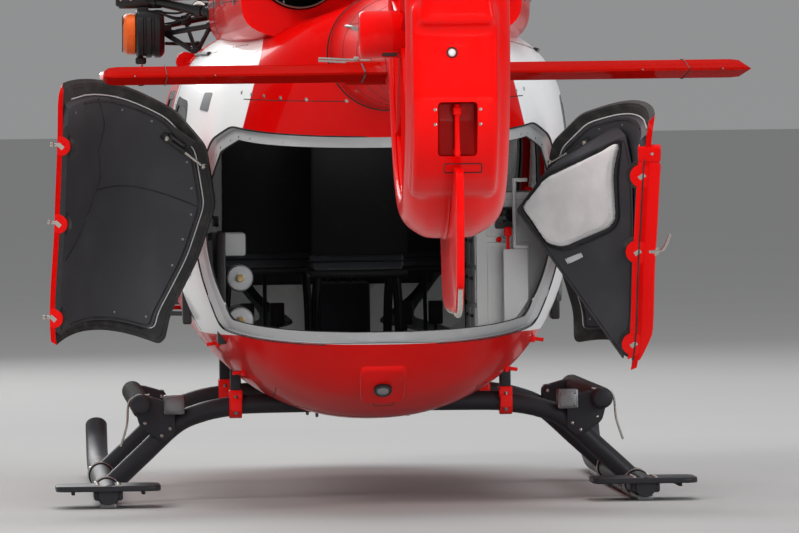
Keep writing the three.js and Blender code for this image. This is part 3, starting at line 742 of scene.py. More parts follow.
class Hull:
    """A body of rounded sections, blended along the stations."""

    def __init__(self, table: Sequence[Sequence[float]]) -> None:
        """Fits a curve to each column: half, low, mid, high, and the two roundnesses."""
        self.curves = columns(table)

    def row(self, station: float, inset: float = 0) -> list[float]:
        """The section's numbers at a station, moved inwards square to the surface.

        Args:
            station: The station.
            inset: Depth under the surface.

        Returns:
            The section's numbers, as in the table.
        """
        values = [float(curve(station)) for curve in self.curves]
        if inset:
            span = 20.0
            for i, sign in ((0, -1), (1, 1), (3, -1)):
                ends = [float(self.curves[i](station + way * span)) for way in (-1, 1)]
                steep = min(math.hypot(1, (ends[1] - ends[0]) / (2 * span)), 2.2)
                values[i] += sign * inset * steep
        return values

    def ring(self, station: float, count: int, inset: float = 0) -> np.ndarray:
        """The section as points, evenly spread by angle.

        Args:
            station: The station.
            count: How many points.
            inset: Depth under the surface.

        Returns:
            The points, three numbers each.
        """
        half, low, mid, high, low_round, high_round = self.row(station, inset)
        turn = (np.arange(count) + 0.5) / count * 2 * math.pi
        c, s = np.cos(turn), np.sin(turn)
        n = np.where(s > 0, high_round, low_round)
        height = np.where(s > 0, high - mid, mid - low)
        r = ((np.abs(c) / half) ** n + (np.abs(s) / height) ** n) ** (-1 / n)
        return np.column_stack([r * c, np.full(count, station), mid + r * s])

    def solid(
        self, stations: Sequence[float], count: int = 144, inset: float = 0, tag: int = 0
    ) -> Solid:
        """The closed hull through its sections at the stations."""
        return loft([self.ring(s, count, inset) for s in stations], tag)

    def side(self, station: float, z: float, inset: float = 0) -> float:
        """Half the width at a station and height.

        Args:
            station: The station.
            z: The height.
            inset: Depth under the surface.

        Returns:
            Half the width.
        """
        half, low, mid, high, low_round, high_round = self.row(station, inset)
        n, height = (high_round, high - mid) if z > mid else (low_round, mid - low)
        return half * max(0.0, 1 - (abs(z - mid) / height) ** n) ** (1 / n)

    def height(self, station: float, x: float, above: bool, inset: float = 0) -> float:
        """The height of the surface at a station and distance from the middle.

        Args:
            station: The station.
            x: The distance from the middle.
            above: Whether the top is meant.
            inset: Depth under the surface.

        Returns:
            The height.
        """
        half, low, mid, high, low_round, high_round = self.row(station, inset)
        n, reach = (high_round, high - mid) if above else (low_round, low - mid)
        return mid + reach * max(0.0, 1 - (abs(x) / half) ** n) ** (1 / n)

    def wrap(self, outline: Iterable[Point], side: Side, inset: float = 0) -> np.ndarray:
        """A side-view line of station and height, laid on the surface."""
        return np.array([(side.value * self.side(s, z, inset), s, z) for s, z in outline])

    def at(self, station: float, z: float, side: Side, inset: float = 0) -> np.ndarray:
        """The point of a side at a station and height."""
        return self.wrap([(station, z)], side, inset)[0]

    def belly(self, outline: Iterable[Point], inset: float = 0, above: bool = False) -> np.ndarray:
        """A plan-view line of X and station, laid on the underside or the top."""
        return np.array([(x, s, self.height(s, x, above, inset)) for x, s in outline])

    def normal(self, station: float, z: float, side: Side) -> np.ndarray:
        """The direction out of the surface at a station and height.

        Args:
            station: The station.
            z: The height.
            side: The side it is on.

        Returns:
            A direction of length one.
        """
        step = 6.0
        along = self.side(station + step, z) - self.side(station - step, z)
        up = self.side(station, z + step) - self.side(station, z - step)
        made = np.array([side.value * 2 * step, -along, -up])
        return made / np.linalg.norm(made)


CABIN_TABLE = [
    (-2800, 70, 890, 950, 1010, 2, 2), (-2730, 290, 735, 950, 1130, 2, 2.1),
    (-2500, 520, 580, 985, 1320, 2.05, 2.3), (-2150, 690, 475, 1060, 1570, 2.1, 2.7),
    (-1750, 795, 405, 1150, 1830, 2.15, 3.2), (-1300, 848, 370, 1210, 2000, 2.15, 3.7),
    (-700, 865, 352, 1230, 2065, 2.15, 4), (100, 865, 350, 1230, 2075, 2.15, 4),
    (800, 865, 352, 1230, 2075, 2.15, 4), (1250, 850, 375, 1240, 2075, 2.15, 3.9),
    (1650, 808, 462, 1275, 2078, 2.2, 3.6), (2000, 742, 700, 1370, 2085, 2.3, 3.1),
    (2350, 610, 1130, 1590, 2100, 2.3, 2.7), (2700, 400, 1555, 1840, 2130, 2.2, 2.3),
    (2850, 240, 1692, 1930, 2168, 2, 2),
]
COWL_TABLE = [
    (-1480, 110, 1950, 1990, 2060, 2, 2), (-1250, 330, 1930, 2050, 2200, 3, 2.2),
    (-900, 470, 1930, 2080, 2430, 4, 2.3), (-400, 570, 1930, 2110, 2690, 4, 2.4),
    (100, 640, 1930, 2130, 2800, 4, 2.5), (700, 672, 1930, 2150, 2780, 4, 2.6),
    (1400, 670, 1930, 2150, 2690, 4, 2.6), (2000, 640, 1950, 2160, 2560, 4, 2.6),
    (2360, 585, 1980, 2180, 2490, 4, 2.6),
]
BOOM_TABLE = [
    (2854, 238, 1694, 1930, 2166, 2, 2), (4000, 208, 1706, 1915, 2124, 2, 2),
    (5200, 180, 1700, 1890, 2082, 2, 2), (6320, 158, 1672, 1876, 2080, 2, 2),
]
NECK_TABLE = [
    (6320.3, 158, 1672, 1876, 2080, 2, 2), (6500, 160, 1590, 1885, 2200, 2, 2.2),
    (6750, 152, 1460, 1930, 2420, 2.2, 2.4), (7050, 148, 1390, 1955, 2520, 2.4, 2.6),
]
FAIRING_TABLE = [
    (2366, 128, 2040, 2150, 2440, 2, 2.2), (2600, 112, 2040, 2120, 2330, 2, 2.2),
    (2850, 92, 2040, 2110, 2240, 2, 2.2), (3250, 50, 2040, 2080, 2160, 2, 2),
]
CABIN = Hull(CABIN_TABLE)
COWL = Hull(COWL_TABLE)
BOOM = Hull(BOOM_TABLE)
CABIN_STATIONS = [*np.linspace(-2800, -2500, 14), *np.arange(-2460, 2840, 40), 2850]
INNER_STATIONS = np.linspace(-2730, 2700, 96)


# Shader graphs

Value = Union["Wire", float, Sequence[float]]


class Wire:
    """A shader socket that takes part in Python arithmetic."""

    def __init__(self, graph: "Graph", socket: bpy.types.NodeSocket) -> None:
        """Keeps the socket and the graph it is in."""
        self.graph, self.socket = graph, socket

    def _maths(self, operation: str, *values: Value) -> "Wire":
        """A Math node on the values."""
        inputs = dict(enumerate(values))
        return self.graph.node("ShaderNodeMath", {"operation": operation}, inputs)

    def __add__(self, other: Value) -> "Wire":
        """The sum."""
        return self._maths("ADD", self, other)

    __radd__ = __add__

    def __sub__(self, other: Value) -> "Wire":
        """The difference."""
        return self._maths("SUBTRACT", self, other)

    def __rsub__(self, other: Value) -> "Wire":
        """The difference, with this value taken away."""
        return self._maths("SUBTRACT", other, self)

    def __mul__(self, other: Value) -> "Wire":
        """The product."""
        return self._maths("MULTIPLY", self, other)

    __rmul__ = __mul__

    def __abs__(self) -> "Wire":
        """The value without its sign."""
        return self._maths("ABSOLUTE", self)

    def least(self, other: Value) -> "Wire":
        """The smaller of two values."""
        return self._maths("MINIMUM", self, other)

    def most(self, other: Value) -> "Wire":
        """The larger of two values."""
        return self._maths("MAXIMUM", self, other)

    def between(self, low: float, high: float) -> "Wire":
        """0 below low and 1 above high, with a smooth step; low may be the larger.

        Args:
            low: Where the step starts.
            high: Where it ends.

        Returns:
            The value from 0 to 1.
        """
        flipped = low > high
        settings = {"interpolation_type": "SMOOTHSTEP"}
        inputs = {"Value": self, "From Min": min(low, high), "From Max": max(low, high)}
        if flipped:
            inputs.update({"To Min": 1.0, "To Max": 0.0})
        return self.graph.node("ShaderNodeMapRange", settings, inputs)


class Graph:
    """A material's node tree, built with Python expressions."""

    def __init__(self, name: str) -> None:
        """Starts an empty material.

        Args:
            name: The material's name.
        """
        self.material = bpy.data.materials.new(name)
        self.material.use_nodes = True
        self.tree = self.material.node_tree
        self.tree.nodes.clear()

    def node(
        self,
        kind: str,
        settings: Optional[Mapping[str, object]] = None,
        inputs: Optional[Mapping[Union[str, int], Value]] = None,
        output: Union[str, int] = 0,
    ) -> Wire:
        """Adds a node.

        Args:
            kind: The node's type.
            settings: Its own settings, set first; "stops" are a ramp's places and colours.
            inputs: Values or links of its sockets.
            output: The socket that the result reads.

        Returns:
            The chosen output.
        """
        node = self.tree.nodes.new(kind)
        for key, value in (settings or {}).items():
            if key == "stops":
                ramp = node.color_ramp.elements
                while len(ramp) < len(value):
                    ramp.new(1.0)
                for stop, (place, colour) in zip(ramp, value):
                    stop.position, stop.color = place, (*colour, 1.0)
            else:
                setattr(node, key, value)
        for key, value in (inputs or {}).items():
            socket = node.inputs[key]
            if isinstance(value, Wire):
                self.tree.links.new(value.socket, socket)
            elif isinstance(value, (int, float)) and hasattr(socket.default_value, "__len__"):
                socket.default_value = [value] * len(socket.default_value)
            elif hasattr(value, "__len__") and len(value) == 3 and socket.type == "RGBA":
                socket.default_value = (*value, 1.0)
            else:
                socket.default_value = value
        return Wire(self, node.outputs[output])

    def place(self, stretch: Point = (1, 1, 1)) -> Wire:
        """The point on the piece in the rest frame, in metres, stretched along the axes.

        Args:
            stretch: How much each axis is stretched.

        Returns:
            The point.
        """
        place = self.node("ShaderNodeTexCoord", output="Object")
        if tuple(stretch) == (1, 1, 1):
            return place
        return self.node("ShaderNodeVectorMath", {"operation": "MULTIPLY"}, {0: place, 1: stretch})

    def axes(self) -> list[Wire]:
        """The three coordinates of the point in the rest frame, in metres."""
        place = self.place()
        return [
            self.node("ShaderNodeSeparateXYZ", inputs={0: place}, output=i) for i in range(3)
        ]

    def noise(self, scale: float, detail: float = 2, stretch: Point = (1, 1, 1)) -> Wire:
        """Cloudy noise from 0 to 1."""
        inputs = {"Vector": self.place(stretch), "Scale": scale, "Detail": detail}
        return self.node("ShaderNodeTexNoise", None, inputs)

    def cells(self, scale: float, stretch: Point = (1, 1, 1)) -> Wire:
        """Distance to the nearest of scattered points."""
        inputs = {"Vector": self.place(stretch), "Scale": scale}
        return self.node("ShaderNodeTexVoronoi", None, inputs, "Distance")

    def waves(self, scale: float, direction: str, warp: float = 0) -> Wire:
        """Even stripes along an axis.

        Args:
            scale: How dense the stripes are.
            direction: The axis, by its letter.
            warp: How much the stripes waver.

        Returns:
            The stripes' value from 0 to 1.
        """
        settings = {"wave_type": "BANDS", "bands_direction": direction}
        inputs = {"Vector": self.place(), "Scale": scale, "Distortion": warp}
        return self.node("ShaderNodeTexWave", settings, inputs, "Fac")

    def mix(self, share: Value, first: Value, second: Value) -> Wire:
        """A colour between two, by share of the second."""
        settings = {"data_type": "RGBA"}
        return self.node("ShaderNodeMix", settings, {0: share, 6: first, 7: second}, 2)

    def bump(self, height: Wire, distance: float, strength: float = 1.0) -> Wire:
        """A normal from a height of 0 to 1 that is a distance in metres deep."""
        inputs = {"Height": height, "Distance": distance, "Strength": strength}
        return self.node("ShaderNodeBump", None, inputs)

    def surface(self, inputs: Mapping[str, Value]) -> bpy.types.Material:
        """Ends the graph in one shader with the given sockets.

        Args:
            inputs: A value or wire for each socket.

        Returns:
            The finished material.
        """
        shader = self.node("ShaderNodeBsdfPrincipled", None, inputs)
        end = self.tree.nodes.new("ShaderNodeOutputMaterial")
        self.tree.links.new(shader.socket, end.inputs["Surface"])
        return self.material


# Finishes


@dataclass(frozen=True)
class Finish:
    """What a surface is made of; a subclass draws its nodes."""

    name: str
    colour: Colour

    def toned(self, gain: float, lift: float = 0) -> Colour:
        """The finish's colour made lighter or darker."""
        return tuple(min(1.0, c * gain + lift) for c in self.colour)

    def draw(self, graph: Graph) -> bpy.types.Material:
        """Builds the nodes."""
        return graph.surface({"Base Color": self.colour})

    def material(self) -> bpy.types.Material:
        """The Blender material, made once."""
        found = bpy.data.materials.get(self.name)
        return found or self.draw(Graph(self.name))


@dataclass(frozen=True)
class Paint(Finish):
    """Glossy coachwork under clear lacquer, with road film low down."""

    film: float = 0.14
    roughness: float = 0.32
    gloss: float = 0.05
    coat: float = 0.34
    white: Colour = (0.94, 0.95, 0.96)
    flanks: bool = False

    def shade(self, graph: Graph) -> Value:
        """The clean colour over the surface.

        Args:
            graph: The material's graph.

        Returns:
            The colour.
        """
        cloud = graph.noise(1.6, 3)
        red = graph.mix(cloud.between(0.3, 0.7), self.colour, self.toned(0.86))
        if not self.flanks:
            return red
        x, y, z = graph.axes()
        width = abs(x)
        border = (1.995 - z) * 0.26 + 0.488
        back = (y + 1.166).between(0, 0.003)
        low = (z - 0.742).between(0, 0.003)
        top = (2.006 - z).between(0, 0.003)
        flank = (width - border.least(0.585)).between(0, 0.003)
        return graph.mix(flank * back * low * top, red, self.white)

    def draw(self, graph: Graph) -> bpy.types.Material:
        """Lacquer over colour, orange peel, and dust towards the ground.

        Args:
            graph: The material's graph.

        Returns:
            The finished material.
        """
        _, _, z = graph.axes()
        dust = graph.noise(7.0, 6) * z.between(0.95, 0.3) * self.film
        streak = graph.noise(26, 4, (1, 0.12, 0.5)).between(0.5, 0.8) * 0.25
        grime = (dust + streak * self.film * 0.5).least(0.6)
        colour = graph.mix(grime, self.shade(graph), (0.2, 0.17, 0.15))
        return graph.surface({
            "Base Color": colour,
            "Roughness": grime * 0.35 + self.roughness,
            "Specular IOR Level": self.gloss,
            "Coat Weight": self.coat - grime * 0.3,
            "Coat Roughness": 0.03,
            "Coat IOR": 1.4,
            "Normal": graph.bump(graph.noise(150, 1), 0.00025),
        })


@dataclass(frozen=True)
class Plastic(Finish):
    """Moulded or painted plastic with a fine grain and scuffs."""

    roughness: float = 0.45
    grain: float = 900
    scuff: float = 0.3

    def draw(self, graph: Graph) -> bpy.types.Material:
        """Grain in the bump, worn light patches in the colour.

        Args:
            graph: The material's graph.

        Returns:
            The finished material.
        """
        wear = graph.noise(14, 6).between(0.56, 0.8) * self.scuff
        return graph.surface({
            "Base Color": graph.mix(wear, self.colour, self.toned(1.8, 0.02)),
            "Roughness": graph.noise(40, 3) * 0.2 + self.roughness - 0.1,
            "Normal": graph.bump(graph.cells(self.grain), 0.0003, 0.5),
        })


@dataclass(frozen=True)
class Metal(Finish):
    """Bare, plated or heat-stained metal with brushing and grime."""

    roughness: float = 0.3
    stain: Colour = (0.1, 0.08, 0.07)
    stained: float = 0.3
    metallic: float = 1.0

    def draw(self, graph: Graph) -> bpy.types.Material:
        """Fine scratches in the bump, stains in the colour.

        Args:
            graph: The material's graph.

        Returns:
            The finished material.
        """
        stain = graph.noise(9, 7).between(0.48, 0.72) * self.stained
        return graph.surface(
            {
                "Base Color": graph.mix(stain, self.colour, self.stain),
                "Metallic": self.metallic - stain * 0.4,
                "Roughness": graph.noise(
                    60, 4, (1, 0.15, 1),
                ) * 0.2 + stain * 0.3 + self.roughness - 0.1,
                "Normal": graph.bump(graph.noise(500, 2, (1, 0.1, 1)), 0.0002, 0.4),
            }
        )


@dataclass(frozen=True)
class Rubber(Finish):
    """Dull black seal, hose or tread with a bloom of dust."""

    def draw(self, graph: Graph) -> bpy.types.Material:
        """A grey bloom over black.

        Args:
            graph: The material's graph.

        Returns:
            The finished material.
        """
        bloom = graph.noise(20, 5).between(0.45, 0.8) * 0.25
        return graph.surface({
            "Base Color": graph.mix(bloom, self.colour, (0.16, 0.15, 0.14)),
            "Roughness": bloom * 0.5 + 0.62,
            "Normal": graph.bump(graph.noise(700, 2), 0.0002, 0.6),
        })


@dataclass(frozen=True)
class Glass(Finish):
    """Tinted acrylic: one shader with an even, partly clear alpha."""

    alpha: float = 0.55

    def draw(self, graph: Graph) -> bpy.types.Material:
        """A glossy tint.

        Args:
            graph: The material's graph.

        Returns:
            The finished material.
        """
        return graph.surface({
            "Base Color": self.colour, "Roughness": 0.03, "IOR": 1.49, "Alpha": self.alpha,
            "Coat Weight": 1.0, "Coat Roughness": 0.02,
        })


@dataclass(frozen=True)
class Lamp(Finish):
    """A lens with light behind it."""

    glow: float = 0.6
    ribs: float = 160

    def draw(self, graph: Graph) -> bpy.types.Material:
        """Ribbed, glossy and faintly lit.

        Args:
            graph: The material's graph.

        Returns:
            The finished material.
        """
        return graph.surface({
            "Base Color": graph.mix(graph.waves(self.ribs, "Z"), self.colour, (0.9, 0.9, 0.88)),
            "Roughness": 0.08, "Coat Weight": 1.0,
            "Emission Color": self.colour, "Emission Strength": self.glow,
            "Normal": graph.bump(graph.waves(self.ribs, "Z"), 0.001, 0.5),
        })


@dataclass(frozen=True)
class Cloth(Finish):
    """Woven fabric with a nap."""

    weave: float = 260
    second: Optional[Colour] = None

    def draw(self, graph: Graph) -> bpy.types.Material:
        """Two sets of threads, with crushed lighter patches.

        Args:
            graph: The material's graph.

        Returns:
            The finished material.
        """
        across, up = graph.waves(self.weave, "X", 0.4), graph.waves(self.weave, "Z", 0.4)
        thread = across.most(up)
        pale = self.second or self.toned(1.6, 0.01)
        worn = (graph.noise(11, 5).between(0.35, 0.75) * 0.6 + thread * 0.3).least(1)
        return graph.surface({
            "Base Color": graph.mix(worn, self.colour, pale),
            "Roughness": graph.noise(30, 3) * 0.15 + 0.75,
            "Sheen Weight": 0.35, "Sheen Roughness": 0.5,
            "Normal": graph.bump(thread + graph.noise(24, 4) * 2, 0.0008, 0.7),
        })


@dataclass(frozen=True)
class Lining(Finish):
    """Vacuum-formed trim sheet with a leather grain and handling marks."""

    roughness: float = 0.5

    def draw(self, graph: Graph) -> bpy.types.Material:
        """Leather-like cells in the bump, a soft sheen.

        Args:
            graph: The material's graph.

        Returns:
            The finished material.
        """
        marks = graph.noise(6, 6).between(0.45, 0.75) * 0.35
        return graph.surface({
            "Base Color": graph.mix(marks, self.colour, self.toned(1.5, 0.012)),
            "Roughness": graph.noise(12, 3) * 0.16 + self.roughness - 0.08,
            "Specular IOR Level": 0.4,
            "Normal": graph.bump(graph.cells(380), 0.0006, 0.5),
        })


@dataclass(frozen=True)
class Tread(Finish):
    """Anti-slip floor covering with studs."""

    def draw(self, graph: Graph) -> bpy.types.Material:
        """Rows of studs and trodden dirt.

        Args:
            graph: The material's graph.

        Returns:
            The finished material.
        """
        stud = graph.cells(36).between(0.4, 0.1)
        dirt = graph.noise(5, 6).between(0.4, 0.7) * 0.5
        return graph.surface({
            "Base Color": graph.mix(dirt, self.colour, (0.1, 0.09, 0.08)),
            "Roughness": dirt * 0.2 + 0.55,
            "Normal": graph.bump(stud, 0.001, 0.8),
        })


@dataclass(frozen=True)
class Composite(Finish):
    """Painted composite blade, rubbed bright along its leading edge."""

    edge: Colour = (0.45, 0.45, 0.46)

    def draw(self, graph: Graph) -> bpy.types.Material:
        """Grain along the blade and insect marks.

        Args:
            graph: The material's graph.

        Returns:
            The finished material.
        """
        marks = graph.noise(35, 5).between(0.58, 0.75) * 0.5
        return graph.surface({
            "Base Color": graph.mix(marks, self.colour, self.edge),
            "Roughness": graph.noise(18, 4) * 0.2 + 0.32,
            "Normal": graph.bump(graph.noise(240, 2), 0.0002, 0.4),
        })


@dataclass(frozen=True)
class Ground(Finish):
    """The studio floor."""

    def draw(self, graph: Graph) -> bpy.types.Material:
        """Faintly mottled.

        Args:
            graph: The material's graph.

        Returns:
            The finished material.
        """
        return graph.surface({
            "Base Color": graph.mix(graph.noise(0.7, 4), self.colour, self.toned(0.95)),
            "Roughness": 0.9,
            "Specular IOR Level": 0.0,
        })


RED = Paint("red_lacquer", (0.74, 0.0015, 0.001))
LIVERY = Paint("red_and_white_lacquer", (0.74, 0.0015, 0.001), flanks=True)
# A darker copy of the red lacquer: painted shade for the faces of the shroud's rear recess.
RECESS_SHADE_RED = Paint("shaded_red_lacquer", (0.3, 0.003, 0.002))
# A darker copy of the red with little lacquer, for the stabilizer and its spar cuffs: painted shade
# and painted dark reflections.
SHADED_TAILPLANE_RED = Paint("tailplane_red_lacquer", (0.38, 0.004, 0.002), gloss=0.0, coat=0.05)
# A darker copy of the body red with less lacquer, for the open rear doors' outer skins; the darker
# colour is painted shade.
SHADED_DOOR_RED = Paint("door_red_lacquer", (0.6, 0.0015, 0.001), gloss=0.02, coat=0.1)
WHITE = Paint("white_lacquer", (0.8, 0.81, 0.82))
TINT = Glass("smoked_glass", (0.012, 0.016, 0.018))
CLEAR = Glass("lamp_glass", (0.6, 0.62, 0.64), alpha=0.35)
FRIT = Plastic("black_glass_edge", (0.008, 0.008, 0.009), 0.18, 300, 0.02)
SEAL = Rubber("seal_rubber", (0.012, 0.012, 0.012))
TRIM = Lining("charcoal_trim", (0.034, 0.035, 0.04))
WALL_PAD = Cloth("padded_wall_cloth", (0.04, 0.042, 0.048), 300)
HEADLINER = Lining("pale_headliner", (0.36, 0.36, 0.355))
FRAME_GREY = Plastic("light_grey_frame", (0.5, 0.51, 0.52), 0.4, 500, 0.15)
SATIN_BLACK = Plastic("satin_black", (0.014, 0.014, 0.015), 0.34, 600, 0.25)
GEAR_PAINT = Plastic("gear_black", (0.007, 0.007, 0.008), 0.36, 420, 0.4)
STEEL = Metal("plated_steel", (0.62, 0.6, 0.55), 0.28)
BRASS = Metal("passivated_steel", (0.62, 0.5, 0.24), 0.3, (0.2, 0.12, 0.04), 0.3)
CAST = Metal("cast_alloy", (0.32, 0.33, 0.34), 0.42, (0.06, 0.05, 0.05), 0.4)
DARK_CAST = Metal("dark_alloy", (0.1, 0.1, 0.105), 0.45, (0.03, 0.03, 0.03), 0.4)
BURNT = Metal("heat_stained_steel", (0.24, 0.19, 0.15), 0.36, (0.05, 0.035, 0.06), 0.8)
# Near-black metal: real soot inside the exhausts, and painted shade inside the cowls and behind the
# intake screens.
SOOT_AND_SHADE = Metal("sooted_inside", (0.03, 0.027, 0.025), 0.7, (0.01, 0.01, 0.01), 0.8, 0.3)
SEAT = Cloth("seat_weave", (0.028, 0.03, 0.036), 240)
POUCH_FABRIC = Cloth("pouch_fabric", (0.62, 0.62, 0.63), 420, (0.78, 0.77, 0.78))
PIPING = Rubber("black_piping", (0.01, 0.01, 0.011))
FLOORING = Tread("anti_slip_floor", (0.13, 0.135, 0.14))
CABINET = Plastic("cabinet_grey", (0.36, 0.365, 0.36), 0.42, 500, 0.1)
PANEL = Plastic("panel_black", (0.02, 0.02, 0.022), 0.5, 700, 0.15)
SCREEN = Plastic("dark_screens", (0.004, 0.006, 0.008), 0.12, 90, 0.02)
ORANGE = Plastic("orange_cover", (0.78, 0.13, 0.015), 0.3, 500, 0.2)
BLADE = Composite("blade_grey", (0.1, 0.105, 0.11))
LAMP_RED = Lamp("red_lamp", (0.75, 0.02, 0.02))
LAMP_GREEN = Lamp("green_lamp", (0.02, 0.5, 0.1))
LAMP_CLEAR = Lamp("clear_lamp", (0.85, 0.83, 0.78), 0.5, 90)
DULL_LAMP = Lamp("dull_lamp", (0.42, 0.43, 0.44), 0.05, 90)
STUDIO_FLOOR = Ground("studio_floor", (0.41, 0.41, 0.405))


# Pieces


class Yard:
    """Makes the Blender pieces and keeps count of them."""

    def __init__(self) -> None:
        """Starts with no pieces."""
        self.made: list[bpy.types.Object] = []

    def piece(
        self,
        name: str,
        solid: Solid,
        finishes: Sequence[Finish],
        body: str,
        slot: str,
        replaces: Sequence[str] = (),
        crease: float = 32,
    ) -> bpy.types.Object:
        """Turns a solid into a piece that rides on a body.

        Args:
            name: The piece's name.
            solid: Its shape; each tag picks one of the finishes.
            finishes: The finishes, by tag.
            body: The body it rides on.
            slot: The record's material slot; not used.
            replaces: CAD nodes it stands for.
            crease: Edges sharper than this many degrees stay sharp.

        Returns:
            The object.
        """
        mesh = bpy.data.meshes.new(name)
        points = solid.points * MM + (0, MAST_Y, 0)
        mesh.from_pydata(points.tolist(), [], solid.faces)
        for finish in finishes:
            mesh.materials.append(finish.material())
        mesh.polygons.foreach_set(
            "material_index", np.clip(solid.tags, 0, len(finishes) - 1).astype(np.int32)
        )
        smoothen(mesh, crease)
        mesh.update()
        made = new_object(name, mesh)
        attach(made, body)
        if replaces:
            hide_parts(*replaces)
        self.made.append(made)
        LOG.info("%s: %d faces on %s", name, len(mesh.polygons), body)
        return made

    def dress(self, finish: Finish, *nodes: str) -> None:
        """Gives CAD nodes that stay in view a finish.

        Args:
            finish: The finish.
            nodes: The nodes' names.
        """
        for name in nodes:
            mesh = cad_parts[name].data
            mesh.materials.clear()
            mesh.materials.append(finish.material())
            smoothen(mesh, 30)


@dataclass
class Assembly:
    """A part of the machine, with the body and material slot that most of its pieces share."""

    yard: Yard
    body: str = "airframe"
    slot: str = "red_paint"

    def add(
        self,
        name: str,
        shape: Shape,
        *finishes: Finish,
        body: str = "",
        slot: str = "",
        replaces: Sequence[str] = (),
        crease: float = 32,
    ) -> bpy.types.Object:
        """Makes one piece from one or more solids.

        Args:
            name: The piece's name.
            shape: The solid or solids.
            finishes: The finishes, by tag.
            body: The body it rides on, if it isn't the assembly's.
            slot: The material slot, if it isn't the assembly's.
            replaces: CAD nodes it stands for.
            crease: Edges sharper than this many degrees stay sharp.

        Returns:
            The object.
        """
        where = (body or self.body, slot or self.slot)
        return self.yard.piece(name, joined(shape), finishes, *where, replaces, crease)


SKIN_SIDES, LINING_SIDES = 176, 120


def studs(
    hull: Hull, places: Iterable[Point], side: Side, radius: float = 6, height: float = 2,
    tag: int = 0,
) -> Solid:
    """Screw heads at side-view places on a hull.

    Args:
        hull: The hull.
        places: A station and a height for each.
        side: The side it is on.
        radius: A head's radius.
        height: How far a head stands out.
        tag: The tag of its faces.

    Returns:
        The heads in one solid.
    """
    return joined(
        dome((side.value * hull.side(s, z), s, z), hull.normal(s, z, side), radius, height, 8, tag)
        for s, z in places
    )


# Side-view outlines: station and height

FRONT_DOOR = [(-1700, 680), (-620, 680), (-620, 1900), (-1100, 1880), (-1700, 1080)]
FRONT_DOOR_WINDOW = [(-1560, 1140), (-720, 1140), (-720, 1790), (-1072, 1775)]
SLIDING_DOOR = rect(-560, 680, 920, 1905)
SLIDING_DOOR_WINDOW = rect(-410, 1130, 770, 1785)
QUARTER_WINDOW = [(1090, 1240), (1560, 1280), (1600, 1735), (1090, 1765)]
WINDSCREEN = [(-2950, 1140), (-1800, 1050), (-1245, 1775), (-1500, 2120), (-2950, 2120)]
CHIN_WINDOW = [(-2640, 690), (-2080, 620), (-1960, 880), (-2560, 985)]
REAR_MOUTH = [
    (1650, 775), (3200, 450), (3200, 1575), (2720, 1575), (2300, 1625),
    (2100, 1570), (1900, 1380), (1800, 1140), (1730, 900),
]
WINDOW_ROUND, DOOR_ROUND = 110, 90
REAR_START = 1500
INNER_X, WINDSCREEN_STRIP, CHIN_STRIP = 150, 32, 90
CROSS_TUBE_STATIONS = {"front": -760, "rear": 860}
CROSS_TUBE_HALF = [
    (450, 424), (616, 412), (737, 388), (849, 338), (996, 205), (1118, 92), (1150, 62),
]
FITTING_X = 585
# Flat-faced box in the right rear door and the pouch on it, with the door closed: distance
# from the middle, station, height. The root is station and height on the door's lining.
DOOR_BOX_FACE = [
    (608, 1830, 1415), (573, 2044, 1495), (391, 2466, 1483), (336, 2426, 1372), (262, 2311, 1189),
    (143, 2084, 864), (117, 1959, 746),
]
DOOR_BOX_ROOT = [
    (1990, 1350), (2120, 1490), (2430, 1512), (2450, 1400), (2380, 1300), (2250, 1120), (2130, 960),
    (1990, 840), (1880, 900), (1900, 1100),
]
POUCH = [
    (596, 1864, 1418), (567, 2038, 1483), (396, 2447, 1478), (361, 2342, 1359), (299, 2252, 1208),
    (311, 2188, 1187), (413, 1956, 1197), (447, 1913, 1221), (476, 1885, 1248),
]
POUCH_FOLD = [(596, 1864, 1418), (567, 2038, 1483), (396, 2447, 1478)]
DOOR_PLATE = [(406, 1934, 1172), (369, 2017, 1167), (358, 2015, 1149), (391, 1936, 1150)]


def across(outline: Sequence[Point], side: Side, start: float, radius: float, tag: int) -> Solid:
    """A cutter with a side-view outline, from a distance off the middle outwards."""
    ends = (side.value * start, side.value * FAR)
    return prism(rounded(outline, radius), Axis.X, *ends, tag)


def band(
    hull: Hull, stations: Sequence[float], outer: float, inner: float, count: int = 144,
) -> Solid:
    """The layer of a hull between two depths under its surface."""
    core = hull.solid(stations, count, inner)
    return hull.solid(stations, count, outer).cut(core)


def cross_tube_path(station: float) -> np.ndarray:
    """The middle line of a cross tube, from right to left."""
    left = [(x, station, z) for x, z in CROSS_TUBE_HALF]
    return smoothed([(-x, s, z) for x, s, z in reversed(left)] + left, 7)


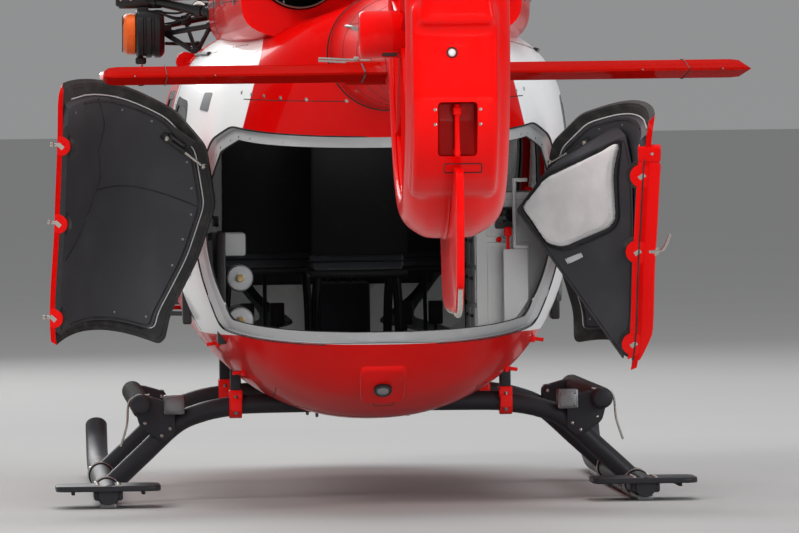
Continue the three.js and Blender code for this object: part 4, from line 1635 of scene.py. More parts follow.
@dataclass
class Fuselage(Assembly):
    """The cabin's shell with its frames, seals, screws and belly fittings."""

    wall: float = 30
    seam: float = 3.2
    nodes: tuple[str, ...] = (
        "fuselage_side_left", "fuselage_side_right", "fuselage_quarter_left",
        "fuselage_quarter_right", "fuselage_belly", "fuselage_roof", "fuselage_nose",
    )
    screw_rows: tuple[tuple[Point, Point, int], ...] = (
        ((2372, 1768), (2826, 1726), 6), ((1180, 1925), (2050, 1968), 18),
    )
    mouth_bend: float = 40
    sill_height: float = 800
    head_height: float = 1380
    head_station: float = 1900

    def build(self) -> None:
        """Makes every piece of the shell."""
        self._shell()
        self._mouth()
        self._seams()
        self._belly()
        self._flanks()
        self._roof()

    def _openings(self) -> list[Solid]:
        """The cutters of doors and windows, tagged as cut edges."""
        cuts = []
        for side in Side:
            cuts += [
                across(FRONT_DOOR, side, INNER_X, DOOR_ROUND, 2),
                across(SLIDING_DOOR, side, INNER_X, DOOR_ROUND, 2),
                across(QUARTER_WINDOW, side, INNER_X, WINDOW_ROUND, 2),
                across(WINDSCREEN, side, WINDSCREEN_STRIP, WINDOW_ROUND, 2),
                across(CHIN_WINDOW, side, CHIN_STRIP, WINDOW_ROUND, 2),
            ]
        return cuts

    def _shell(self) -> None:
        """Skin, lining and cut edges as one closed wall."""
        outer = CABIN.solid(CABIN_STATIONS, SKIN_SIDES)
        inner = CABIN.solid(INNER_STATIONS, LINING_SIDES, self.wall, tag=1)
        mouth = prism(REAR_MOUTH, Axis.X, -FAR, FAR, 3)
        shell = outer.cut(inner, mouth, *self._openings())
        finishes = [LIVERY, HEADLINER, FRIT, FRAME_GREY]
        self.add("fuselage_skin", shell, *finishes, replaces=self.nodes, crease=28)

    def mouth_line(self, inwards: float, inset: float, step: float = 30) -> np.ndarray:
        """The loop of the rear opening on the skin, moved into the opening.

        Args:
            inwards: How far it is moved.
            inset: Depth under the surface.
            step: The longest step between its points.

        Returns:
            The loop's points, in order.
        """
        outline = loop(REAR_MOUTH, inwards, self.mouth_bend, step)
        low, front, high = [], [], []
        # The outline leaves the hull behind and below: order what is on it from sill to top.
        for p in CABIN.wrap(outline, Side.LEFT, inset):
            if p[0] <= 1:
                continue
            if p[2] < self.sill_height and p[1] > REAR_MOUTH[0][0]:
                low.append(p)
            elif p[2] > self.head_height and p[1] > self.head_station:
                high.append(p)
            else:
                front.append(p)
        low.sort(key=lambda p: p[0])
        front.sort(key=lambda p: p[2])
        high.sort(key=lambda p: -p[0])
        half = [*low, *front, *high]
        return np.array([*half, *[(-x, s, z) for x, s, z in reversed(half)]])

    def _mouth(self) -> None:
        """The pale frame in the rear opening, with its seal and edge."""
        ring = band(CABIN, INNER_STATIONS, 26, 33).within(
            prism(shrunk(REAR_MOUTH, -24), Axis.X, -FAR, FAR)
        )
        frame_ring = ring.cut(prism(shrunk(REAR_MOUTH, 52), Axis.X, -FAR, FAR))
        self.add("mouth_frame", frame_ring, FRAME_GREY)
        seal = tube(self.mouth_line(50, 33), 4.5, 10, closed=True)
        lip = tube(self.mouth_line(-3, 2), 4.5, 8, closed=True)
        self.add("mouth_seal", seal + lip, SEAL)
        places = self.mouth_line(38, 26.6)[::5]
        screws = joined(
            dome(p, (p[0] / 1500, 0.8, -0.1), 5.5, 1.3, 8) for p in places if p[2] > 1400
        )
        self.add("mouth_screws", screws, STEEL)

    def _seams(self) -> None:
        """Panel lines and rows of screws on the skin."""
        lines = []
        for side in Side:
            for path, thick in (
                ([(s, 1012 + 0.012 * s) for s in np.arange(960, 1560, 30)], 1),
                ([(s, 1740 - (s - 2400) * 0.035) for s in np.arange(2400, 2840, 25)], 0.8),
                ([(1060, z) for z in np.arange(700, 2010, 30)], 0.7),
            ):
                lines.append(tube(CABIN.wrap(path, side, 1.2), self.seam * thick, 6))
        lines.append(tube(CABIN.ring(2842, 72, 1.2), self.seam * 1.3, 6, closed=True))
        self.add("skin_seams", lines, SEAL)
        screws = []
        for start, end, count in self.screw_rows:
            for side in Side:
                places = [
                    np.array(start) + (np.array(end) - start) * k / (count - 1)
                    for k in range(count)
                ]
                places = [p for p in places if CABIN.side(*p) > 60]
                screws.append(studs(CABIN, places, side, 9, 2.6))
        for side in Side:
            door_row = [(1085, z) for z in range(760, 1990, 120)]
            screws.append(studs(CABIN, door_row, side, 6.5, 2))
        self.add("skin_screws", screws, STEEL)

    def _belly(self) -> None:
        """The landing lamp in its raised panel, the hatch and the drain pipes."""
        def at(x: float, s: float) -> tuple[float, float, float]:
            """A place on the belly."""
            return (x, s, CABIN.height(s, x, False))

        corner = [(-100, 1640), (80, 1640), (92, 1890), (-112, 1890)]
        outline = dense(rounded(corner, 40), 14)
        rings = []
        for grow, depth in ((1.0, -3), (1.0, 9), (0.94, 15)):
            middle = outline.mean(0)
            grown = middle + (outline - middle) * grow
            rings.append(CABIN.belly(grown, -depth))
        self.add("belly_panel", loft(rings), RED)
        lens_at = at(-11, 1766)
        normal = np.array([0, 0.62, -0.79])
        turn = turned((0, 0, 1), normal)
        bezel = [(0, 0), (38, 0), (38, 24), (33, 30), (29, 26), (29, 20), (0, 20)]
        lens = [(0, 19), (28.5, 19), (27, 25), (18, 29), (0, 31)]
        lamp = lathe(bezel, Axis.Z, (0, 0, 0), 40) + lathe(lens, Axis.Z, (0, 0, 0), 40, tag=1)
        lamp = lamp.placed(Matrix.Translation(lens_at + normal * 2) @ turn)
        self.add("belly_lamp", lamp, SATIN_BLACK, CLEAR)
        hatch = dense(rounded(rect(-66, 1540, 20, 1636), 14), 12)
        sump = dense(rounded(rect(-330, 300, 330, 1180), 40), 30)
        nose = dense(rounded(rect(-250, -1500, 250, -900), 30), 30)
        lines = [tube(CABIN.belly(o, 1), 2.4, 6, closed=True) for o in (hatch, sump, nose)]
        for x in (-430, 430):
            side_line = [(x, s) for s in np.arange(-1600, 1500, 40)]
            lines.append(tube(CABIN.belly(side_line, 1), 2.4, 6))
        self.add("belly_seams", lines, SEAL)
        pipes = []
        for x, s in ((210, 250), (252, 250), (-240, 140), (120, -420)):
            x0, s0, z0 = at(x, s)
            pipes.append(
                bent([(x0, s0, z0 + 20), (x0, s0, z0 - 12), (x0, s0 + 16, z0 - 24)], 5, 7, 12)
            )
        plates = [
            block((x - 26, s - 40, at(x, s)[2] - 4), (x + 26, s + 40, at(x, s)[2] + 14), 2)
            for x, s in ((-150, 700), (160, 60), (-190, -480))
        ]
        self.add("belly_drains", pipes + plates, CAST)

    def _flanks(self) -> None:
        """Rails of the sliding doors, tie-down tabs, vents and the refuelling cap."""
        rails, tabs = [], []
        for side in Side:
            for z, reach in ((1004, 1560), (1938, 1500)):
                path = [(s, z) for s in np.arange(930, reach, 25)]
                rails.append(tube(CABIN.wrap(path, side, -2), 9, 8, flat=1.6))
            stop = CABIN.at(1000, 868, side)
            x = side.value
            rails.append(
                block(stop + (-x * 22, -62, -92), stop + (x * 17, 62, 92), 9, segments=3)
            )
            for s, z in ((1380, 702), (1330, 575)):
                y = CABIN.at(s, z, side)
                tabs.append(block(y + (-x * 8, -22, -16), y + (x * 10, 22, 16), 4))
                tabs.append(rod(y + (x * 4, 0, 0), y + (x * 48, 0, -6), 8, 14, 3))
        self.add("sliding_rails", rails, SATIN_BLACK)
        self.add("tie_down_tabs", tabs, RED)
        vent = rounded([(1860, 1700), (2010, 1690), (2010, 1770), (1880, 1772)], 12)
        plates = band(CABIN, np.arange(1800, 2080, 20), -2.5, 6).within(
            across(vent, Side.LEFT, INNER_X, 0, 0)
        )
        cap = lathe([(0, -8), (64, -8), (64, 5), (58, 8), (0, 8)], Axis.X, (0, 0, 0), 40)
        place = CABIN.at(1180, 920, Side.RIGHT)
        cap = cap.mirrored().shifted(*place)
        slot_bar = block(place + (-12, -30, -6), place + (-5, 30, 6), 2)
        self.add("flank_plates", plates + cap + slot_bar, CAST)

    def _roof(self) -> None:
        """The windscreen's wipers and the whip aerial."""
        wiper = []
        for side in Side:
            pivot = CABIN.at(-2360, 1185, side)
            tip = CABIN.at(-1850, 1560, side, -14)
            mid = CABIN.at(-2110, 1372, side, -22)
            arm = smoothed([pivot + (0, 0, -10), mid, tip], 8)
            wiper.append(tube(arm, 6, 8))
            blade = [
                (s, z) for s, z in zip(np.linspace(-2010, -1700, 12), np.linspace(1340, 1740, 12))
            ]
            wiper.append(tube(CABIN.wrap(blade, side, -8), 6.5, 8))
            wiper.append(rod(pivot + (0, 0, -30), pivot + (0, -16, 16), 15, 16, 3))
        self.add("windscreen_wipers", wiper, SATIN_BLACK)
        foot = (390, 2108, CABIN.height(2108, 390, True))
        whip = smoothed([foot, np.array(foot) + (14, 20, 150), np.array(foot) + (44, 66, 420)], 8)
        radii = np.linspace(4.5, 2, len(whip))
        aerial = tube(whip, radii, 8) + rod(foot, np.array(foot) + (2, 3, 34), 13, 16, 3)
        self.add("whip_aerial", aerial, FRAME_GREY)


@dataclass
class Glazing(Assembly):
    """The windows, each a curved pane with a black edge."""

    slot: str = "window_glass"
    edge: float = 34
    front: float = -2780
    rear: float = 1900
    step: float = 32

    def pane(self, outline: Sequence[Point], side: Side, start: float) -> Solid:
        """A pane tagged 0 and its edge tagged 1.

        Args:
            outline: The opening it fills.
            side: The side it is on.
            start: How far off the middle it starts.

        Returns:
            Both in one solid.
        """
        low, high = min(p[0] for p in outline) - 60, max(p[0] for p in outline) + 60
        stations = [s for s in np.arange(self.front, self.rear, self.step) if low < s < high]
        shape, hole = shrunk(outline, 0.5), shrunk(outline, self.edge)
        fill = across(shape, side, start + 0.5, WINDOW_ROUND, 0)
        glass = band(CABIN, stations, 5, 10).within(fill)
        rim = band(CABIN, stations, 1.5, 4).tagged(1).within(fill.tagged(1))
        return glass + rim.cut(across(hole, side, start + self.edge, WINDOW_ROUND, 1))

    def build(self) -> None:
        """Makes the windows; those of the front doors ride on their doors."""
        panes = (
            ("windscreen", WINDSCREEN, WINDSCREEN_STRIP, ""),
            ("chin_window", CHIN_WINDOW, CHIN_STRIP, ""),
            ("quarter_window", QUARTER_WINDOW, INNER_X, ""),
            ("sliding_door_glass", SLIDING_DOOR_WINDOW, INNER_X, ""),
            ("front_door_glass", FRONT_DOOR_WINDOW, INNER_X, "front_door_"),
        )
        for name, outline, start, door in panes:
            for side in Side:
                node, body = f"{name}_{side.word}", door and door + side.word
                pane = self.pane(outline, side, start)
                self.add(f"{node}_pane", pane, TINT, FRIT, body=body, replaces=[node], crease=25)


HINGE_LUG = rect(9.6, -13, 18, 13)
PIN_RADIUS, PIN_REACH = 9, 36


@dataclass
class SideDoors(Assembly):
    """The hinged front doors and the sliding cabin doors, which are shut."""

    slot: str = "door_red"
    wall: float = 30
    gap: float = 9
    slide_gap: float = 5
    # Height, and the distance off the middle of the door's arm and of the body's lug.
    hinges: tuple[Point, ...] = ((790, 700, 690), (1010, 782, 776))

    def leaf(
        self, outline: Sequence[Point], window: Sequence[Point], gap: float, side: Side,
    ) -> Solid:
        """A door's wall with its window opening; tag 0 outside, 1 inside, 2 at the edges.

        Args:
            outline: The door's corners.
            window: The window's corners.
            gap: The seam around the door.
            side: The side it is on.

        Returns:
            The wall.
        """
        reach = [min(p[0] for p in outline) - 80, max(p[0] for p in outline) + 80]
        stations = [s for s in CABIN_STATIONS if reach[0] < s < reach[1]]
        wall = CABIN.solid(stations, SKIN_SIDES).cut(
            CABIN.solid(stations, LINING_SIDES, self.wall, tag=1)
        )
        leaf = wall.within(across(shrunk(outline, gap), side, INNER_X, DOOR_ROUND, 2))
        return leaf.cut(across(window, side, INNER_X, WINDOW_ROUND, 2))

    def handle(self, station: float, z: float, side: Side, long: float = 170) -> Solid:
        """A recessed handle: a dish with a bar across.

        Args:
            station: The station.
            z: The height.
            side: The side it is on.
            long: The bar's length.

        Returns:
            The dish and the bar.
        """
        at = CABIN.at(station, z, side)
        x = side.value
        dish = block(
            at + (-x * 6, -long / 2 - 18, -34), at + (x * 1.5, long / 2 + 18, 34), 10, tag=0,
        )
        bar = block(at + (x, -long / 2, -11), at + (x * 13, long / 2, 9), 5, tag=1, segments=3)
        return dish + bar

    def build(self) -> None:
        """Makes both kinds of door on both sides."""
        for side in Side:
            self._front(side)
            self._sliding(side)

    def _front(self, side: Side) -> None:
        """A front door with handle, hinges, seal and armrest.

        Args:
            side: The side it is on.
        """
        name = f"front_door_{side.word}"
        leaf = self.leaf(FRONT_DOOR, FRONT_DOOR_WINDOW, self.gap, side)
        self.add(f"{name}_leaf", leaf, RED, TRIM, RED, body=name, replaces=[name], crease=28)
        self.add(f"{name}_handle", self.handle(-745, 1035, side), SATIN_BLACK, CAST, body=name)
        seal = loop(FRONT_DOOR, self.gap + 9, DOOR_ROUND, 24)
        self.add(
            f"{name}_seal", tube(CABIN.wrap(seal, side, 31), 5, 8, closed=True), SEAL, body=name,
        )
        hinges, lugs = [], []
        for z, arm_x, root_x in self.hinges:
            pin = np.array([side.value * 842, -1716, z])
            arm = np.array([side.value * arm_x, -1650, z])
            reach = np.array([0, 0, PIN_REACH])
            hinges.append(rod(pin - reach, pin + reach, PIN_RADIUS, 16, 2))
            for dz in (-26, 26):
                hinges.append(tube([pin + (0, 0, dz), arm + (0, 0, dz)], [11, 12], 12))
            root = np.array([side.value * root_x, -1762, z])
            start = pin + (root - pin) * 0.16
            lugs += [lathe(HINGE_LUG, Axis.Z, pin, 24), tube([start, root], [9, 11], 12)]
        self.add(f"{name}_hinges", hinges, DARK_CAST, body=name)
        rest = smoothed(
            [(s, 960 + 26 * math.sin((s + 1500) / 180)) for s in range(-1500, -760, 120)], 4,
        )
        self.add(
            f"{name}_armrest", tube(CABIN.wrap(rest, side, 46), 17, 12, flat=0.7), TRIM, body=name,
        )
        self.add(f"{name}_lugs", lugs, RED, slot="red_paint")

    def _sliding(self, side: Side) -> None:
        """A sliding door with its handle, and the seals of both doors' frames.

        Args:
            side: The side it is on.
        """
        name = f"sliding_door_{side.word}"
        leaf = self.leaf(SLIDING_DOOR, SLIDING_DOOR_WINDOW, self.slide_gap, side)
        self.add(f"{name}_leaf", leaf, RED, TRIM, RED, replaces=[name], crease=28)
        self.add(f"{name}_handle", self.handle(-360, 1035, side, 210), SATIN_BLACK, CAST)
        outline = dense(rounded(SLIDING_DOOR, DOOR_ROUND), 30)
        seal = tube(CABIN.wrap(outline, side, 12), 5, 8, closed=True)
        front = dense(rounded(FRONT_DOOR, DOOR_ROUND), 30)
        seal = seal + tube(CABIN.wrap(front, side, 24), 5, 8, closed=True)
        self.add(f"{name}_seal", seal, SEAL)


@dataclass(frozen=True)
class BoxFace:
    """The flat face of the box in the right rear door, with the door closed."""

    corners: Sequence[Sequence[float]] = tuple(DOOR_BOX_FACE)

    def plane(self) -> Matrix:
        """A frame on the face: its origin at the first corner, its third axis into the cabin."""
        first, second, third = (
            Vector((-x, s, z)) for x, s, z in (self.corners[i] for i in (0, 2, 6))
        )
        along = (second - first).normalized()
        normal = along.cross(third - first).normalized()
        normal = normal if normal.x > 0 else -normal
        turn = Matrix((along, normal.cross(along), normal)).transposed()
        return Matrix.Translation(first) @ turn.to_4x4()

    def flat(self, corners: Sequence[Sequence[float]]) -> list[Point]:
        """Corners as places on the face, running anticlockwise.

        Args:
            corners: Distance to the right, station and height of each.

        Returns:
            Two numbers for each corner.
        """
        back = self.plane().inverted()
        places = [tuple((back @ Vector((-x, s, z)))[:2]) for x, s, z in corners]
        turns = sum(
            a[0] * b[1] - b[0] * a[1] for a, b in zip(places, places[1:] + places[:1])
        )
        return places if turns > 0 else places[::-1]


@dataclass
class RearDoors(Assembly):
    """The two clamshell doors with their linings, latches and stays, and the right one's box."""

    slot: str = "door_red"
    rim: float = 22
    core: float = 45
    rim_width: float = 65
    seam: float = 17
    centre_seam: float = 10
    hinge: tuple[float, float, float] = (808, 1895, 1140)
    lean: tuple[float, float] = (-0.195, 0.524)
    hinge_reach: tuple[float, float] = (-90, 235)
    open_angle: Mapping[Side, float] = field(
        default_factory=lambda: {Side.LEFT: 109.2, Side.RIGHT: 82.4}
    )
    latches: tuple[float, ...] = (2542, 2335, 2086)
    flange: float = 52
    keel: float = 46
    edge_end: float = 2604
    bend: float = 36
    step: float = 26

    def axis(self, side: Side) -> Vector:
        """The direction of the hinge's leaning axis."""
        return Vector((side.value * self.lean[0], self.lean[1], 1)).normalized()

    def swing(self, side: Side) -> Matrix:
        """The turn from closed to standing open, in millimetres at stations.

        Args:
            side: The side it is on.

        Returns:
            The turn.
        """
        x, s, z = self.hinge
        at = Matrix.Translation((side.value * x, s, z))
        turn = Matrix.Rotation(
            math.radians(-side.value * self.open_angle[side]), 4, self.axis(side),
        )
        return at @ turn @ at.inverted()

    def layer(
        self, outer: float, inner: float, edge: float, side: Side, tags: tuple[int, int, int],
    ) -> Solid:
        """A layer of the door.

        Args:
            outer: Depth of its outer face.
            inner: Depth of its inner face.
            edge: How far it stays inside the opening.
            side: The side it is on.
            tags: The tags of the outer face, the inner face and the cut edges.

        Returns:
            The layer in the closed frame.
        """
        stations = [s for s in CABIN_STATIONS if s > REAR_START]
        outside = CABIN.solid(stations, SKIN_SIDES, outer, tag=tags[0])
        ends = [s for s in INNER_STATIONS if s > REAR_START]
        wall = outside.cut(CABIN.solid(ends, LINING_SIDES, inner, tag=tags[1]))
        outline = rounded(shrunk(REAR_MOUTH, edge), self.bend)
        start = side.value * self.centre_seam / 2
        cutter = prism(outline, Axis.X, start, side.value * FAR, tags[2])
        return wall.within(cutter).cut(self.corner(side, edge, tags[0]))

    def corner(self, side: Side, edge: float = 17, tag: int = 0) -> Solid:
        """A cutter that rounds the leaf's upper corner on its free edge.

        Args:
            side: The side it is on.
            edge: How far the layer stays inside the opening.
            tag: The tag of its faces.

        Returns:
            The cutter.
        """
        x, back = side.value, self.seam - edge
        bend = [(-20, 2610), (4, 2614), (11, 2652), (34, 2682), (80, 2700), (150, 2708)]
        plan = [(x * px, s + back) for px, s in smoothed(bend, 6)[:, :2]]
        plan += [(x * 150, 2900), (x * -20, 2900)]
        return prism(plan if x < 0 else plan[::-1], Axis.Z, 1000, 2200, tag)

    def hang(
        self,
        name: str,
        side: Side,
        shape: Shape,
        *finishes: Finish,
        slot: str = "",
        replaces: Sequence[str] = (),
    ) -> bpy.types.Object:
        """Swings solids open and makes them a piece of their door.

        Args:
            name: The piece's name after the door's.
            side: The door.
            shape: The solid or solids, with the door closed.
            finishes: The finishes, by tag.
            slot: The material slot, if it isn't the door's.
            replaces: CAD nodes it stands for.

        Returns:
            The object.
        """
        node = f"rear_door_{side.word}"
        placed = joined(shape).placed(self.swing(side))
        return self.add(
            f"{node}_{name}", placed, *finishes, body=node, slot=slot, replaces=replaces, crease=30
        )

    def rim_line(
        self, side: Side, edge: float, depth: float, gap: float, radius: float, sides: int = 8
    ) -> Solid:
        """A bar round the door, open at its free edge.

        Args:
            side: The door.
            edge: How far it runs inside the opening.
            depth: How deep it lies under the skin.
            gap: How far it stays off the middle.
            radius: The bar's radius.
            sides: Corners round the bar.

        Returns:
            The bar in the closed frame.
        """
        outline = self.outline(edge, self.step)
        path = np.array([p for p in CABIN.wrap(outline, side, depth) if abs(p[0]) > gap])
        gaps = np.linalg.norm(np.diff(np.vstack([path, path[:1]]), axis=0), axis=1)
        return tube(np.roll(path, -int(np.argmax(gaps)) - 1, axis=0), radius, sides)

    def outline(self, edge: float, step: float) -> np.ndarray:
        """The opening's loop at a distance inside it, as closely spaced points."""
        return loop(REAR_MOUTH, edge, self.bend, step)

    @staticmethod
    def free_edge(s: float, x: float) -> tuple[np.ndarray, np.ndarray]:
        """A point on the free edge at a distance off the middle, and the direction out of it.

        Args:
            s: The station.
            x: The distance off the middle.

        Returns:
            The point and the direction.
        """
        slope = CABIN.height(s + 10, x, False) - CABIN.height(s - 10, x, False)
        out = np.array([0, slope, -20]) / math.hypot(slope, 20)
        return np.array([0.0, s, CABIN.height(s, x, False)]), out

    def inner(self, s: float, z: float, side: Side, depth: float) -> np.ndarray:
        """A point at a depth under the door's skin."""
        return CABIN.at(s, z, side, depth)

    def build(self) -> None:
        """Makes both doors."""
        for side in Side:
            self._leaf(side)
            self._furniture(side)
            self._hinges(side)
            self._stay(side)
        self._right_only()
        self._box()
        self._left_only()

    def _leaf(self, side: Side) -> None:
        """The skin, the rubber-edged rim and the lining.

        Args:
            side: The side it is on.
        """
        field_of_end = rect(REAR_START, 300, 3200, 2400)
        reach = self.centre_seam / 2 + 0.3
        end = prism(field_of_end, Axis.X, -reach, reach, 0)
        skin = self.layer(0, self.rim, self.seam, side, (0, 1, 1)).cut(end)
        # The outer skin takes the darker door red, which is painted shade.
        self.hang("skin", side, skin, SHADED_DOOR_RED, SEAL, replaces=[f"rear_door_{side.word}"])
        lining = self.layer(
            self.rim + 0.4, self.core, self.rim_width, side, (0, 0, 0),
        ).cut(end.tagged(1))
        self.hang("lining", side, lining, TRIM, RED if side is Side.RIGHT else SATIN_BLACK)
        seal = self.rim_line(side, self.seam + 13, self.rim - 1.4, 12, 3.2, 10)
        seal += self.rim_line(side, self.rim_width + 9, self.core + 1, 20, 4)
        self.hang("seal", side, seal.cut(self.corner(side, 24)), SEAL)
        line = self.rim_line(side, self.rim_width - 4.5, self.rim + 2.6, 22, 3)
        self.hang("rim_line", side, line.cut(self.corner(side, 50)), FRAME_GREY)

    def _furniture(self, side: Side) -> None:
        """Latches on the free edge and screws of the lining.

        Args:
            side: The side it is on.
        """
        metal, cups, rings = [], [], []
        x = side.value
        deep, wide = (14, 42) if side is Side.LEFT else (26, 50)
        for s in self.latches:
            at, out = self.free_edge(s, 10)
            at = at - out * deep
            start, end = sorted((x * 4, x * 15))
            cups.append(lathe(rounded(rect(0, start, wide, end), 3, 3), Axis.X, at, 32))
            # Behind each cup, a black ring: painted shadow round the latch.
            low, high = sorted((x * 16, x * 22))
            rings.append(lathe(rect(0, low, wide + 16, high), Axis.X, at, 36))
            foot, reach = at + (x * 14, 0, 0), (30, 46) if side is Side.LEFT else (-34, -6)
            for radius, near, far in ((6.5, -30, reach[0]), (9, reach[0] + 2, reach[1])):
                ends = (foot + out * near, foot + out * far)
                metal.append(rod(*ends, radius, 16, 2))
            near, far = sorted((x * 3.4, x * 18))
            metal.append(
                block((near, foot[1] - 17, foot[2] - 11), (far, foot[1] + 17, foot[2] + 11), 3)
            )
        under = CABIN.solid([s for s in CABIN_STATIONS if s > REAR_START], SKIN_SIDES, 1)
        self.hang("latch_rings", side, joined(rings).within(under), SEAL)
        self.hang("latch_cups", side, joined(cups).within(under), RED)
        self.hang("latches", side, metal, STEEL)
        points = []
        for p in self.outline(self.rim_width + 30, 10):
            near = [math.hypot(*(np.array(p) - q)) for q in points]
            if self.inner(*p, side, self.core)[0] * x > 60 and all(d > 112 for d in near):
                points.append(np.array(p))
        screws = joined(
            dome(self.inner(*p, side, self.core + 0.5), -CABIN.normal(*p, side), 5.5, 2, 10)
            for p in points
        )
        self.hang("lining_screws", side, screws, CAST)

    def _hinges(self, side: Side) -> None:
        """Pins and arms on the door, lugs on the body.

        Args:
            side: The side it is on.
        """
        x, s, z = self.hinge
        base, along = np.array([side.value * x, s, z]), np.array(self.axis(side))
        pins, lugs = [], []
        turn = turned((0, 0, 1), self.axis(side))
        for reach in self.hinge_reach:
            pin = base + along * reach
            half = along * PIN_REACH
            pins.append(rod(pin - half, pin + half, PIN_RADIUS, 16, 2))
            for back, up, depth, parts in ((20, 0, 18, pins), (-165, 86, 4, lugs)):
                place = (pin[1] + back, pin[2] + up)
                root = CABIN.at(*place, side, depth)
                root = root - along * (root - pin).dot(along)
                if parts is pins:
                    for way in (-1, 1):
                        shift = along * way * 25.5
                        parts.append(tube([pin + shift, root + shift], [10, 11], 12))
                else:
                    start = pin + (root - pin) / np.linalg.norm(root - pin) * 12
                    parts.append(tube([start, root], [10, 11], 12))
            lug = lathe(HINGE_LUG, Axis.Z, (0, 0, 0), 24)
            lugs.append(lug.placed(Matrix.Translation(pin) @ turn))
        self.hang("pins", side, pins, DARK_CAST)
        self.add(f"rear_hinge_lugs_{side.word}", lugs, RED, slot="red_paint")

    def _stay(self, side: Side) -> None:
        """The gas strut that holds the door, on its door.

        Args:
            side: The side it is on.
        """
        x = side.value
        foot = self.inner(2250, 1500, side, self.core + 14)
        head = self.inner(2060, 1495, side, self.core + 20)
        middle = foot + (head - foot) * 0.5
        strut = rod(foot, middle, 10, 18, 2) + rod(middle, head, 5.5, 14, 1, tag=1)
        ball = dome(foot, (-x, 0.2, 0), 13, 12, 16, 1) + dome(head, (-x, 0.2, 0), 12, 12, 16, 1)
        bracket = block(foot + (-x * 2, -24, -16), foot + (x * 16, 24, 16), 3)
        self.hang("gas_stay", side, strut + ball + bracket, SATIN_BLACK, STEEL)

    def _right_only(self) -> None:
        """The right door's free edge and lever."""
        right = Side.RIGHT
        rings, up = [], np.array([0, -0.35, 0.94]) * self.flange
        for s in np.arange(2046, 2630, 20):
            near = np.array([-7, s, CABIN.height(s, 9, False, 2)])
            far, tall = near - (7, 0, 0), up * min(1, 0.3 + (2626 - s) / 90)
            rings.append(np.array([near, far, far + tall, near + tall]))
        self.hang("edge_flange", right, loft(rings).eased(1.5), RED)
        rings, edge = [], []
        for s in np.arange(2040, self.edge_end, 19):
            p, out = self.free_edge(s, 9)
            p[0] = -7
            thick = self.keel * min(1, (s - 2030) / 90, 0.5 + (self.edge_end - s) / 60)
            rings.append(np.array([
                p - out * 4, p + out * thick, p + (-16, 0, 0) + out * (thick + 3),
                p + (-48, 0, 0) + out * thick * 0.62, p + (-84, 0, 0) - out * 4,
            ]))
            edge.append(p + (2.4, 0, 0) - out * 21)
        self.hang("edge_keel", right, loft(rings).eased(4, 3, 30), RED)
        self.hang("edge_rubber", right, tube(edge, 3.4, 8), SEAL)
        along, out = np.array([0, 0.567, 0.824]), np.array([0, 0.824, -0.567])
        lever_at = np.array([-20.0, 2338, CABIN.height(2338, 20, False)])
        arm = smoothed([
            lever_at + out * 34, lever_at + out * 70 + along * 2, lever_at + out * 88 + along * 22,
            lever_at + out * 108 + along * 72,
        ], 7)
        lever = tube(arm, np.linspace(7.5, 6.5, len(arm)), 14) + rod(
            lever_at + out * 20, lever_at + out * 60, 15, 20, 3
        )
        lever = lever + block((-30, 2322, 1098), (-8, 2354, 1150), 4).shifted(0, 26, -26)
        self.hang("outer_lever", right, lever, STEEL)
        top = np.array([0, self.edge_end, CABIN.height(self.edge_end, 30, False)])
        turn = Matrix(((1, 0, 0), out, along)).transposed().to_4x4()
        bracket = block((-46, -50, -34), (-2, 44, 34), 9, segments=3)
        bracket = bracket + rod((-40, 10, 4), (0, 10, 4), 7, 16, 2, tag=1)
        bracket = bracket.placed(Matrix.Translation(top) @ turn)
        self.hang("edge_bracket", right, bracket, RED, STEEL)

    def _left_only(self) -> None:
        """The left door's pull handle, painted shadow along its lining's crease, and a seam."""
        left = Side.LEFT
        dish_at = self.inner(2214, 1520, left, self.core)
        normal = -CABIN.normal(2214, 1520, left)
        turn = turned((1, 0, 0), normal)
        dish = block((-4, -66, -38), (3, 66, 38), 9).placed(Matrix.Translation(dish_at) @ turn)
        bar = bent(
            [(2, -44, 0), (18, -30, 0), (20, 0, 0), (18, 30, 0), (2, 44, 0)], 6, 6, 10, tag=1,
        )
        bar = bar.placed(Matrix.Translation(dish_at) @ turn)
        self.hang("pull_handle", left, dish + bar, SATIN_BLACK, DARK_CAST)
        # A dark line along the lining's crease: painted shadow in the fold.
        crease = smoothed(
            [(2560, 1531), (2470, 1440), (2416, 1352), (2340, 1262), (2312, 1215), (2200, 1010)], 6,
        )
        line = [self.inner(s, z, left, self.core + 0.6) for s, z in crease]
        seam_line = [
            self.inner(s, z, left, self.core + 0.6)
            for s, z in smoothed([(1960, 1330), (2230, 1250), (2312, 1215)], 6)
        ]
        self.hang("lining_crease", left, tube(line, 3, 8) + tube(seam_line, 2.5, 8), SEAL)

    def _box(self) -> None:
        """The flat-faced box on the right door's lining, with its blank plate."""
        side, face = Side.RIGHT, BoxFace()
        plane = face.plane()
        root = [
            (side.value * (CABIN.side(s, z) - self.core + 3), s, z) for s, z in DOOR_BOX_ROOT
        ]
        front = [tuple(plane @ Vector((*place, 0))) for place in face.flat(DOOR_BOX_FACE)]
        self.hang("box", side, convex([*root, *front]).eased(9, 4, 20), TRIM)
        hem = loop(face.flat(DOOR_BOX_FACE), 13, 30, 22)
        line = tube([(u, v, 0) for u, v in hem], 2.2, 8, closed=True).placed(plane)
        self.hang("box_seam", side, line, SEAL)
        spots = np.array(face.flat(DOOR_PLATE))
        plate = prism(rounded(spots, 3, 3), Axis.Z, -1, 3.5).eased(1.2, 2, 40).placed(plane)
        screws = joined(
            dome((*(spots.mean(0) + (p - spots.mean(0)) * 0.82), 3.5), (0, 0, 1), 3, 1.4, 10)
            for p in spots
        )
        self.hang("blank_plate", side, plate + screws.tagged(1).placed(plane), FRAME_GREY, CAST)


FLOOR_TOP = 650


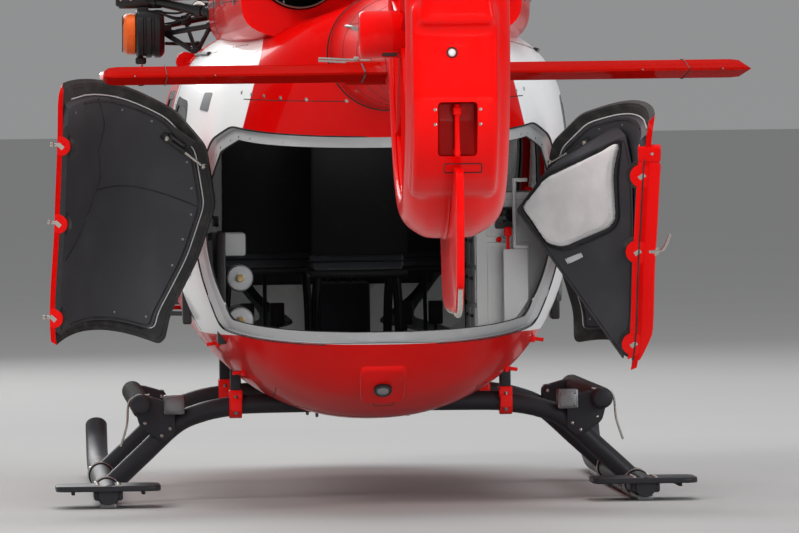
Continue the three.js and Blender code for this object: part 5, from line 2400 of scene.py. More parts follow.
@dataclass(frozen=True)
class Padding:
    """Turns plain pads into stuffed ones by blowing them up as cloth."""

    voxel: float = 6
    rough_voxel: float = 18
    cap: float = 14
    frames: int = 20
    pressure: float = 4
    quality: int = 4

    def puff(self, solid: Solid) -> Solid:
        """The pad remeshed, blown up and smoothed.

        Args:
            solid: The pad as a plain closed shape.

        Returns:
            The stuffed pad.
        """
        work = Solid(solid.points * MM, solid.faces)._object()
        remesh = work.modifiers.new("remesh", "REMESH")
        voxel = self.voxel
        remesh.mode, remesh.voxel_size = "VOXEL", voxel * MM
        plain = _finished(work, [])
        work = plain._object()
        cloth = work.modifiers.new("cloth", "CLOTH")
        cloth.settings.quality = self.quality
        cloth.settings.use_pressure = True
        cloth.settings.uniform_pressure_force = self.pressure
        cloth.settings.effector_weights.gravity = 0
        cloth.point_cache.frame_end = self.frames
        scene = bpy.context.scene
        for number in range(1, self.frames + 1):
            scene.frame_set(number)
        moved = _finished(work, []).points - plain.points
        far = np.linalg.norm(moved, axis=1)[:, None]
        moved *= np.minimum(1, self.cap * MM / np.maximum(far, 1e-9))
        scene.frame_set(1)
        fine = Solid(plain.points + moved, plain.faces)._object()
        fine.modifiers.new("fine", "SUBSURF").levels = 1
        done = _finished(fine, [])
        return Solid(done.points / MM, done.faces)


@dataclass
class Cabin(Assembly):
    """Floor, linings, seats, instruments and the medical cabinet."""

    slot: str = "cabinet_grey"
    deck: tuple[float, float, float, float] = (290, 180, 1740, 24)
    cabinet: tuple[float, float, float, float] = (-430, 760, 1540, 1330)

    def inside(self, solid: Solid, depth: float = 31) -> Solid:
        """What of a solid lies within the cabin's wall."""
        return CABIN.solid(INNER_STATIONS, LINING_SIDES, depth).within(solid)

    def build(self) -> None:
        """Makes everything inside the cabin."""
        self._floor()
        self._linings()
        self._instruments()
        self._cabinet()
        self._left_rack()
        self._seats()

    def _floor(self) -> None:
        """The floor with its deck, rails and tie-down cups."""
        half, front, rear, height = self.deck
        slab = block((-FAR, -2290, FLOOR_TOP - 24), (FAR, 1975, FLOOR_TOP))
        plate = self.inside(slab)
        deck = block((-half, front, FLOOR_TOP + 0.2), (half, rear, FLOOR_TOP + height), 5)
        self.add(
            "cabin_floor_plate", plate + deck, FLOORING, slot="floor_grey", replaces=["cabin_floor"]
        )
        rails = []
        top = FLOOR_TOP + height
        for places, edges, start, end, low, tall in (
            ((-205, -95, 95, 205), (-13, 9), front + 30, rear - 10, top, 9),
            ((-560, 560), (-14, 10), -1400, 700, FLOOR_TOP, 8),
        ):
            for x in (place + edge for place in places for edge in edges):
                rails.append(block((x, start, low), (x + 4, end, low + tall), 1))
        stops = [
            block((x - 22, rear - 90, top), (x + 22, rear - 40, top + 34), 5) for x in (-150, 150)
        ]
        self.add("floor_rails", rails + stops, STEEL, slot="floor_grey")
        cups = []
        ring = [(16, 0), (26, 0), (26, 3), (18, 4), (16, 3)]
        for x in (-400, 400):
            for s in (250, 650, 1050, 1450):
                if x > 0 or s < 700:
                    cups.append(lathe(ring, Axis.Z, (x, s, FLOOR_TOP), 24))
        self.add("tie_down_cups", cups, CAST, slot="floor_grey")

    def _linings(self) -> None:
        """Wall pads, roof console, hand rails and door posts."""
        stations = np.arange(930, 1990, 24)
        openings = prism(shrunk(REAR_MOUTH, -70), Axis.X, -FAR, FAR)
        pads, snaps = [], []
        layer = band(CABIN, stations, 31, 44)
        for side in Side:
            x = side.value
            for low, high in ((690, 1180), (1800, 1960)):
                outline = rect(960, low, 1760, high)
                pad = layer.within(across(outline, side, INNER_X, 60, 0)).cut(openings)
                pads.append(pad)
            post = [(1618, 1200), (1790, 1200), (1830, 1790), (1640, 1790)]
            pads.append(layer.within(across(post, side, INNER_X, 40, 0)).cut(openings))
            spots = [(1650 + (z - 1240) * 0.05, z) for z in range(1240, 1760, 84)]
            spots += [(s, 1140) for s in range(1000, 1600, 120)]
            for p in spots:
                snaps.append(dome(CABIN.at(*p, side, 45), -CABIN.normal(*p, side), 9, 4, 12))
        self.add("wall_pads", pads, WALL_PAD, slot="seat_cloth")
        self.add("wall_snaps", snaps, STEEL, slot="seat_cloth")
        console = block((-150, -620, 1962), (150, 1690, 2034), 22, segments=4)
        lamps = [
            lathe(
                [(0, 1952), (46, 1952), (52, 1958), (52, 1964), (0, 1964)], Axis.Z, (x, s, 0), 32, 1
            )
            for x in (-80, 80)
            for s in (-300, 420, 1140)
        ]
        vents = [
            block((-30, s - 40, 1958), (30, s + 40, 1964), 4, tag=2) for s in (-480, 60, 780, 1500)
        ]
        self.add("roof_console", [console, *lamps, *vents], FRAME_GREY, LAMP_CLEAR, PANEL)
        rails = []
        for x in (-330, 330):
            path = smoothed(
                [
                    (x, -500, 2030), (x, -470, 1950), (x, 500, 1945), (x, 1560, 1950),
                    (x, 1600, 2030),
                ],
                8,
            )
            rails.append(tube(path, 11, 14))
            for s in (-100, 420, 940):
                rails.append(rod((x, s, 1946), (x, s, 2032), 8, 12))
        self.add("hand_rails", rails, STEEL)
        posts = []
        for side in Side:
            path = [(s, z) for s, z in ((955, 690), (950, 1100), (948, 1500), (952, 1860))]
            inner = CABIN.wrap(smoothed(path, 6), side, 46)
            posts.append(tube(inner, 17, 12))
            loop = smoothed([(1700, 1185), (1772, 1330), (1870, 1500), (1990, 1640)], 6)
            posts.append(tube(CABIN.wrap(loop, side, 60), 12, 12))
        posts.append(rod((-584, 1700, 1096), (-584, 1700, 1392), 9, 16, 3))
        for z in (1100, 1384):
            posts.append(block((-640, 1690, z - 8), (-580, 1710, z + 8), 3))
        posts.append(self.inside(block((-640, 1690, 752), (-534, 1704, 1092), 5), 62))
        self.add("cabin_posts", posts, FRAME_GREY)
        handle = block((-570, 1700, 1146), (-538, 1722, 1186), 6, segments=3)
        handle = handle + rod((-554, 1706, 1090), (-554, 1706, 1150), 7, 12)
        self.add("red_handle", handle, RED, slot="red_paint")

    def _instruments(self) -> None:
        """The pedestal and the panel with its screens and knobs."""
        pedestal = block((-118, -2118, FLOOR_TOP + 1), (118, -1642, 898), 16, segments=3)
        profile = rounded([(-2238, 882), (-1992, 882), (-1952, 1178), (-2138, 1198)], 26)
        panel = self.inside(prism(profile, Axis.X, -428, 428, 0), 33)
        parts = [pedestal, panel]
        tilt = Matrix.Rotation(-math.atan2(40, 296), 4, "X")
        for x in (-290, -98, 98, 290):
            at = (x, -1967, 1040)
            bezel = block((-84, 0, -66), (84, 7, 66), 5, tag=0).placed(
                Matrix.Translation(at) @ tilt
            )
            glass = block((-72, 5, -54), (72, 9, 54), 2, tag=1).placed(
                Matrix.Translation(at) @ tilt
            )
            parts += [bezel, glass]
        for row in range(4):
            for x in (-70, -25, 25, 70):
                s = -2060 + row * 90
                parts.append(rod((x, s, 892), (x, s, 914), 9, 14, 2, tag=2))
        for x in (-30, 40):
            stick = smoothed([(x, -1700, 880), (x, -1690, 960), (x + 8, -1676, 1010)], 5)
            parts.append(tube(stick, 7, 10, tag=2))
        for side in Side:
            x = side.value * 370
            cyclic = smoothed([
                (x, -1560, FLOOR_TOP), (x, -1610, 860), (x, -1600, 1030), (x, -1572, 1120),
            ], 6)
            parts.append(
                tube(
                    cyclic,
                    np.interp(
                        np.arange(len(cyclic)), [0, len(cyclic) - 5, len(cyclic)], [9, 10, 17],
                    ),
                    12, tag=2,
                )
            )
            for dx in (-70, 70):
                pedal = block((x + dx - 34, -2015, 690), (x + dx + 34, -1996, 800), 6, tag=2)
                arm = rod((x + dx, -2020, 660), (x + dx, -2008, 760), 8, 10, tag=2)
                parts += [pedal, arm]
        self.add(
            "instrument_board", parts, PANEL, SCREEN, DARK_CAST, slot="panel_black",
            replaces=["instrument_panel"],
        )

    def _cabinet(self) -> None:
        """The grey cabinet on the right, with framed doors, a monitor and drawers."""
        x0, front, rear, top = self.cabinet
        case = self.inside(
            block((-FAR, front, FLOOR_TOP + 1), (x0, rear, top), 0), 31,
        ).eased(7, 2, 40)
        parts = [case]
        back = rear + 0.5
        for low, high, left, right in ((716, 1118, -656, -474), (1142, 1300, -690, -474)):
            parts.append(block((left, back, low), (right, back + 9, high), 4))
            parts.append(
                block(
                    (left + 16, back + 8, low + 16), (right - 16, back + 10.5, high - 16), 2, tag=1,
                )
            )
        grip = bent(
            [
                (-640, back + 8, 880), (-640, back + 34, 900), (-640, back + 34, 990),
                (-640, back + 8, 1010),
            ],
            6, 8, 12, tag=2,
        )
        parts.append(grip)
        parts.append(block((-592, back + 9, 1176), (-508, back + 34, 1268), 8, tag=2))
        parts.append(block((-584, back + 32, 1200), (-516, back + 36, 1258), 2, tag=3))
        for low in (700, 860, 1020, 1180):
            parts.append(
                block((x0 - 1, front + 30, low), (x0 + 7, front + 360, low + 140), 4, tag=1)
            )
            parts.append(
                block((x0 - 1, front + 400, low), (x0 + 7, rear - 30, low + 140), 4, tag=1)
            )
            for s in (front + 195, front + 570):
                parts.append(
                    block((x0 + 5, s - 45, low + 96), (x0 + 20, s + 45, low + 110), 4, tag=2)
                )
        self.add(
            "medical_cabinet_case", parts, CABINET, FRAME_GREY, SATIN_BLACK, SCREEN,
            replaces=["medical_cabinet"],
        )
        knobs = [
            rod((-524, back + 9, 1130), (-524, back + 36, 1130), 12, 18, 4),
            bent(
                [(-676, back + 4, 1300), (-690, back + 30, 1330), (-640, back + 44, 1350)], 6, 8, 10
            ),
        ]
        self.add("red_release_knobs", knobs, RED, slot="red_paint")

    def _left_rack(self) -> None:
        """Equipment on the left wall: two bottles in clamps, a pump and its panel."""
        wall_x = 640
        parts = [block((wall_x, 980, 700), (wall_x + 40, 1560, 1180), 10)]
        for z in (800, 980):
            parts.append(rod((wall_x - 62, 1020, z), (wall_x - 62, 1490, z), 56, 28, 18, tag=1))
            parts.append(rod((wall_x - 62, 1488, z), (wall_x - 62, 1530, z), 17, 16, 3, tag=2))
            for s in (1100, 1400):
                strap = lathe(rect(56.5, -14, 60, 14), Axis.Y, (wall_x - 62, s, z), 28, 0)
                parts.append(strap)
        parts.append(block((wall_x - 96, 1020, 1070), (wall_x, 1250, 1170), 12, tag=3))
        parts.append(block((wall_x - 100, 1050, 1092), (wall_x - 95, 1180, 1150), 2, tag=0))
        self.add("equipment_rack", parts, SATIN_BLACK, FRAME_GREY, BRASS, CABINET)

    def _seats(self) -> None:
        """Three seats with stuffed cushions, frames and harnesses."""
        padding = Padding()
        width = 420
        cushion = padding.puff(block((-width / 2, 0, 0), (width / 2, 400, 84), 24, segments=3))
        back = padding.puff(block((-width / 2 + 8, 0, 0), (width / 2 - 8, 76, 560), 24, segments=3))
        lean = math.radians(14.5)
        chairs = (
            ("front_seat_left", 370.0, -1500.0), ("front_seat_right", -370.0, -1500.0),
            ("medical_seat", 0.0, -560.0),
        )
        for name, x, s in chairs:
            base = FLOOR_TOP + 0.5
            tilt = Matrix.Translation((x, s + 452, base + 412)) @ Matrix.Rotation(-lean, 4, "X")
            pad = cushion.shifted(x, s + 12, base + 326)
            spine = back.placed(tilt)
            made = self.add(
                f"{name}_cushion", pad, SEAT, slot="seat_cloth", replaces=[name], crease=60,
            )
            made = self.add(f"{name}_back", spine, SEAT, slot="seat_cloth", crease=60)
            self._chair_frame(name, x, s, base, tilt)
            outline = rounded(rect(x - 212, s + 10, x + 212, s + 414), 30)
            piping = tube(
                [(px, ps, base + 368) for px, ps in dense(outline, 25)], 4, 8, closed=True,
            )
            ring = rounded(rect(-206, 4, 206, 556), 30)
            edge = tube(
                [(px, 38, pz) for px, pz in dense(ring, 25)], 4, 8, closed=True,
            ).placed(tilt)
            straps = []
            for way in (-1, 1):
                path = smoothed(
                    [(way * 60, -16, 540), (way * 78, -22, 300), (way * 96, -20, 60)], 6,
                )
                straps.append(tube(path, 4, 6, flat=5.5).placed(tilt))
                lap = smoothed(
                    [
                        (x + way * 214, s + 400, base + 400), (x + way * 120, s + 330, base + 428),
                        (x + way * 24, s + 300, base + 430),
                    ],
                    6,
                )
                straps.append(tube(lap, 4, 6, flat=5.5))
            buckle = rod((x, s + 300, base + 424), (x, s + 300, base + 446), 28, 24, 4, tag=1)
            self.add(
                f"{name}_trim", joined([piping, edge, *straps]) + buckle, PIPING, STEEL,
                slot="seat_cloth",
            )

    def _chair_frame(self, name: str, x: float, s: float, base: float, tilt: Matrix) -> None:
        """The bucket and legs under a seat's pads.

        Args:
            name: The seat's name.
            x: Its middle.
            s: The station of its front.
            base: The height it stands on.
            tilt: The place of its back.
        """
        parts = [block((x - 218, s + 4, base + 296), (x + 218, s + 430, base + 330), 12)]
        parts.append(block((-214, 80, 8), (214, 96, 580), 14, segments=3).placed(tilt))
        for way in (-1, 1):
            for near in (40, 360):
                parts.append(
                    bent(
                        [
                            (x + way * 190, s + near, base),
                            (x + way * 186, s + near + 12, base + 160),
                            (x + way * 176, s + near + 20, base + 300),
                        ],
                        5, 13, 12, tag=1,
                    )
                )
            parts.append(
                block(
                    (x + way * 190 - 18, s + 10, base), (x + way * 190 + 18, s + 430, base + 16), 4,
                    tag=1,
                )
            )
        self.add(f"{name}_bucket", parts, SATIN_BLACK, DARK_CAST, slot="seat_cloth")


@dataclass
class DoorPouch:
    """The pale cloth pouch on the face of the right rear door's box, with black piping."""

    doors: RearDoors
    depth: float = 36
    overlap: float = 1.5

    def build(self) -> None:
        """Makes the pouch, its flap and its piping."""
        side, face = Side.RIGHT, BoxFace()
        plane = face.plane()
        outline = rounded(shrunk(face.flat(POUCH), 7), 34, 6)
        plain = prism(outline, Axis.Z, self.overlap, self.depth - 10).placed(plane)
        pad = Padding(voxel=6, cap=12).puff(plain)
        made = self.doors.hang(
            "pouch", side, pad, POUCH_FABRIC, slot="pouch_cloth", replaces=["door_pouch"],
        )
        line = loop(face.flat(POUCH), 2, 36, 18)
        piping = tube([(u, v, 6) for u, v in line], 5, 10, closed=True)
        top = [np.array((plane.inverted() @ Vector((-x, s, z)))[:2]) for x, s, z in POUCH_FOLD]
        middle = np.mean(face.flat(POUCH), axis=0)
        fold = smoothed([(*(p + (middle - p) * 0.3), self.depth - 3) for p in top], 8)
        hem = tube(fold, 2.6, 8, flat=2.4)
        self.doors.hang(
            "pouch_piping", side, (piping + hem.tagged(1)).placed(plane), PIPING, POUCH_FABRIC,
            slot="pouch_cloth",
        )


@dataclass
class EngineDeck(Assembly):
    """Cowls, air intakes, exhausts and the fairing behind them."""

    slot: str = "cowl_red"
    split: float = 480
    low: float = 1850
    high: float = 3100
    seam_z: float = 2150
    engine_x: float = 340
    exhaust_z: float = 2292
    exhaust_start: float = 1700
    exhaust_radius: float = 178
    exhaust_length: float = 740
    wall: float = 30

    def build(self) -> None:
        """Makes the whole deck."""
        stations = [*np.linspace(-1480, -1250, 9), *np.arange(-1220, 2340, 36), 2360]
        outer = COWL.solid(stations, 160)
        inner = COWL.solid([s for s in stations if -1250 <= s <= 2340], 100, self.wall, tag=1)
        self.hollow = outer.cut(inner, CABIN.solid(CABIN_STATIONS, tag=1))
        self._cowls()
        self._exhausts()
        self._fairing()
        self._details()
        self.yard.dress(DARK_CAST, "main_gearbox", "engine_left", "engine_right")

    def _cowls(self) -> None:
        """The mast cowl and the two engine cowls, parted by seams."""
        mast = self.hollow.within(block((-FAR, -1600, self.low), (FAR, self.split - 3, self.high)))
        mast = mast.cut(lathe(rect(0, 2300, 150, self.high), Axis.Z, (0, 0, 0), 64, 2))
        scoops = []
        for side in Side:
            scoops.append(
                across([(-560, 2290), (-140, 2330), (-140, 2520), (-520, 2440)], side, 300, 60, 2)
            )
        mast = mast.cut(*scoops)
        # The cowls' inner faces (tag 1) take the near-black: painted shade inside the cowls.
        finishes = [RED, SOOT_AND_SHADE, SATIN_BLACK]
        self.add("mast_cowl_skin", mast, *finishes, replaces=["mast_cowl"], crease=30)
        for side in Side:
            x = side.value
            room = block((x * 3, self.split + 3, self.low), (x * FAR, 2500, self.high))
            hole = rod(
                (x * self.engine_x, self.exhaust_start, self.exhaust_z),
                (x * self.engine_x, 2700, self.exhaust_z), self.exhaust_radius + 6, 64, tag=2,
            )
            intake = across([(560, 2300), (900, 2310), (900, 2450), (560, 2470)], side, 300, 50, 2)
            cowl = self.hollow.within(room).cut(hole, intake)
            name = f"engine_cowl_{side.word}"
            self.add(f"{name}_skin", cowl, *finishes, replaces=[name], crease=30)

    def _exhausts(self) -> None:
        """Heat-stained pipes with rolled lips, sooted and darkened with painted shade inside."""
        r, end = self.exhaust_radius, self.exhaust_length
        outside = [
            (r - 40, 0.3), (r - 34, 24), (r - 8, 170), (r, 210), (r, end - 14), (r + 2, end - 5),
            (r, end),
        ]
        inside = [(r - 5, end), (r - 7, end - 8), (r - 7, 206), (r - 47, 40)]
        for side in Side:
            centre = (side.value * self.engine_x, self.exhaust_start, self.exhaust_z)
            pipe = lathe([(0, 0.3), *outside, *inside, (0, 40)], Axis.Y, centre, 72)
            middle = pipe.middles()
            reach = np.hypot(middle[:, 0] - centre[0], middle[:, 2] - centre[2])
            # Inside the pipe: real soot, and painted shade deep in the bore.
            pipe.tags = np.where((reach < r - 4.5) & (middle[:, 1] > 1735), 1, 0)
            clamp = lathe(
                [(r + 0.5, 500), (r + 5, 502), (r + 5, 520), (r + 0.5, 522)], Axis.Y, centre, 64, 2
            )
            name = f"exhaust_{side.word}"
            self.add(
                f"{name}_pipe", pipe + clamp, BURNT, SOOT_AND_SHADE, STEEL, slot="burnt_steel",
                replaces=[name], crease=40,
            )

    def _fairing(self) -> None:
        """The fairing over the boom's root."""
        stations = np.linspace(2366, 3250, 40)
        shape = Hull(FAIRING_TABLE).solid(stations, 72)
        boom = BOOM.solid(np.linspace(2854, 3400, 14), 96)
        shape = shape.cut(CABIN.solid(CABIN_STATIONS), boom)
        self.add("tail_fairing_skin", shape, RED, replaces=["tail_fairing"], crease=30)

    def _details(self) -> None:
        """Screens, seams, latches, louvres and lamps on the cowls."""
        screens, seams, latches, louvres = [], [], [], []
        stations = np.arange(-640, 1000, 24)
        layer = band(COWL, stations, 9, 16, 100)
        for side in Side:
            x = side.value
            for outline in (
                [(-566, 2284), (-134, 2324), (-134, 2526), (-526, 2446)],
                [(554, 2294), (906, 2304), (906, 2456), (554, 2476)],
            ):
                # The sheet behind each screen's bars is near-black: painted shade in the intake.
                panel = layer.within(across(outline, side, 300, 56, 0))
                screens.append(panel)
                low = [min(p[i] for p in outline) for i in (0, 1)]
                high = [max(p[i] for p in outline) for i in (0, 1)]
                for s in np.arange(low[0] + 20, high[0] - 10, 24):
                    bar = [(s, z) for z in np.linspace(low[1] + 34, high[1] - 60, 7)]
                    screens.append(tube(COWL.wrap(bar, side, 7), 2.6, 6, tag=1))
                for z in np.arange(low[1] + 40, high[1] - 50, 24):
                    bar = [(s, z) for s in np.linspace(low[0] + 30, high[0] - 16, 12)]
                    screens.append(tube(COWL.wrap(bar, side, 7), 2.6, 6, tag=1))
            for line in (
                [(s, self.seam_z) for s in np.arange(-1100, 2330, 40)],
                [(s, 2520) for s in np.arange(520, 2200, 40)],
                [(1340, z) for z in np.arange(2010, 2680, 25)],
                [(-860, z) for z in np.arange(2010, 2420, 25)],
            ):
                seams.append(
                    tube(COWL.wrap([p for p in line if COWL.side(*p) > 20], side, 1), 2.6, 6)
                )
            for s in (600, 960, 1240, 1500, 1860, 2200, -300, -700):
                at = COWL.at(s, self.seam_z, side)
                latches.append(block(at + (-x * 6, -26, -15), at + (x * 4, 26, 15), 3))
            for k in range(6):
                s = 1500 + k * 62
                at = COWL.at(s, 2400, side)
                slat = block((-4, -18, -70), (8, 18, 70), 6)
                louvres.append(slat.placed(
                    Matrix.Translation(at) @ Matrix.Rotation(x * math.radians(18), 4, "Z")
                    @ Matrix.Rotation(-x * math.radians(38), 4, "Y")
                ))
        self.add("intake_screens", screens, SOOT_AND_SHADE, CAST)
        self.add("cowl_seams", seams, SEAL)
        self.add("cowl_latches", latches, CAST)
        self.add("cowl_louvres", louvres, RED)
        rear = []
        for z in np.arange(2170, 2400, 30):
            rear.append(block((-120, 2352, z), (120, 2366, z + 13), 4))
        frame_bar = [block((x, 2350, 2150), (x + 14, 2368, 2416), 3) for x in (-136, 122)]
        self.add("rear_outlet", rear + frame_bar, SATIN_BLACK)
        collar = [(150, 2716), (196, 2712), (214, 2728), (205, 2760), (168, 2792), (150, 2792)]
        self.add("mast_collar", lathe(collar, Axis.Z, (0, 0, 0), 72), SATIN_BLACK)
        beacon = lathe([(0, -6), (44, -6), (46, 6), (34, 12), (32, 40), (22, 54), (0, 58)], Axis.Z,
                       (0, 1500, COWL.height(1500, 0, True)), 36)
        beacon = beacon.lit_above(COWL.height(1500, 0, True) + 13)
        self.add("roof_beacon", beacon, CAST, LAMP_RED)


@dataclass
class Tail(Assembly):
    """Boom, stabilizer, fin with the fan's shroud, and their fittings."""

    slot: str = "tail_red"
    stabilizer: tuple[float, float, float, float, float] = (5750, 1822, 1212, 560, 70)
    fan: tuple[float, float, float] = (0, 7190, 1955)
    duct: float = 580
    rear_station: float = 7815
    rim: float = 738
    lip: float = 586
    mould: float = 13
    wick: float = 2.2
    fin_rows: tuple[Point, ...] = (
        (1980, 6560, 7960, 150, 132), (2350, 6800, 7972, 142, 108), (2800, 7080, 8000, 130, 72),
        (3400, 7390, 8075, 92, 36), (3860, 7620, 8132, 64, 20), (3965, 7720, 8120, 36, 10),
    )
    rear: tuple[Point, ...] = (
        (7600, 2050), (7925, 2050), (7925, 1700), (7905, 1600), (7860, 1515), (7790, 1440),
        (7700, 1390), (7600, 1360),
    )

    def build(self) -> None:
        """Makes the whole tail."""
        self._boom()
        self._stabilizer()
        self._shroud()
        self._rear_face()
        self._ventral()
        self._fittings()

    def _boom(self) -> None:
        """The boom with its frames' rivets and seams."""
        boom = BOOM.solid(np.linspace(2854, 6320, 60), 96)
        self.add("tail_boom_skin", boom, RED, replaces=["tail_boom"], crease=40)
        rings, rivets = [], []
        for s in (2866, 3620, 4420, 5230, 6060):
            rings.append(tube(BOOM.ring(s, 72, 0.6), 2.4, 6, closed=True))
            for ds in (-18, 18):
                if s + ds > 2856:
                    for p in BOOM.ring(s + ds, 36):
                        middle = BOOM.row(s)[2]
                        rivets.append(dome(p, (p[0], 0, p[2] - middle), 4.5, 1.5, 6))
        for side in Side:
            spine = [(s, 2030) for s in np.arange(3300, 6300, 60)]
            rings.append(tube(BOOM.wrap(spine, side, 0.6), 2, 6))
        self.add("boom_seams", rings, SEAL)
        self.add("boom_rivets", rivets, RED)

    def _section(self, chord: float, thickness: float, count: int = 26) -> np.ndarray:
        """A wing section: points from the trailing edge round the nose, along and up.

        Args:
            chord: Its length.
            thickness: Its thickness.
            count: How many points.

        Returns:
            Two numbers for each point.
        """
        upper = Fair([0, 0.03, 0.12, 0.32, 0.65, 1], [0, 0.27, 0.46, 0.54, 0.34, 0.05])
        lower = Fair([0, 0.03, 0.12, 0.32, 0.65, 1], [0, -0.22, -0.39, -0.46, -0.3, -0.07])
        f = 0.5 * (1 - np.cos(np.linspace(0, math.pi, count)))
        top = np.column_stack([f * chord, upper(f) * thickness])
        bottom = np.column_stack([f * chord, lower(f) * thickness])
        return np.vstack([bottom[::-1], top[1:]])

    def _stabilizer(self) -> None:
        """The tailplane with its spar tube, tip caps and lamps."""
        s, z, reach, chord, thickness = self.stabilizer
        spans = [(x, 1.0, 1.0) for x in (0, 300, 700, 1162)]
        spans += [(1194, 0.985, 0.9), (1208, 0.94, 0.6), (1212, 0.88, 0.25)]
        rings = []
        for x, wide, thick in [(-a, b, c) for a, b, c in reversed(spans[1:])] + spans:
            shape = self._section(chord * wide, thickness * thick)
            rings.append(
                np.column_stack(
                    [
                        np.full(len(shape), x),
                        s - chord / 2 + chord * (1 - wide) / 2 + shape[:, 0], z + shape[:, 1],
                    ]
                )
            )
        plane = loft(rings)
        # The tailplane and its cuffs take the darker red: painted shade and painted dark
        # reflections.
        self.add("stabilizer_plane", plane, SHADED_TAILPLANE_RED, replaces=["stabilizer"], crease=40)
        joints, lamps = [], []
        for side in Side:
            x = side.value
            shape = self._section(chord + 5, thickness + 5)
            ring = [(x * 238, s - chord / 2 - 2.5 + a, z + b) for a, b in shape]
            joints.append(tube(ring, 3.2, 6, closed=True))
            ring = [(x * 980, p[1], p[2]) for p in ring]
            joints.append(tube(ring, 1.6, 6, closed=True))
            lens = tube(
                [
                    (x * reach + x * a, s - b, z + 6)
                    for a, b in ((-24, 210), (-6, 200), (2, 170), (2, 130))
                ],
                [16, 17, 14, 5], 16, tag=0 if x > 0 else 1,
            )
            lamps.append(lens)
        self.add("stabilizer_joints", joints, SEAL)
        self.add("stabilizer_lamps", lamps, LAMP_RED, LAMP_GREEN)
        cuffs = []
        for side in Side:
            x = side.value
            cuffs.append(rod((x * 120, s - 60, z + 2), (x * 300, s - 60, z + 2), 44, 28, 6))
        self.add("spar_cuffs", cuffs, SHADED_TAILPLANE_RED)

    def _fin_ring(self, row: Point, count: int = 40) -> np.ndarray:
        """A level section of the fin, rounded at its nose.

        Args:
            row: The height and the section's sizes there.
            count: How many points.

        Returns:
            The points, three numbers each.
        """
        z, lead, trail, half, rear = row
        thick = Fair([0, 0.03, 0.12, 0.35, 0.7, 1], [0, 0.4, 0.74, 1, 0.97, rear / half])
        f = 0.5 * (1 - np.cos(np.linspace(0, math.pi, count)))
        right = np.column_stack([half * thick(f), lead + (trail - lead) * f])
        flat = np.vstack([right, right[1:][::-1] * (-1, 1)])
        return np.column_stack([flat, np.full(len(flat), z)])

    def _shroud(self) -> None:
        """The fin and shroud, moulded together, with the duct and the rear recess."""
        curves = columns(self.fin_rows)
        heights = [*np.linspace(1980, 3860, 44), 3890, 3920, 3945, 3958, 3965]
        rings = [self._fin_ring((z, *[float(c(z)) for c in curves])) for z in heights]
        fin = loft(rings)
        profile = [
            (560, -160), (596, -188), (628, -200), (690, -168), (738, -85), (738, 85), (690, 156),
            (628, 184), (560, 154),
        ]
        ring = lathe(rounded(profile, 26, 4), Axis.X, self.fan, 128)
        neck = Hull(NECK_TABLE).solid(np.linspace(6320.3, 7050, 30), 96)
        face = prism(rounded(self.rear, 30), Axis.X, -146, 158).eased(34, 5, 40)
        duct = rod((-FAR, *self.fan[1:]), (FAR, *self.fan[1:]), self.duct, 128)
        whole = ring.carved((Cut.JOIN, fin), (Cut.JOIN, neck), (Cut.JOIN, face), (Cut.AWAY, duct))
        work = whole._object()
        remesh = work.modifiers.new("mould", "REMESH")
        remesh.mode, remesh.voxel_size = "VOXEL", self.mould
        smooth = work.modifiers.new("smooth", "SMOOTH")
        smooth.factor, smooth.iterations = 0.5, 9
        moulded = _finished(work, [])
        # The recess's faces take tag 1, the darker red that is painted shade in the recess.
        recess = block((-70, 7820, 1515), (70, 8050, 1706), 14, tag=1, segments=4)
        bore = rod((-FAR, *self.fan[1:]), (FAR, *self.fan[1:]), self.duct - 1, 160, tag=0)
        moulded = moulded.cut(recess, bore)
        self.add("fin_and_shroud", moulded, RED, RECESS_SHADE_RED, replaces=["fan_shroud_fin"], crease=50)
        lips = []
        for x in (-180, 165):
            lips.append(tube(
                [(x, self.fan[1] + self.lip * math.cos(t), self.fan[2] + self.lip * math.sin(t))
                 for t in np.linspace(0, 2 * math.pi, 128, endpoint=False)], 4, 8, closed=True))
        strip = lathe(rect(577.5, -70, 580, -40), Axis.X, self.fan, 128, 1)
        self.add("duct_lips", joined(lips) + strip, RED, SATIN_BLACK)

    def _rear_face(self) -> None:
        """Lamp, recess bar, screws and hatch on the shroud's rear face."""
        back = 7921
        bar = [
            block((-10, self.rear_station, 1512), (9, 7872, 1700), 5, segments=3),
            block((-16, self.rear_station, 1660), (15, 7884, 1690), 6, segments=3),
            block((-14, self.rear_station, 1518), (14, 7850, 1540), 6, segments=3),
        ]
        self.add("recess_bar", bar, RED)
        bezel = [(0, -8), (20, -8), (20, 6), (17, 10), (15, 8), (15, 2), (0, 2)]
        lens = [(0, 1), (14.6, 1), (13, 7), (8, 11), (0, 12)]
        place = (18, back, 1881)
        lamp = lathe(bezel, Axis.Y, place, 40) + lathe(lens, Axis.Y, place, 40, 1)
        self.add("tail_lamp", lamp, SATIN_BLACK, DULL_LAMP)
        heads = [dome((x, back, z), (0, 1, 0), 6, 3, 12) for x in (-80, 80) for z in (1680, 1628)]
        heads.append(dome((18, back, 1825), (0, 1, 0), 5, 3, 12))
        heads += [
            dome((x, back - 2, z), (0, 1, 0), 4.5, 2, 10) for x in (-120, 120) for z in (1960, 2030)
        ]
        self.add("rear_face_screws", heads, STEEL)
        outline = dense(rounded(rect(-88, 1456, 46, 1488), 8), 12)
        where = [(x, np.interp(z, (1440, 1515), (7791, 7861)), z) for x, z in outline]
        self.add("rear_hatch_line", tube(where, 2.2, 6, closed=True), SEAL)

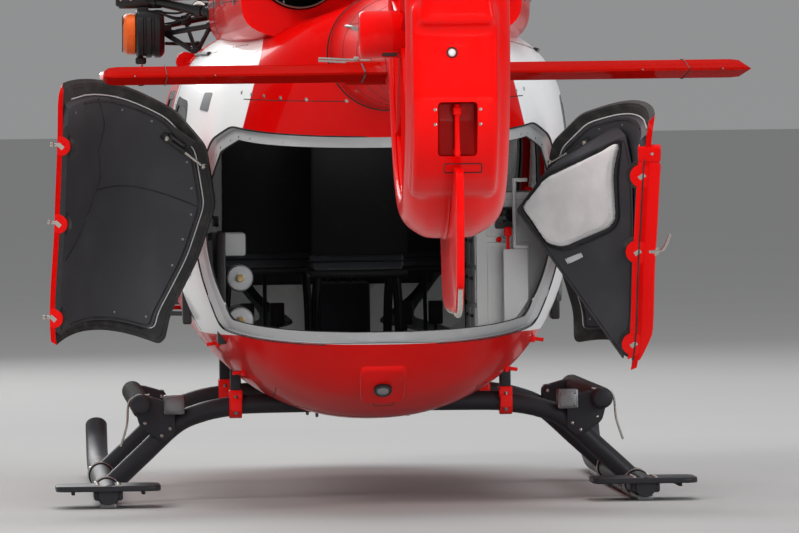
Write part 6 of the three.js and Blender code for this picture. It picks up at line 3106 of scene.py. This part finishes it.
    def _ventral(self) -> None:
        """The bumper fin under the shroud."""
        outline = [
            (6990, 1010), (7120, 965), (7850, 960), (7965, 1060), (8010, 1300), (8000, 1470),
            (7800, 1480), (7190, 1290), (6880, 1310),
        ]
        plate = prism(rounded(outline, 60), Axis.X, -13.5, 13.5)
        drum = rod((-60, *self.fan[1:]), (60, *self.fan[1:]), self.rim - 12, 96)
        plate = plate.cut(drum, prism(self.rear, Axis.X, -60, 60)).eased(6, 3, 40)
        self.add("ventral_bumper", plate, RED, replaces=["ventral_fin"], crease=40)
        root, reach = [], self.rim - 2
        for way in (-1, 1):
            path = [
                (way * 15, self.fan[1] + reach * math.cos(t), self.fan[2] + reach * math.sin(t))
                for t in np.linspace(math.radians(-118), math.radians(-40), 30)
            ]
            root.append(tube(path, 7, 8))
        skid = bent(
            [(0, 7010, 1000), (0, 7130, 962), (0, 7500, 957), (0, 7850, 957), (0, 7955, 1050)], 6,
            9, 12, tag=1,
        )
        self.add("ventral_root", joined(root) + skid, RED, STEEL)

    def _fittings(self) -> None:
        """Rod aerials, strobe and static wicks."""
        rod_path = smoothed([(382, 5250, 1881), (240, 5238, 1873), (150, 5230, 1868)], 5)
        parts = [tube(rod_path, 9, 14), rod((246, 5238, 1874), (226, 5236, 1873), 17, 18, 4)]
        for way in (-1, 1):
            loop = smoothed(
                [
                    (way * 180, 4700, 1990), (way * 250, 4720, 2010), (way * 262, 5300, 2006),
                    (way * 186, 5330, 1984),
                ],
                7,
            )
            parts.append(tube(loop, 5, 10))
        self.add("rod_aerials", parts, STEEL)
        strobe = lathe([(0, -4), (34, -4), (34, 6), (26, 10), (24, 32), (14, 42), (0, 44)], Axis.Z,
                       (0, 4100, BOOM.height(4100, 0, True)), 32)
        strobe = strobe.lit_above(BOOM.height(4100, 0, True) + 11)
        self.add("boom_strobe", strobe, CAST, LAMP_CLEAR)
        wicks = []
        for x in (-1100, -800, 800, 1100):
            wicks.append(rod((x, 6022, 1823), (x, 6110, 1819), self.wick, 8))
        for z in (3300, 3500, 3700):
            s = 8065 + (z - 3400) * 0.12
            wicks.append(rod((0, s - 20, z), (0, s + 50, z - 4), self.wick, 8))
        self.add("static_wicks", wicks, SATIN_BLACK)


@dataclass
class TailFan(Assembly):
    """The turning fan and the fixed gearbox with its vanes."""

    slot: str = "fan_red"
    centre: tuple[float, float, float] = (0, 7190, 1955)
    blades: int = 10
    vanes: int = 7
    tip: float = 570
    # Radius, chord, thickness and twist.
    blade_rows: tuple[Point, ...] = ((96, 70, 20, 55), (300, 74, 13, 36), (570, 70, 9, 24))

    def _blade(self, angle: float) -> Solid:
        """One twisted blade.

        Args:
            angle: The turn about the fan's axis, in radians.

        Returns:
            The blade.
        """
        curves = columns(self.blade_rows)
        t = np.linspace(0, 2 * math.pi, 22, endpoint=False)
        chord_line = 0.5 * np.cos(t)
        depth = 0.5 * np.sin(t) * (0.72 + 0.28 * np.cos(t + math.pi))
        rings = []
        for radius in [*np.linspace(96, self.tip - 10, 12), self.tip - 3, self.tip]:
            chord, thick, twist = (float(c(radius)) for c in curves)
            shrink = 1 - max(0.0, (radius - self.tip + 10) / 10) ** 2 * 0.3
            turn = math.radians(twist)
            u, v = chord_line * chord * shrink, depth * thick * shrink
            x = u * math.sin(turn) + v * math.cos(turn) - 60
            y = u * math.cos(turn) - v * math.sin(turn)
            rings.append(np.column_stack([x, y, np.full(len(t), radius)]))
        place = Matrix.Translation(self.centre) @ Matrix.Rotation(angle, 4, "X")
        return loft(rings).placed(place)

    def _port(self, radius: float) -> None:
        """A black oval low on the housing's back: painted shade for its cooling port.

        Args:
            radius: The housing's radius.
        """
        normal = Vector((0, 0.547, -0.837))
        level = Vector((1, 0, 0))
        turn = Matrix((level, normal.cross(level), normal)).transposed().to_4x4()
        place = Vector((self.centre[0] + 204, *self.centre[1:])) + normal * (radius - 5)
        oval = rounded(rect(-31, -16, 31, 16), 15)
        port = prism(oval, Axis.Z, -3, 5.6)
        lip = tube([(x, y, 5) for x, y in dense(oval, 5)], 2.6, 8, closed=True).tagged(1)
        self.add(
            "housing_port", (port + lip).placed(Matrix.Translation(place) @ turn), SATIN_BLACK, RED,
        )

    def build(self) -> None:
        """Makes the fan, the gearbox and the vanes."""
        angles = np.arange(self.blades) / self.blades * 2 * math.pi
        hub = lathe(
            [
                (0, -128), (34, -127), (60, -119), (88, -106), (103, -90), (108, -60), (108, -18),
                (101, 4), (96, 10), (0, 10),
            ],
            Axis.X, self.centre, 64, 1,
        )
        cuffs = []
        for angle in angles:
            direction = np.array([0, -math.sin(angle), math.cos(angle)])
            start = np.array(self.centre) + (-60, 0, 0)
            cuffs.append(rod(start + direction * 92, start + direction * 124, 17, 18, 4, tag=1))
        shaft = rod((-40, *self.centre[1:]), (88, *self.centre[1:]), 30, 24, tag=1)
        bolts = [
            dome(
                (-123, self.centre[1] + 40 * math.cos(a), self.centre[2] + 40 * math.sin(a)),
                (-1, 0, 0), 6, 4, 8, 1,
            )
            for a in np.arange(8) * math.pi / 4
        ]
        fan = joined([*[self._blade(a) for a in angles], hub, shaft, *cuffs, *bolts])
        self.add(
            "fan_rotor", fan, CAST, DARK_CAST, body="tail_fan", slot="fan_grey",
            replaces=["tail_fan"], crease=40,
        )
        radius, inner, outer = 86, 18, 313
        case = lathe(rounded(rect(38, inner, radius, outer), 26, 6), Axis.X, self.centre, 64)
        plug = lathe(
            [(0, inner + 82), (42, inner + 82), (42, outer - 4), (34, outer), (0, outer)], Axis.X,
            self.centre, 48,
        )
        parts = [case, plug]
        section = np.linspace(0, 2 * math.pi, 18, endpoint=False)
        for k in range(self.vanes):
            angle = (k + 0.5) / self.vanes * 2 * math.pi
            rings = [
                np.column_stack([110 + 55 * np.cos(section), 8 * np.sin(section), np.full(18, r)])
                for r in (60, 320, 579)
            ]
            place = Matrix.Translation(self.centre) @ Matrix.Rotation(angle, 4, "X")
            parts.append(loft(rings).placed(place))
        rib = lathe(
            [(radius - 1, 60), (radius + 5, 62), (radius + 5, 70), (radius - 1, 72)], Axis.X,
            self.centre, 64,
        )
        self._port(radius)
        self.add("fan_gear_housing", [*parts, rib], RED, replaces=["fan_gearbox"], crease=40)


@dataclass
class LandingGear(Assembly):
    """Skids, cross tubes, boarding steps and their clamps."""

    slot: str = "gear_black"
    skid_x: float = 1150
    skid_z: float = 60
    rear: float = 1420
    step_x: float = 1000
    step_z: float = 430

    def build(self) -> None:
        """Makes the whole gear."""
        for side in Side:
            self._skid(side)
            self._step(side)
        for name, station in CROSS_TUBE_STATIONS.items():
            path = cross_tube_path(station)
            self.add(
                f"cross_tube_{name}_bar", tube(path, 42, 28), GEAR_PAINT,
                replaces=[f"cross_tube_{name}"], crease=50,
            )
        self._fittings()

    def _skid(self, side: Side) -> None:
        """A skid tube with its shoes, saddles and rear plate.

        Args:
            side: The side it is on.
        """
        x = side.value * self.skid_x
        z = self.skid_z
        path = smoothed([(x, s, h) for s, h in (
            (self.rear, z), (600, z), (-400, z), (-1400, z), (-1750, z + 14), (-1960, z + 90),
            (-2080, z + 190),
        )], 10)
        radii = np.full(len(path), 50.0)
        radii[0], radii[-1] = 42, 34
        parts = [tube(path, radii, 32)]
        for low, high in ((-1560, -560), (-500, 420), (480, self.rear - 30)):
            parts.append(block((x - 34, low, 0), (x + 34, high, 24), 6, tag=1, segments=3))
        outline = rounded(rect(x - 225, 1080, x + 225, 1440), 70, 8)
        parts.append(prism(outline, Axis.Z, 75, 99).eased(6, 3, 40))
        for dx in (-150, 150):
            parts.append(block((x + dx - 8, 1120, 60), (x + dx + 8, 1400, 78), 3))
        parts.append(block((x - 62, 1118, 36), (x + 62, 1402, 80), 10, segments=3))
        bolts = [
            dome((x + dx, s, 99), (0, 0, 1), 10, 7, 12, 2)
            for dx in (-46, 46) for s in (1160, 1260, 1360)
        ]
        for station in CROSS_TUBE_STATIONS.values():
            saddle = lathe(rounded(rect(50.3, -70, 57, 70), 3, 3), Axis.Y, (x, station, z), 48)
            parts.append(saddle)
            for ds in (-52, 52):
                parts.append(
                    lathe(
                        [(56, -8), (60, -7), (60, 7), (56, 8)], Axis.Y, (x, station + ds, z), 40, 2,
                    )
                )
            for way in (-1, 1):
                for ds in (-36, 0, 36):
                    bolts.append(
                        dome((x + way * 48, station + ds, z + 30), (way, 0, 0.6), 9, 7, 10, 2)
                    )
        self.add(
            f"skid_{side.word}_tube", parts + bolts, GEAR_PAINT, CAST, STEEL,
            replaces=[f"skid_{side.word}"], crease=45,
        )

    def _step(self, side: Side) -> None:
        """A boarding step on two bolted bracket plates.

        Args:
            side: The side it is on.
        """
        x = side.value
        at = x * self.step_x
        parts = [rod((at, -1010, self.step_z), (at, 1000, self.step_z), 45, 32, 14)]
        ribs = []
        for s in np.arange(-930, 940, 60):
            ribs.append(
                lathe(
                    [(44, -9), (46.6, -7), (46.6, 7), (44, 9)], Axis.Y, (at, s, self.step_z), 32, 1,
                )
            )
        for station in CROSS_TUBE_STATIONS.values():
            corners = [
                (at - x * 150, 300), (at - x * 96, 262), (at + x * 2, 330), (at + x * 34, 448),
                (at - x * 40, 462), (at - x * 150, 430),
            ]
            outline = corners if x < 0 else corners[::-1]
            for ds in (-58, 44):
                plate = prism(
                    rounded(outline, 20), Axis.Y, station + ds, station + ds + 14,
                ).eased(3, 2, 40)
                parts.append(plate)
                for dx, z in ((-128, 412), (-128, 322), (-92, 292), (-20, 348), (0, 430)):
                    parts.append(
                        dome(
                            (at + x * dx, station + (58 if ds > 0 else -58), z), (0, ds, 0), 9, 8,
                            10, 2,
                        )
                    )
            parts.append(
                block((at - x * 142, station - 46, 330), (at - x * 44, station + 46, 440), 10)
            )
        self.add(
            f"step_{side.word}_bar", parts + ribs, GEAR_PAINT, SEAL, STEEL,
            replaces=[f"step_{side.word}"], crease=45,
        )
        cables = bent(
            [
                (at - x * 40, 900, 470), (at + x * 44, 930, 450), (at + x * 60, 960, 340),
                (at + x * 88, 960, 250),
            ],
            7, 5, 10,
        )
        self.add(f"ground_wire_{side.word}", cables, STEEL)

    def _fittings(self) -> None:
        """Red clamps with bolts, and the alloy boxes beside the steps."""
        clamps, boxes = [], []
        for station in CROSS_TUBE_STATIONS.values():
            for side in Side:
                x = side.value * FITTING_X
                path = cross_tube_path(station)
                near = path[np.argmin(np.abs(path[:, 0] - x))]
                top = CABIN.height(station, x, False) + 24
                clamps.append(
                    block(
                        (x - 29, station - 58, near[2] + 16), (x + 29, station + 58, near[2] + 66),
                        7, segments=3,
                    )
                )
                clamps.append(
                    block(
                        (x - 23, station - 44, near[2] + 58), (x + 23, station + 44, top), 6, 1, 3,
                    )
                )
                ring = lathe(rounded(rect(42.5, -28, 57, 28), 5, 3), Axis.X, near, 40)
                clamps.append(ring)
                for ds in (-56, 56):
                    clamps.append(
                        block(
                            (x - 25, station + ds - 14, near[2] - 26),
                            (x + 25, station + ds + 14, near[2] + 30), 5,
                        )
                    )
                    boxes.append(
                        rod(
                            (x, station + ds, near[2] - 40), (x, station + ds, near[2] + 44), 8, 12,
                            2,
                        )
                    )
        self.add("gear_clamps", clamps, RED, GEAR_PAINT, slot="red_paint")
        for side in Side:
            x = side.value
            body = block((x * 808, 872, 384), (x * 900, 940, 468), 9, segments=3)
            lid = block((x * 818, 938, 394), (x * 890, 948, 458), 4)
            boxes += [body, lid]
            for dx in (824, 884):
                for z in (400, 452):
                    boxes.append(dome((x * dx, 948, z), (0, 1, 0), 5, 3, 8))
        self.add("gear_boxes", boxes, CAST)


@dataclass
class Hoist(Assembly):
    """The rescue hoist on the left of the roof."""

    slot: str = "hoist_black"
    at: tuple[float, float, float] = (960, 60, 2040)

    def build(self) -> None:
        """Makes the frame, winch, cover and hook."""
        x, s, z = self.at
        head = np.array([x, s, z + 158])
        feet = np.array(
            [(600, -260, 2215), (600, 380, 2215), (640, -160, 2125), (640, 280, 2125)], float,
        )
        frame_parts = []
        for foot in feet:
            way = (head - foot) / np.linalg.norm(head - foot)
            frame_parts.append(rod(foot, head - way * 10, 19, 24))
            frame_parts.append(rod(foot + way * 60, foot + way * 100, 26, 24, 5))
            frame_parts.append(rod(head - way * 96, head - way * 60, 26, 24, 5))
        frame_parts.append(
            block((x - 128, s - 33, z + 122), (x + 108, s + 33, z + 178), 9, segments=3)
        )
        bolts = []
        for dx in (-104, -60, 40, 84):
            for way in (-1, 1):
                bolts.append(dome((x + dx, s + way * 33, z + 150), (0, way, 0), 9, 7, 10, 1))
        pads = [block(foot + (-24, -30, -26), foot + (30, 30, 30), 8) for foot in feet]
        self.add(
            "hoist_truss", frame_parts + bolts + pads, SATIN_BLACK, STEEL, replaces=["hoist_frame"],
        )
        drum = [
            (0, -105), (86, -105), (98, -96), (106, -84), (106, -62), (99, -58), (99, -50),
            (106, -46), (106, -26), (99, -22), (99, -14), (106, -10), (106, 12), (100, 20), (0, 20),
        ]
        winch = lathe(drum, Axis.X, (x, s, z), 64)
        mount = block((x - 36, s - 49, z + 60), (x + 14, s + 49, z + 119), 8)
        motor = rod((x - 100, s + 40, z + 66), (x + 10, s + 40, z + 66), 38, 28, 6)
        plug = rod((x - 60, s - 70, z + 60), (x - 60, s - 104, z + 86), 15, 16, 3, tag=1)
        self.add(
            "hoist_drum", [winch, mount, motor, plug], SATIN_BLACK, DARK_CAST,
            replaces=["hoist_winch"],
        )
        cover = [(0, 20.5), (82, 20.5), (91, 26), (92, 40), (90, 62), (80, 74), (60, 78), (0, 78)]
        shell = lathe(cover, Axis.X, (x, s, z), 64)
        strap = block((-93, -11, -2.5), (93, 11, 2.5), 2, tag=1).placed(
            Matrix.Translation((x + 79, s, z)) @ Matrix.Rotation(math.radians(52), 4, "X")
            @ Matrix.Rotation(math.radians(90), 4, "Z") @ Matrix.Rotation(math.radians(90), 4, "X")
        )
        self.add(
            "hoist_shell", shell + strap, ORANGE, SATIN_BLACK, slot="hoist_orange",
            replaces=["hoist_cover"],
        )
        cap = rod((x - 98, s + 14, z + 138), (x + 96, s + 14, z + 138), 26, 24, 8)
        self.add("hoist_cap", cap, SATIN_BLACK)
        bumper = lathe(
            [(0, -104), (20, -104), (24, -108), (24, -128), (18, -134), (0, -134)], Axis.Z,
            (x, s, z), 32, 1,
        )
        hook_path = smoothed([(x + a, s + a * 0.4, z + b) for a, b in (
            (0, -130), (0, -150), (26, -172), (34, -198), (10, -224), (-22, -216), (-30, -194),
        )], 8)
        radii = np.interp(np.linspace(0, 1, len(hook_path)), [0, 0.3, 0.6, 1], [7.5, 8, 8, 4.5])
        gate = rod((x - 28, s - 11, z - 196), (x + 6, s + 2, z - 162), 3, 10)
        hook = tube(hook_path, radii, 16) + gate + bumper
        self.add("hoist_hook_set", hook, STEEL, SEAL, slot="hoist_steel", replaces=["hoist_hook"])
        struts = []
        for start, end, radius in (
            ((850, 0, 2076), (622, -60, 2118), 14), ((850, 60, 2040), (716, 120, 1952), 12),
            ((850, 60, 2040), (650, 200, 2072), 12), ((850, -40, 1998), (700, -100, 1992), 8),
            ((716, 120, 1952), (655, 190, 2066), 10), ((760, 10, 2096), (716, 120, 1956), 9),
        ):
            struts.append(rod(start, end, radius, 16, 3))
            struts.append(dome(end, np.array(end) - np.array(start), radius + 7, radius + 4, 16))
        for at in ((846, 30, 2058), (716, 120, 1952), (758, 12, 2098)):
            struts.append(block(np.array(at) - (24, 26, 22), np.array(at) + (24, 26, 22), 7))
        self.add("hoist_struts", struts, SATIN_BLACK)
        saddle = lathe(rounded(rect(0, -30, 44, 30), 10, 3), Axis.Y, (764, 150, 1914), 32)
        saddle = saddle + block((700, 126, 1878), (764, 174, 1950), 8)
        self.add("hoist_saddle", saddle, RED, slot="red_paint")
        wires = []
        for k, (a, b) in enumerate(((-46, 30), (34, 52), (70, 18))):
            wires.append(
                bent(
                    [
                        (x - 70, s + a, z + 96), (x - 180, s + a * 1.6, z + 40 + b),
                        (x - 270, s + a * 2.2, z + 96 + b), (640, s + a * 2.4, 2160 + b * 0.3),
                    ],
                    8, 6 - k, 10,
                )
            )
        self.add("hoist_wires", wires, SEAL)
        spot = (702, s + 60, 2150)
        lamp = lathe([(0, 0), (26, 0), (34, 14), (34, 30), (0, 30)], Axis.Y, spot, 28)
        lamp += lathe([(0, 29), (31, 29), (28, 38), (0, 42)], Axis.Y, spot, 28, 1)
        self.add("hoist_floodlight", lamp, SATIN_BLACK, LAMP_CLEAR)


@dataclass
class MainRotor(Assembly):
    """Hub, mast and four blades."""

    body: str = "main_rotor"
    slot: str = "blade_grey"
    hub_z: float = 3310
    root: float = 420
    radius: float = 5500
    droop: float = 190
    first: float = 45
    # Radius, chord, thickness and sweep.
    blade_rows: tuple[Point, ...] = (
        (420, 150, 110, 0), (700, 170, 96, 0), (1000, 250, 52, 6), (1300, 325, 38, 12),
        (3200, 325, 36, 12), (5150, 325, 34, 12), (5400, 270, 26, 40), (5500, 170, 14, 84),
    )

    def build(self) -> None:
        """Makes the hub and the blades."""
        self._hub()
        for number in range(1, 5):
            self._blade(number)

    def _blade(self, number: int) -> None:
        """A blade lofted through its sections, with cuff and tip.

        Args:
            number: The blade's number.
        """
        curves = columns(self.blade_rows)
        upper = Fair([-0.28, -0.24, -0.1, 0.2, 0.5, 0.72], [0, 0.3, 0.5, 0.42, 0.2, 0.03])
        lower = Fair([-0.28, -0.24, -0.1, 0.2, 0.5, 0.72], [0, -0.28, -0.45, -0.36, -0.16, -0.03])
        f = -0.28 + 0.5 * (1 - np.cos(np.linspace(0, math.pi, 18)))
        places = [
            *np.linspace(420, 1400, 26), *np.linspace(1500, 5100, 30), *np.linspace(5150, 5500, 14),
        ]
        rings = []
        for r in places:
            chord, thick, sweep = (float(c(r)) for c in curves)
            drop = self.droop * ((r - self.root) / (self.radius - self.root)) ** 2
            line = np.concatenate([f, f[-1:0:-1]])
            height = np.concatenate([upper(f), lower(f[-1:0:-1])])
            rings.append(np.column_stack([
                np.full(len(line), r), -line * chord - sweep, self.hub_z - drop + height * thick,
            ]))
        blade = loft(rings)
        along, chordwise, _ = blade.middles().T
        blade.tags = np.where(along > 5180, 1, 0)
        blade.tags[(along > 1250) & (chordwise > 70)] = 2
        drops = rod((470, 0, self.hub_z), (505, 0, self.hub_z), 62, 28, 6, tag=2)
        turn = Matrix.Rotation(math.radians(self.first + (number - 1) * 90), 4, "Z")
        self.add(
            f"rotor_blade_{number}_skin", (blade + drops).placed(turn), BLADE, WHITE, DARK_CAST,
            replaces=[f"rotor_blade_{number}"], crease=40,
        )

    def _hub(self) -> None:
        """Mast, hub plate, arms, swashplate and pitch links."""
        z = self.hub_z
        parts = [
            lathe(
                [(0, 2561), (66, 2561), (62, 2600), (62, z - 60), (84, z - 30), (0, z - 30)],
                Axis.Z, (0, 0, 0), 48,
            ),
            lathe(
                [
                    (0, -70), (120, -68), (152, -58), (186, -36), (200, -18), (202, 10), (198, 34),
                    (160, 50), (122, 64), (104, 84), (92, 116), (60, 126), (0, 128),
                ],
                Axis.Z, (0, 0, z), 64,
            ),
            lathe(
                rounded([(66, 2890), (190, 2890), (190, 2936), (66, 2950)], 10, 3), Axis.Z,
                (0, 0, 0), 64, 1,
            ),
            lathe(rounded(rect(66, 2844, 176, 2884), 10, 3), Axis.Z, (0, 0, 0), 64, 1),
        ]
        for number in range(4):
            turn = Matrix.Rotation(math.radians(self.first + number * 90), 4, "Z")
            arm = rod((60, 0, z), (self.root - 1, 0, z), 46, 28, 4)
            fork = block((150, -66, z - 44), (330, 66, z - 24), 8) + block(
                (150, -66, z + 24), (330, 66, z + 44), 8,
            )
            damper = rod((190, 92, z + 4), (392, 78, z + 2), 22, 20, 5, tag=1)
            link = rod((196, -110, 2930), (330, -118, z - 40), 8, 14, 2, tag=2)
            horn = block((300, -130, z - 54), (360, -30, z - 32), 8, tag=1)
            pin = rod((372, 0, z - 64), (372, 0, z + 64), 17, 18, 4, tag=2)
            parts.append((arm + fork + damper + link + horn + pin).placed(turn))
        for a in np.arange(12) * math.pi / 6:
            parts.append(
                dome((136 * math.cos(a), 136 * math.sin(a), z + 58), (0, 0, 1), 10, 9, 8, 2)
            )
        self.add(
            "rotor_head", parts, CAST, DARK_CAST, STEEL, slot="rotor_metal", replaces=["rotor_hub"],
            crease=40,
        )


def door_pouch(yard: Yard) -> DoorPouch:
    """The pouch, which hangs on the rear doors."""
    return DoorPouch(RearDoors(yard))


PARTS: tuple[Callable[[Yard], object], ...] = (
    Fuselage, Glazing, SideDoors, RearDoors, door_pouch, Cabin, EngineDeck, Tail, TailFan,
    LandingGear, Hoist, MainRotor,
)


@dataclass
class Studio:
    """The camera at the photograph's angle, a grey floor and soft light."""

    place: tuple[float, float, float] = (1.717, 36.44, 1.65)
    heading: float = 0.0491
    pitch: float = 0.0170
    roll: float = -0.0133
    lens: float = 392.0
    sensor: float = 36.0
    floor_radius: float = 900.0

    def build(self) -> None:
        """Makes the camera, floor, lights and world."""
        self._camera()
        self._floor()
        self._lights()
        self._world()

    def _camera(self) -> None:
        """A long lens behind the machine."""
        data = bpy.data.cameras.new("camera")
        data.lens, data.sensor_width = self.lens, self.sensor
        data.clip_start, data.clip_end = 0.5, 3000
        camera = new_object("camera", data)
        look = Vector((-self.heading, -1, -self.pitch)).normalized()
        turn = look.to_track_quat("-Z", "Y").to_matrix() @ Matrix.Rotation(self.roll, 3, "Z")
        camera.matrix_world = Matrix.Translation(self.place) @ turn.to_4x4()
        bpy.context.scene.camera = camera

    def _floor(self) -> None:
        """A wide disc under the skids."""
        turn = np.arange(96) / 96 * 2 * math.pi
        points = np.column_stack([np.cos(turn), np.sin(turn), np.zeros(96)]) * self.floor_radius
        mesh = bpy.data.meshes.new("studio_floor")
        mesh.from_pydata(points.tolist(), [], [tuple(range(96))])
        mesh.materials.append(STUDIO_FLOOR.material())
        new_object("studio_floor", mesh)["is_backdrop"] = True

    def _lights(self) -> None:
        """Large soft panels that the camera doesn't see."""
        panels = (
            ("key", (13, 17, 15), 12, 3400, (1.0, 0.97, 0.93), False),
            ("fill", (-16, 14, 7), 10, 1200, (0.93, 0.96, 1.0), True),
            ("top", (0, -1, 20), 16, 2700, (0.97, 0.98, 1.0), False),
            ("front", (6, -20, 10), 12, 1500, (1.0, 1.0, 1.0), True),
            ("rear", (-3, 27, 3), 8, 2600, (1.0, 1.0, 1.0), False),
        )
        for name, place, size, power, colour, mirrored in panels:
            data = bpy.data.lights.new(name, "AREA")
            data.shape, data.size, data.energy, data.color = "DISK", size, power, colour
            light = new_object(name, data)
            light.location = place
            aim = Vector((0, 0, 1.4)) - Vector(place)
            light.rotation_euler = aim.to_track_quat("-Z", "Y").to_euler()
            light.visible_camera = False
            light.visible_glossy = mirrored

    def _world(self) -> None:
        """An even pale surround, brighter overhead."""
        world = bpy.data.worlds.new("surround")
        world.use_nodes = True
        tree = world.node_tree
        tree.nodes.clear()
        place = tree.nodes.new("ShaderNodeTexCoord")
        split = tree.nodes.new("ShaderNodeSeparateXYZ")
        ramp = tree.nodes.new("ShaderNodeValToRGB")
        shades = ((0.0, 0.4), (0.5, 0.47), (0.56, 0.45), (0.75, 0.62), (1.0, 1.0))
        while len(ramp.color_ramp.elements) < len(shades):
            ramp.color_ramp.elements.new(1.0)
        for stop, (at, shade) in zip(ramp.color_ramp.elements, shades):
            stop.position, stop.color = at, (shade, shade * 1.005, shade * 1.02, 1)
        shift = tree.nodes.new("ShaderNodeMapRange")
        shift.inputs["From Min"].default_value = -1
        background = tree.nodes.new("ShaderNodeBackground")
        background.inputs["Strength"].default_value = 0.6
        output = tree.nodes.new("ShaderNodeOutputWorld")
        links = (
            (place.outputs["Generated"], split.inputs[0]), (split.outputs[2], shift.inputs[0]),
            (shift.outputs[0], ramp.inputs[0]), (ramp.outputs[0], background.inputs["Color"]),
            (background.outputs[0], output.inputs["Surface"]),
        )
        for start, end in links:
            tree.links.new(start, end)
        bpy.context.scene.world = world
        bpy.context.scene.view_settings.view_transform = "Standard"


def write_sizes(cad: object) -> None:
    """Builds the CAD box and the visual model's box as plain lists; nothing keeps or writes them.

    Args:
        cad: The lowest and the highest corner of the CAD.
    """
    def plain(bounds: object) -> list:
        """A box as lists of numbers."""
        return [[float(v) for v in corner] for corner in bounds]

    {"cad": plain(cad), "visual": plain(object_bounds())}


def main() -> None:
    """Builds the helicopter and its studio."""
    logging.basicConfig(level=logging.INFO, format="%(name)s: %(message)s")
    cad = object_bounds()
    Studio().build()
    yard = Yard()
    for part in PARTS:
        part(yard).build()
    LOG.info("%d pieces made", len(yard.made))
    write_sizes(cad)


if __name__ == "__main__":
    main()
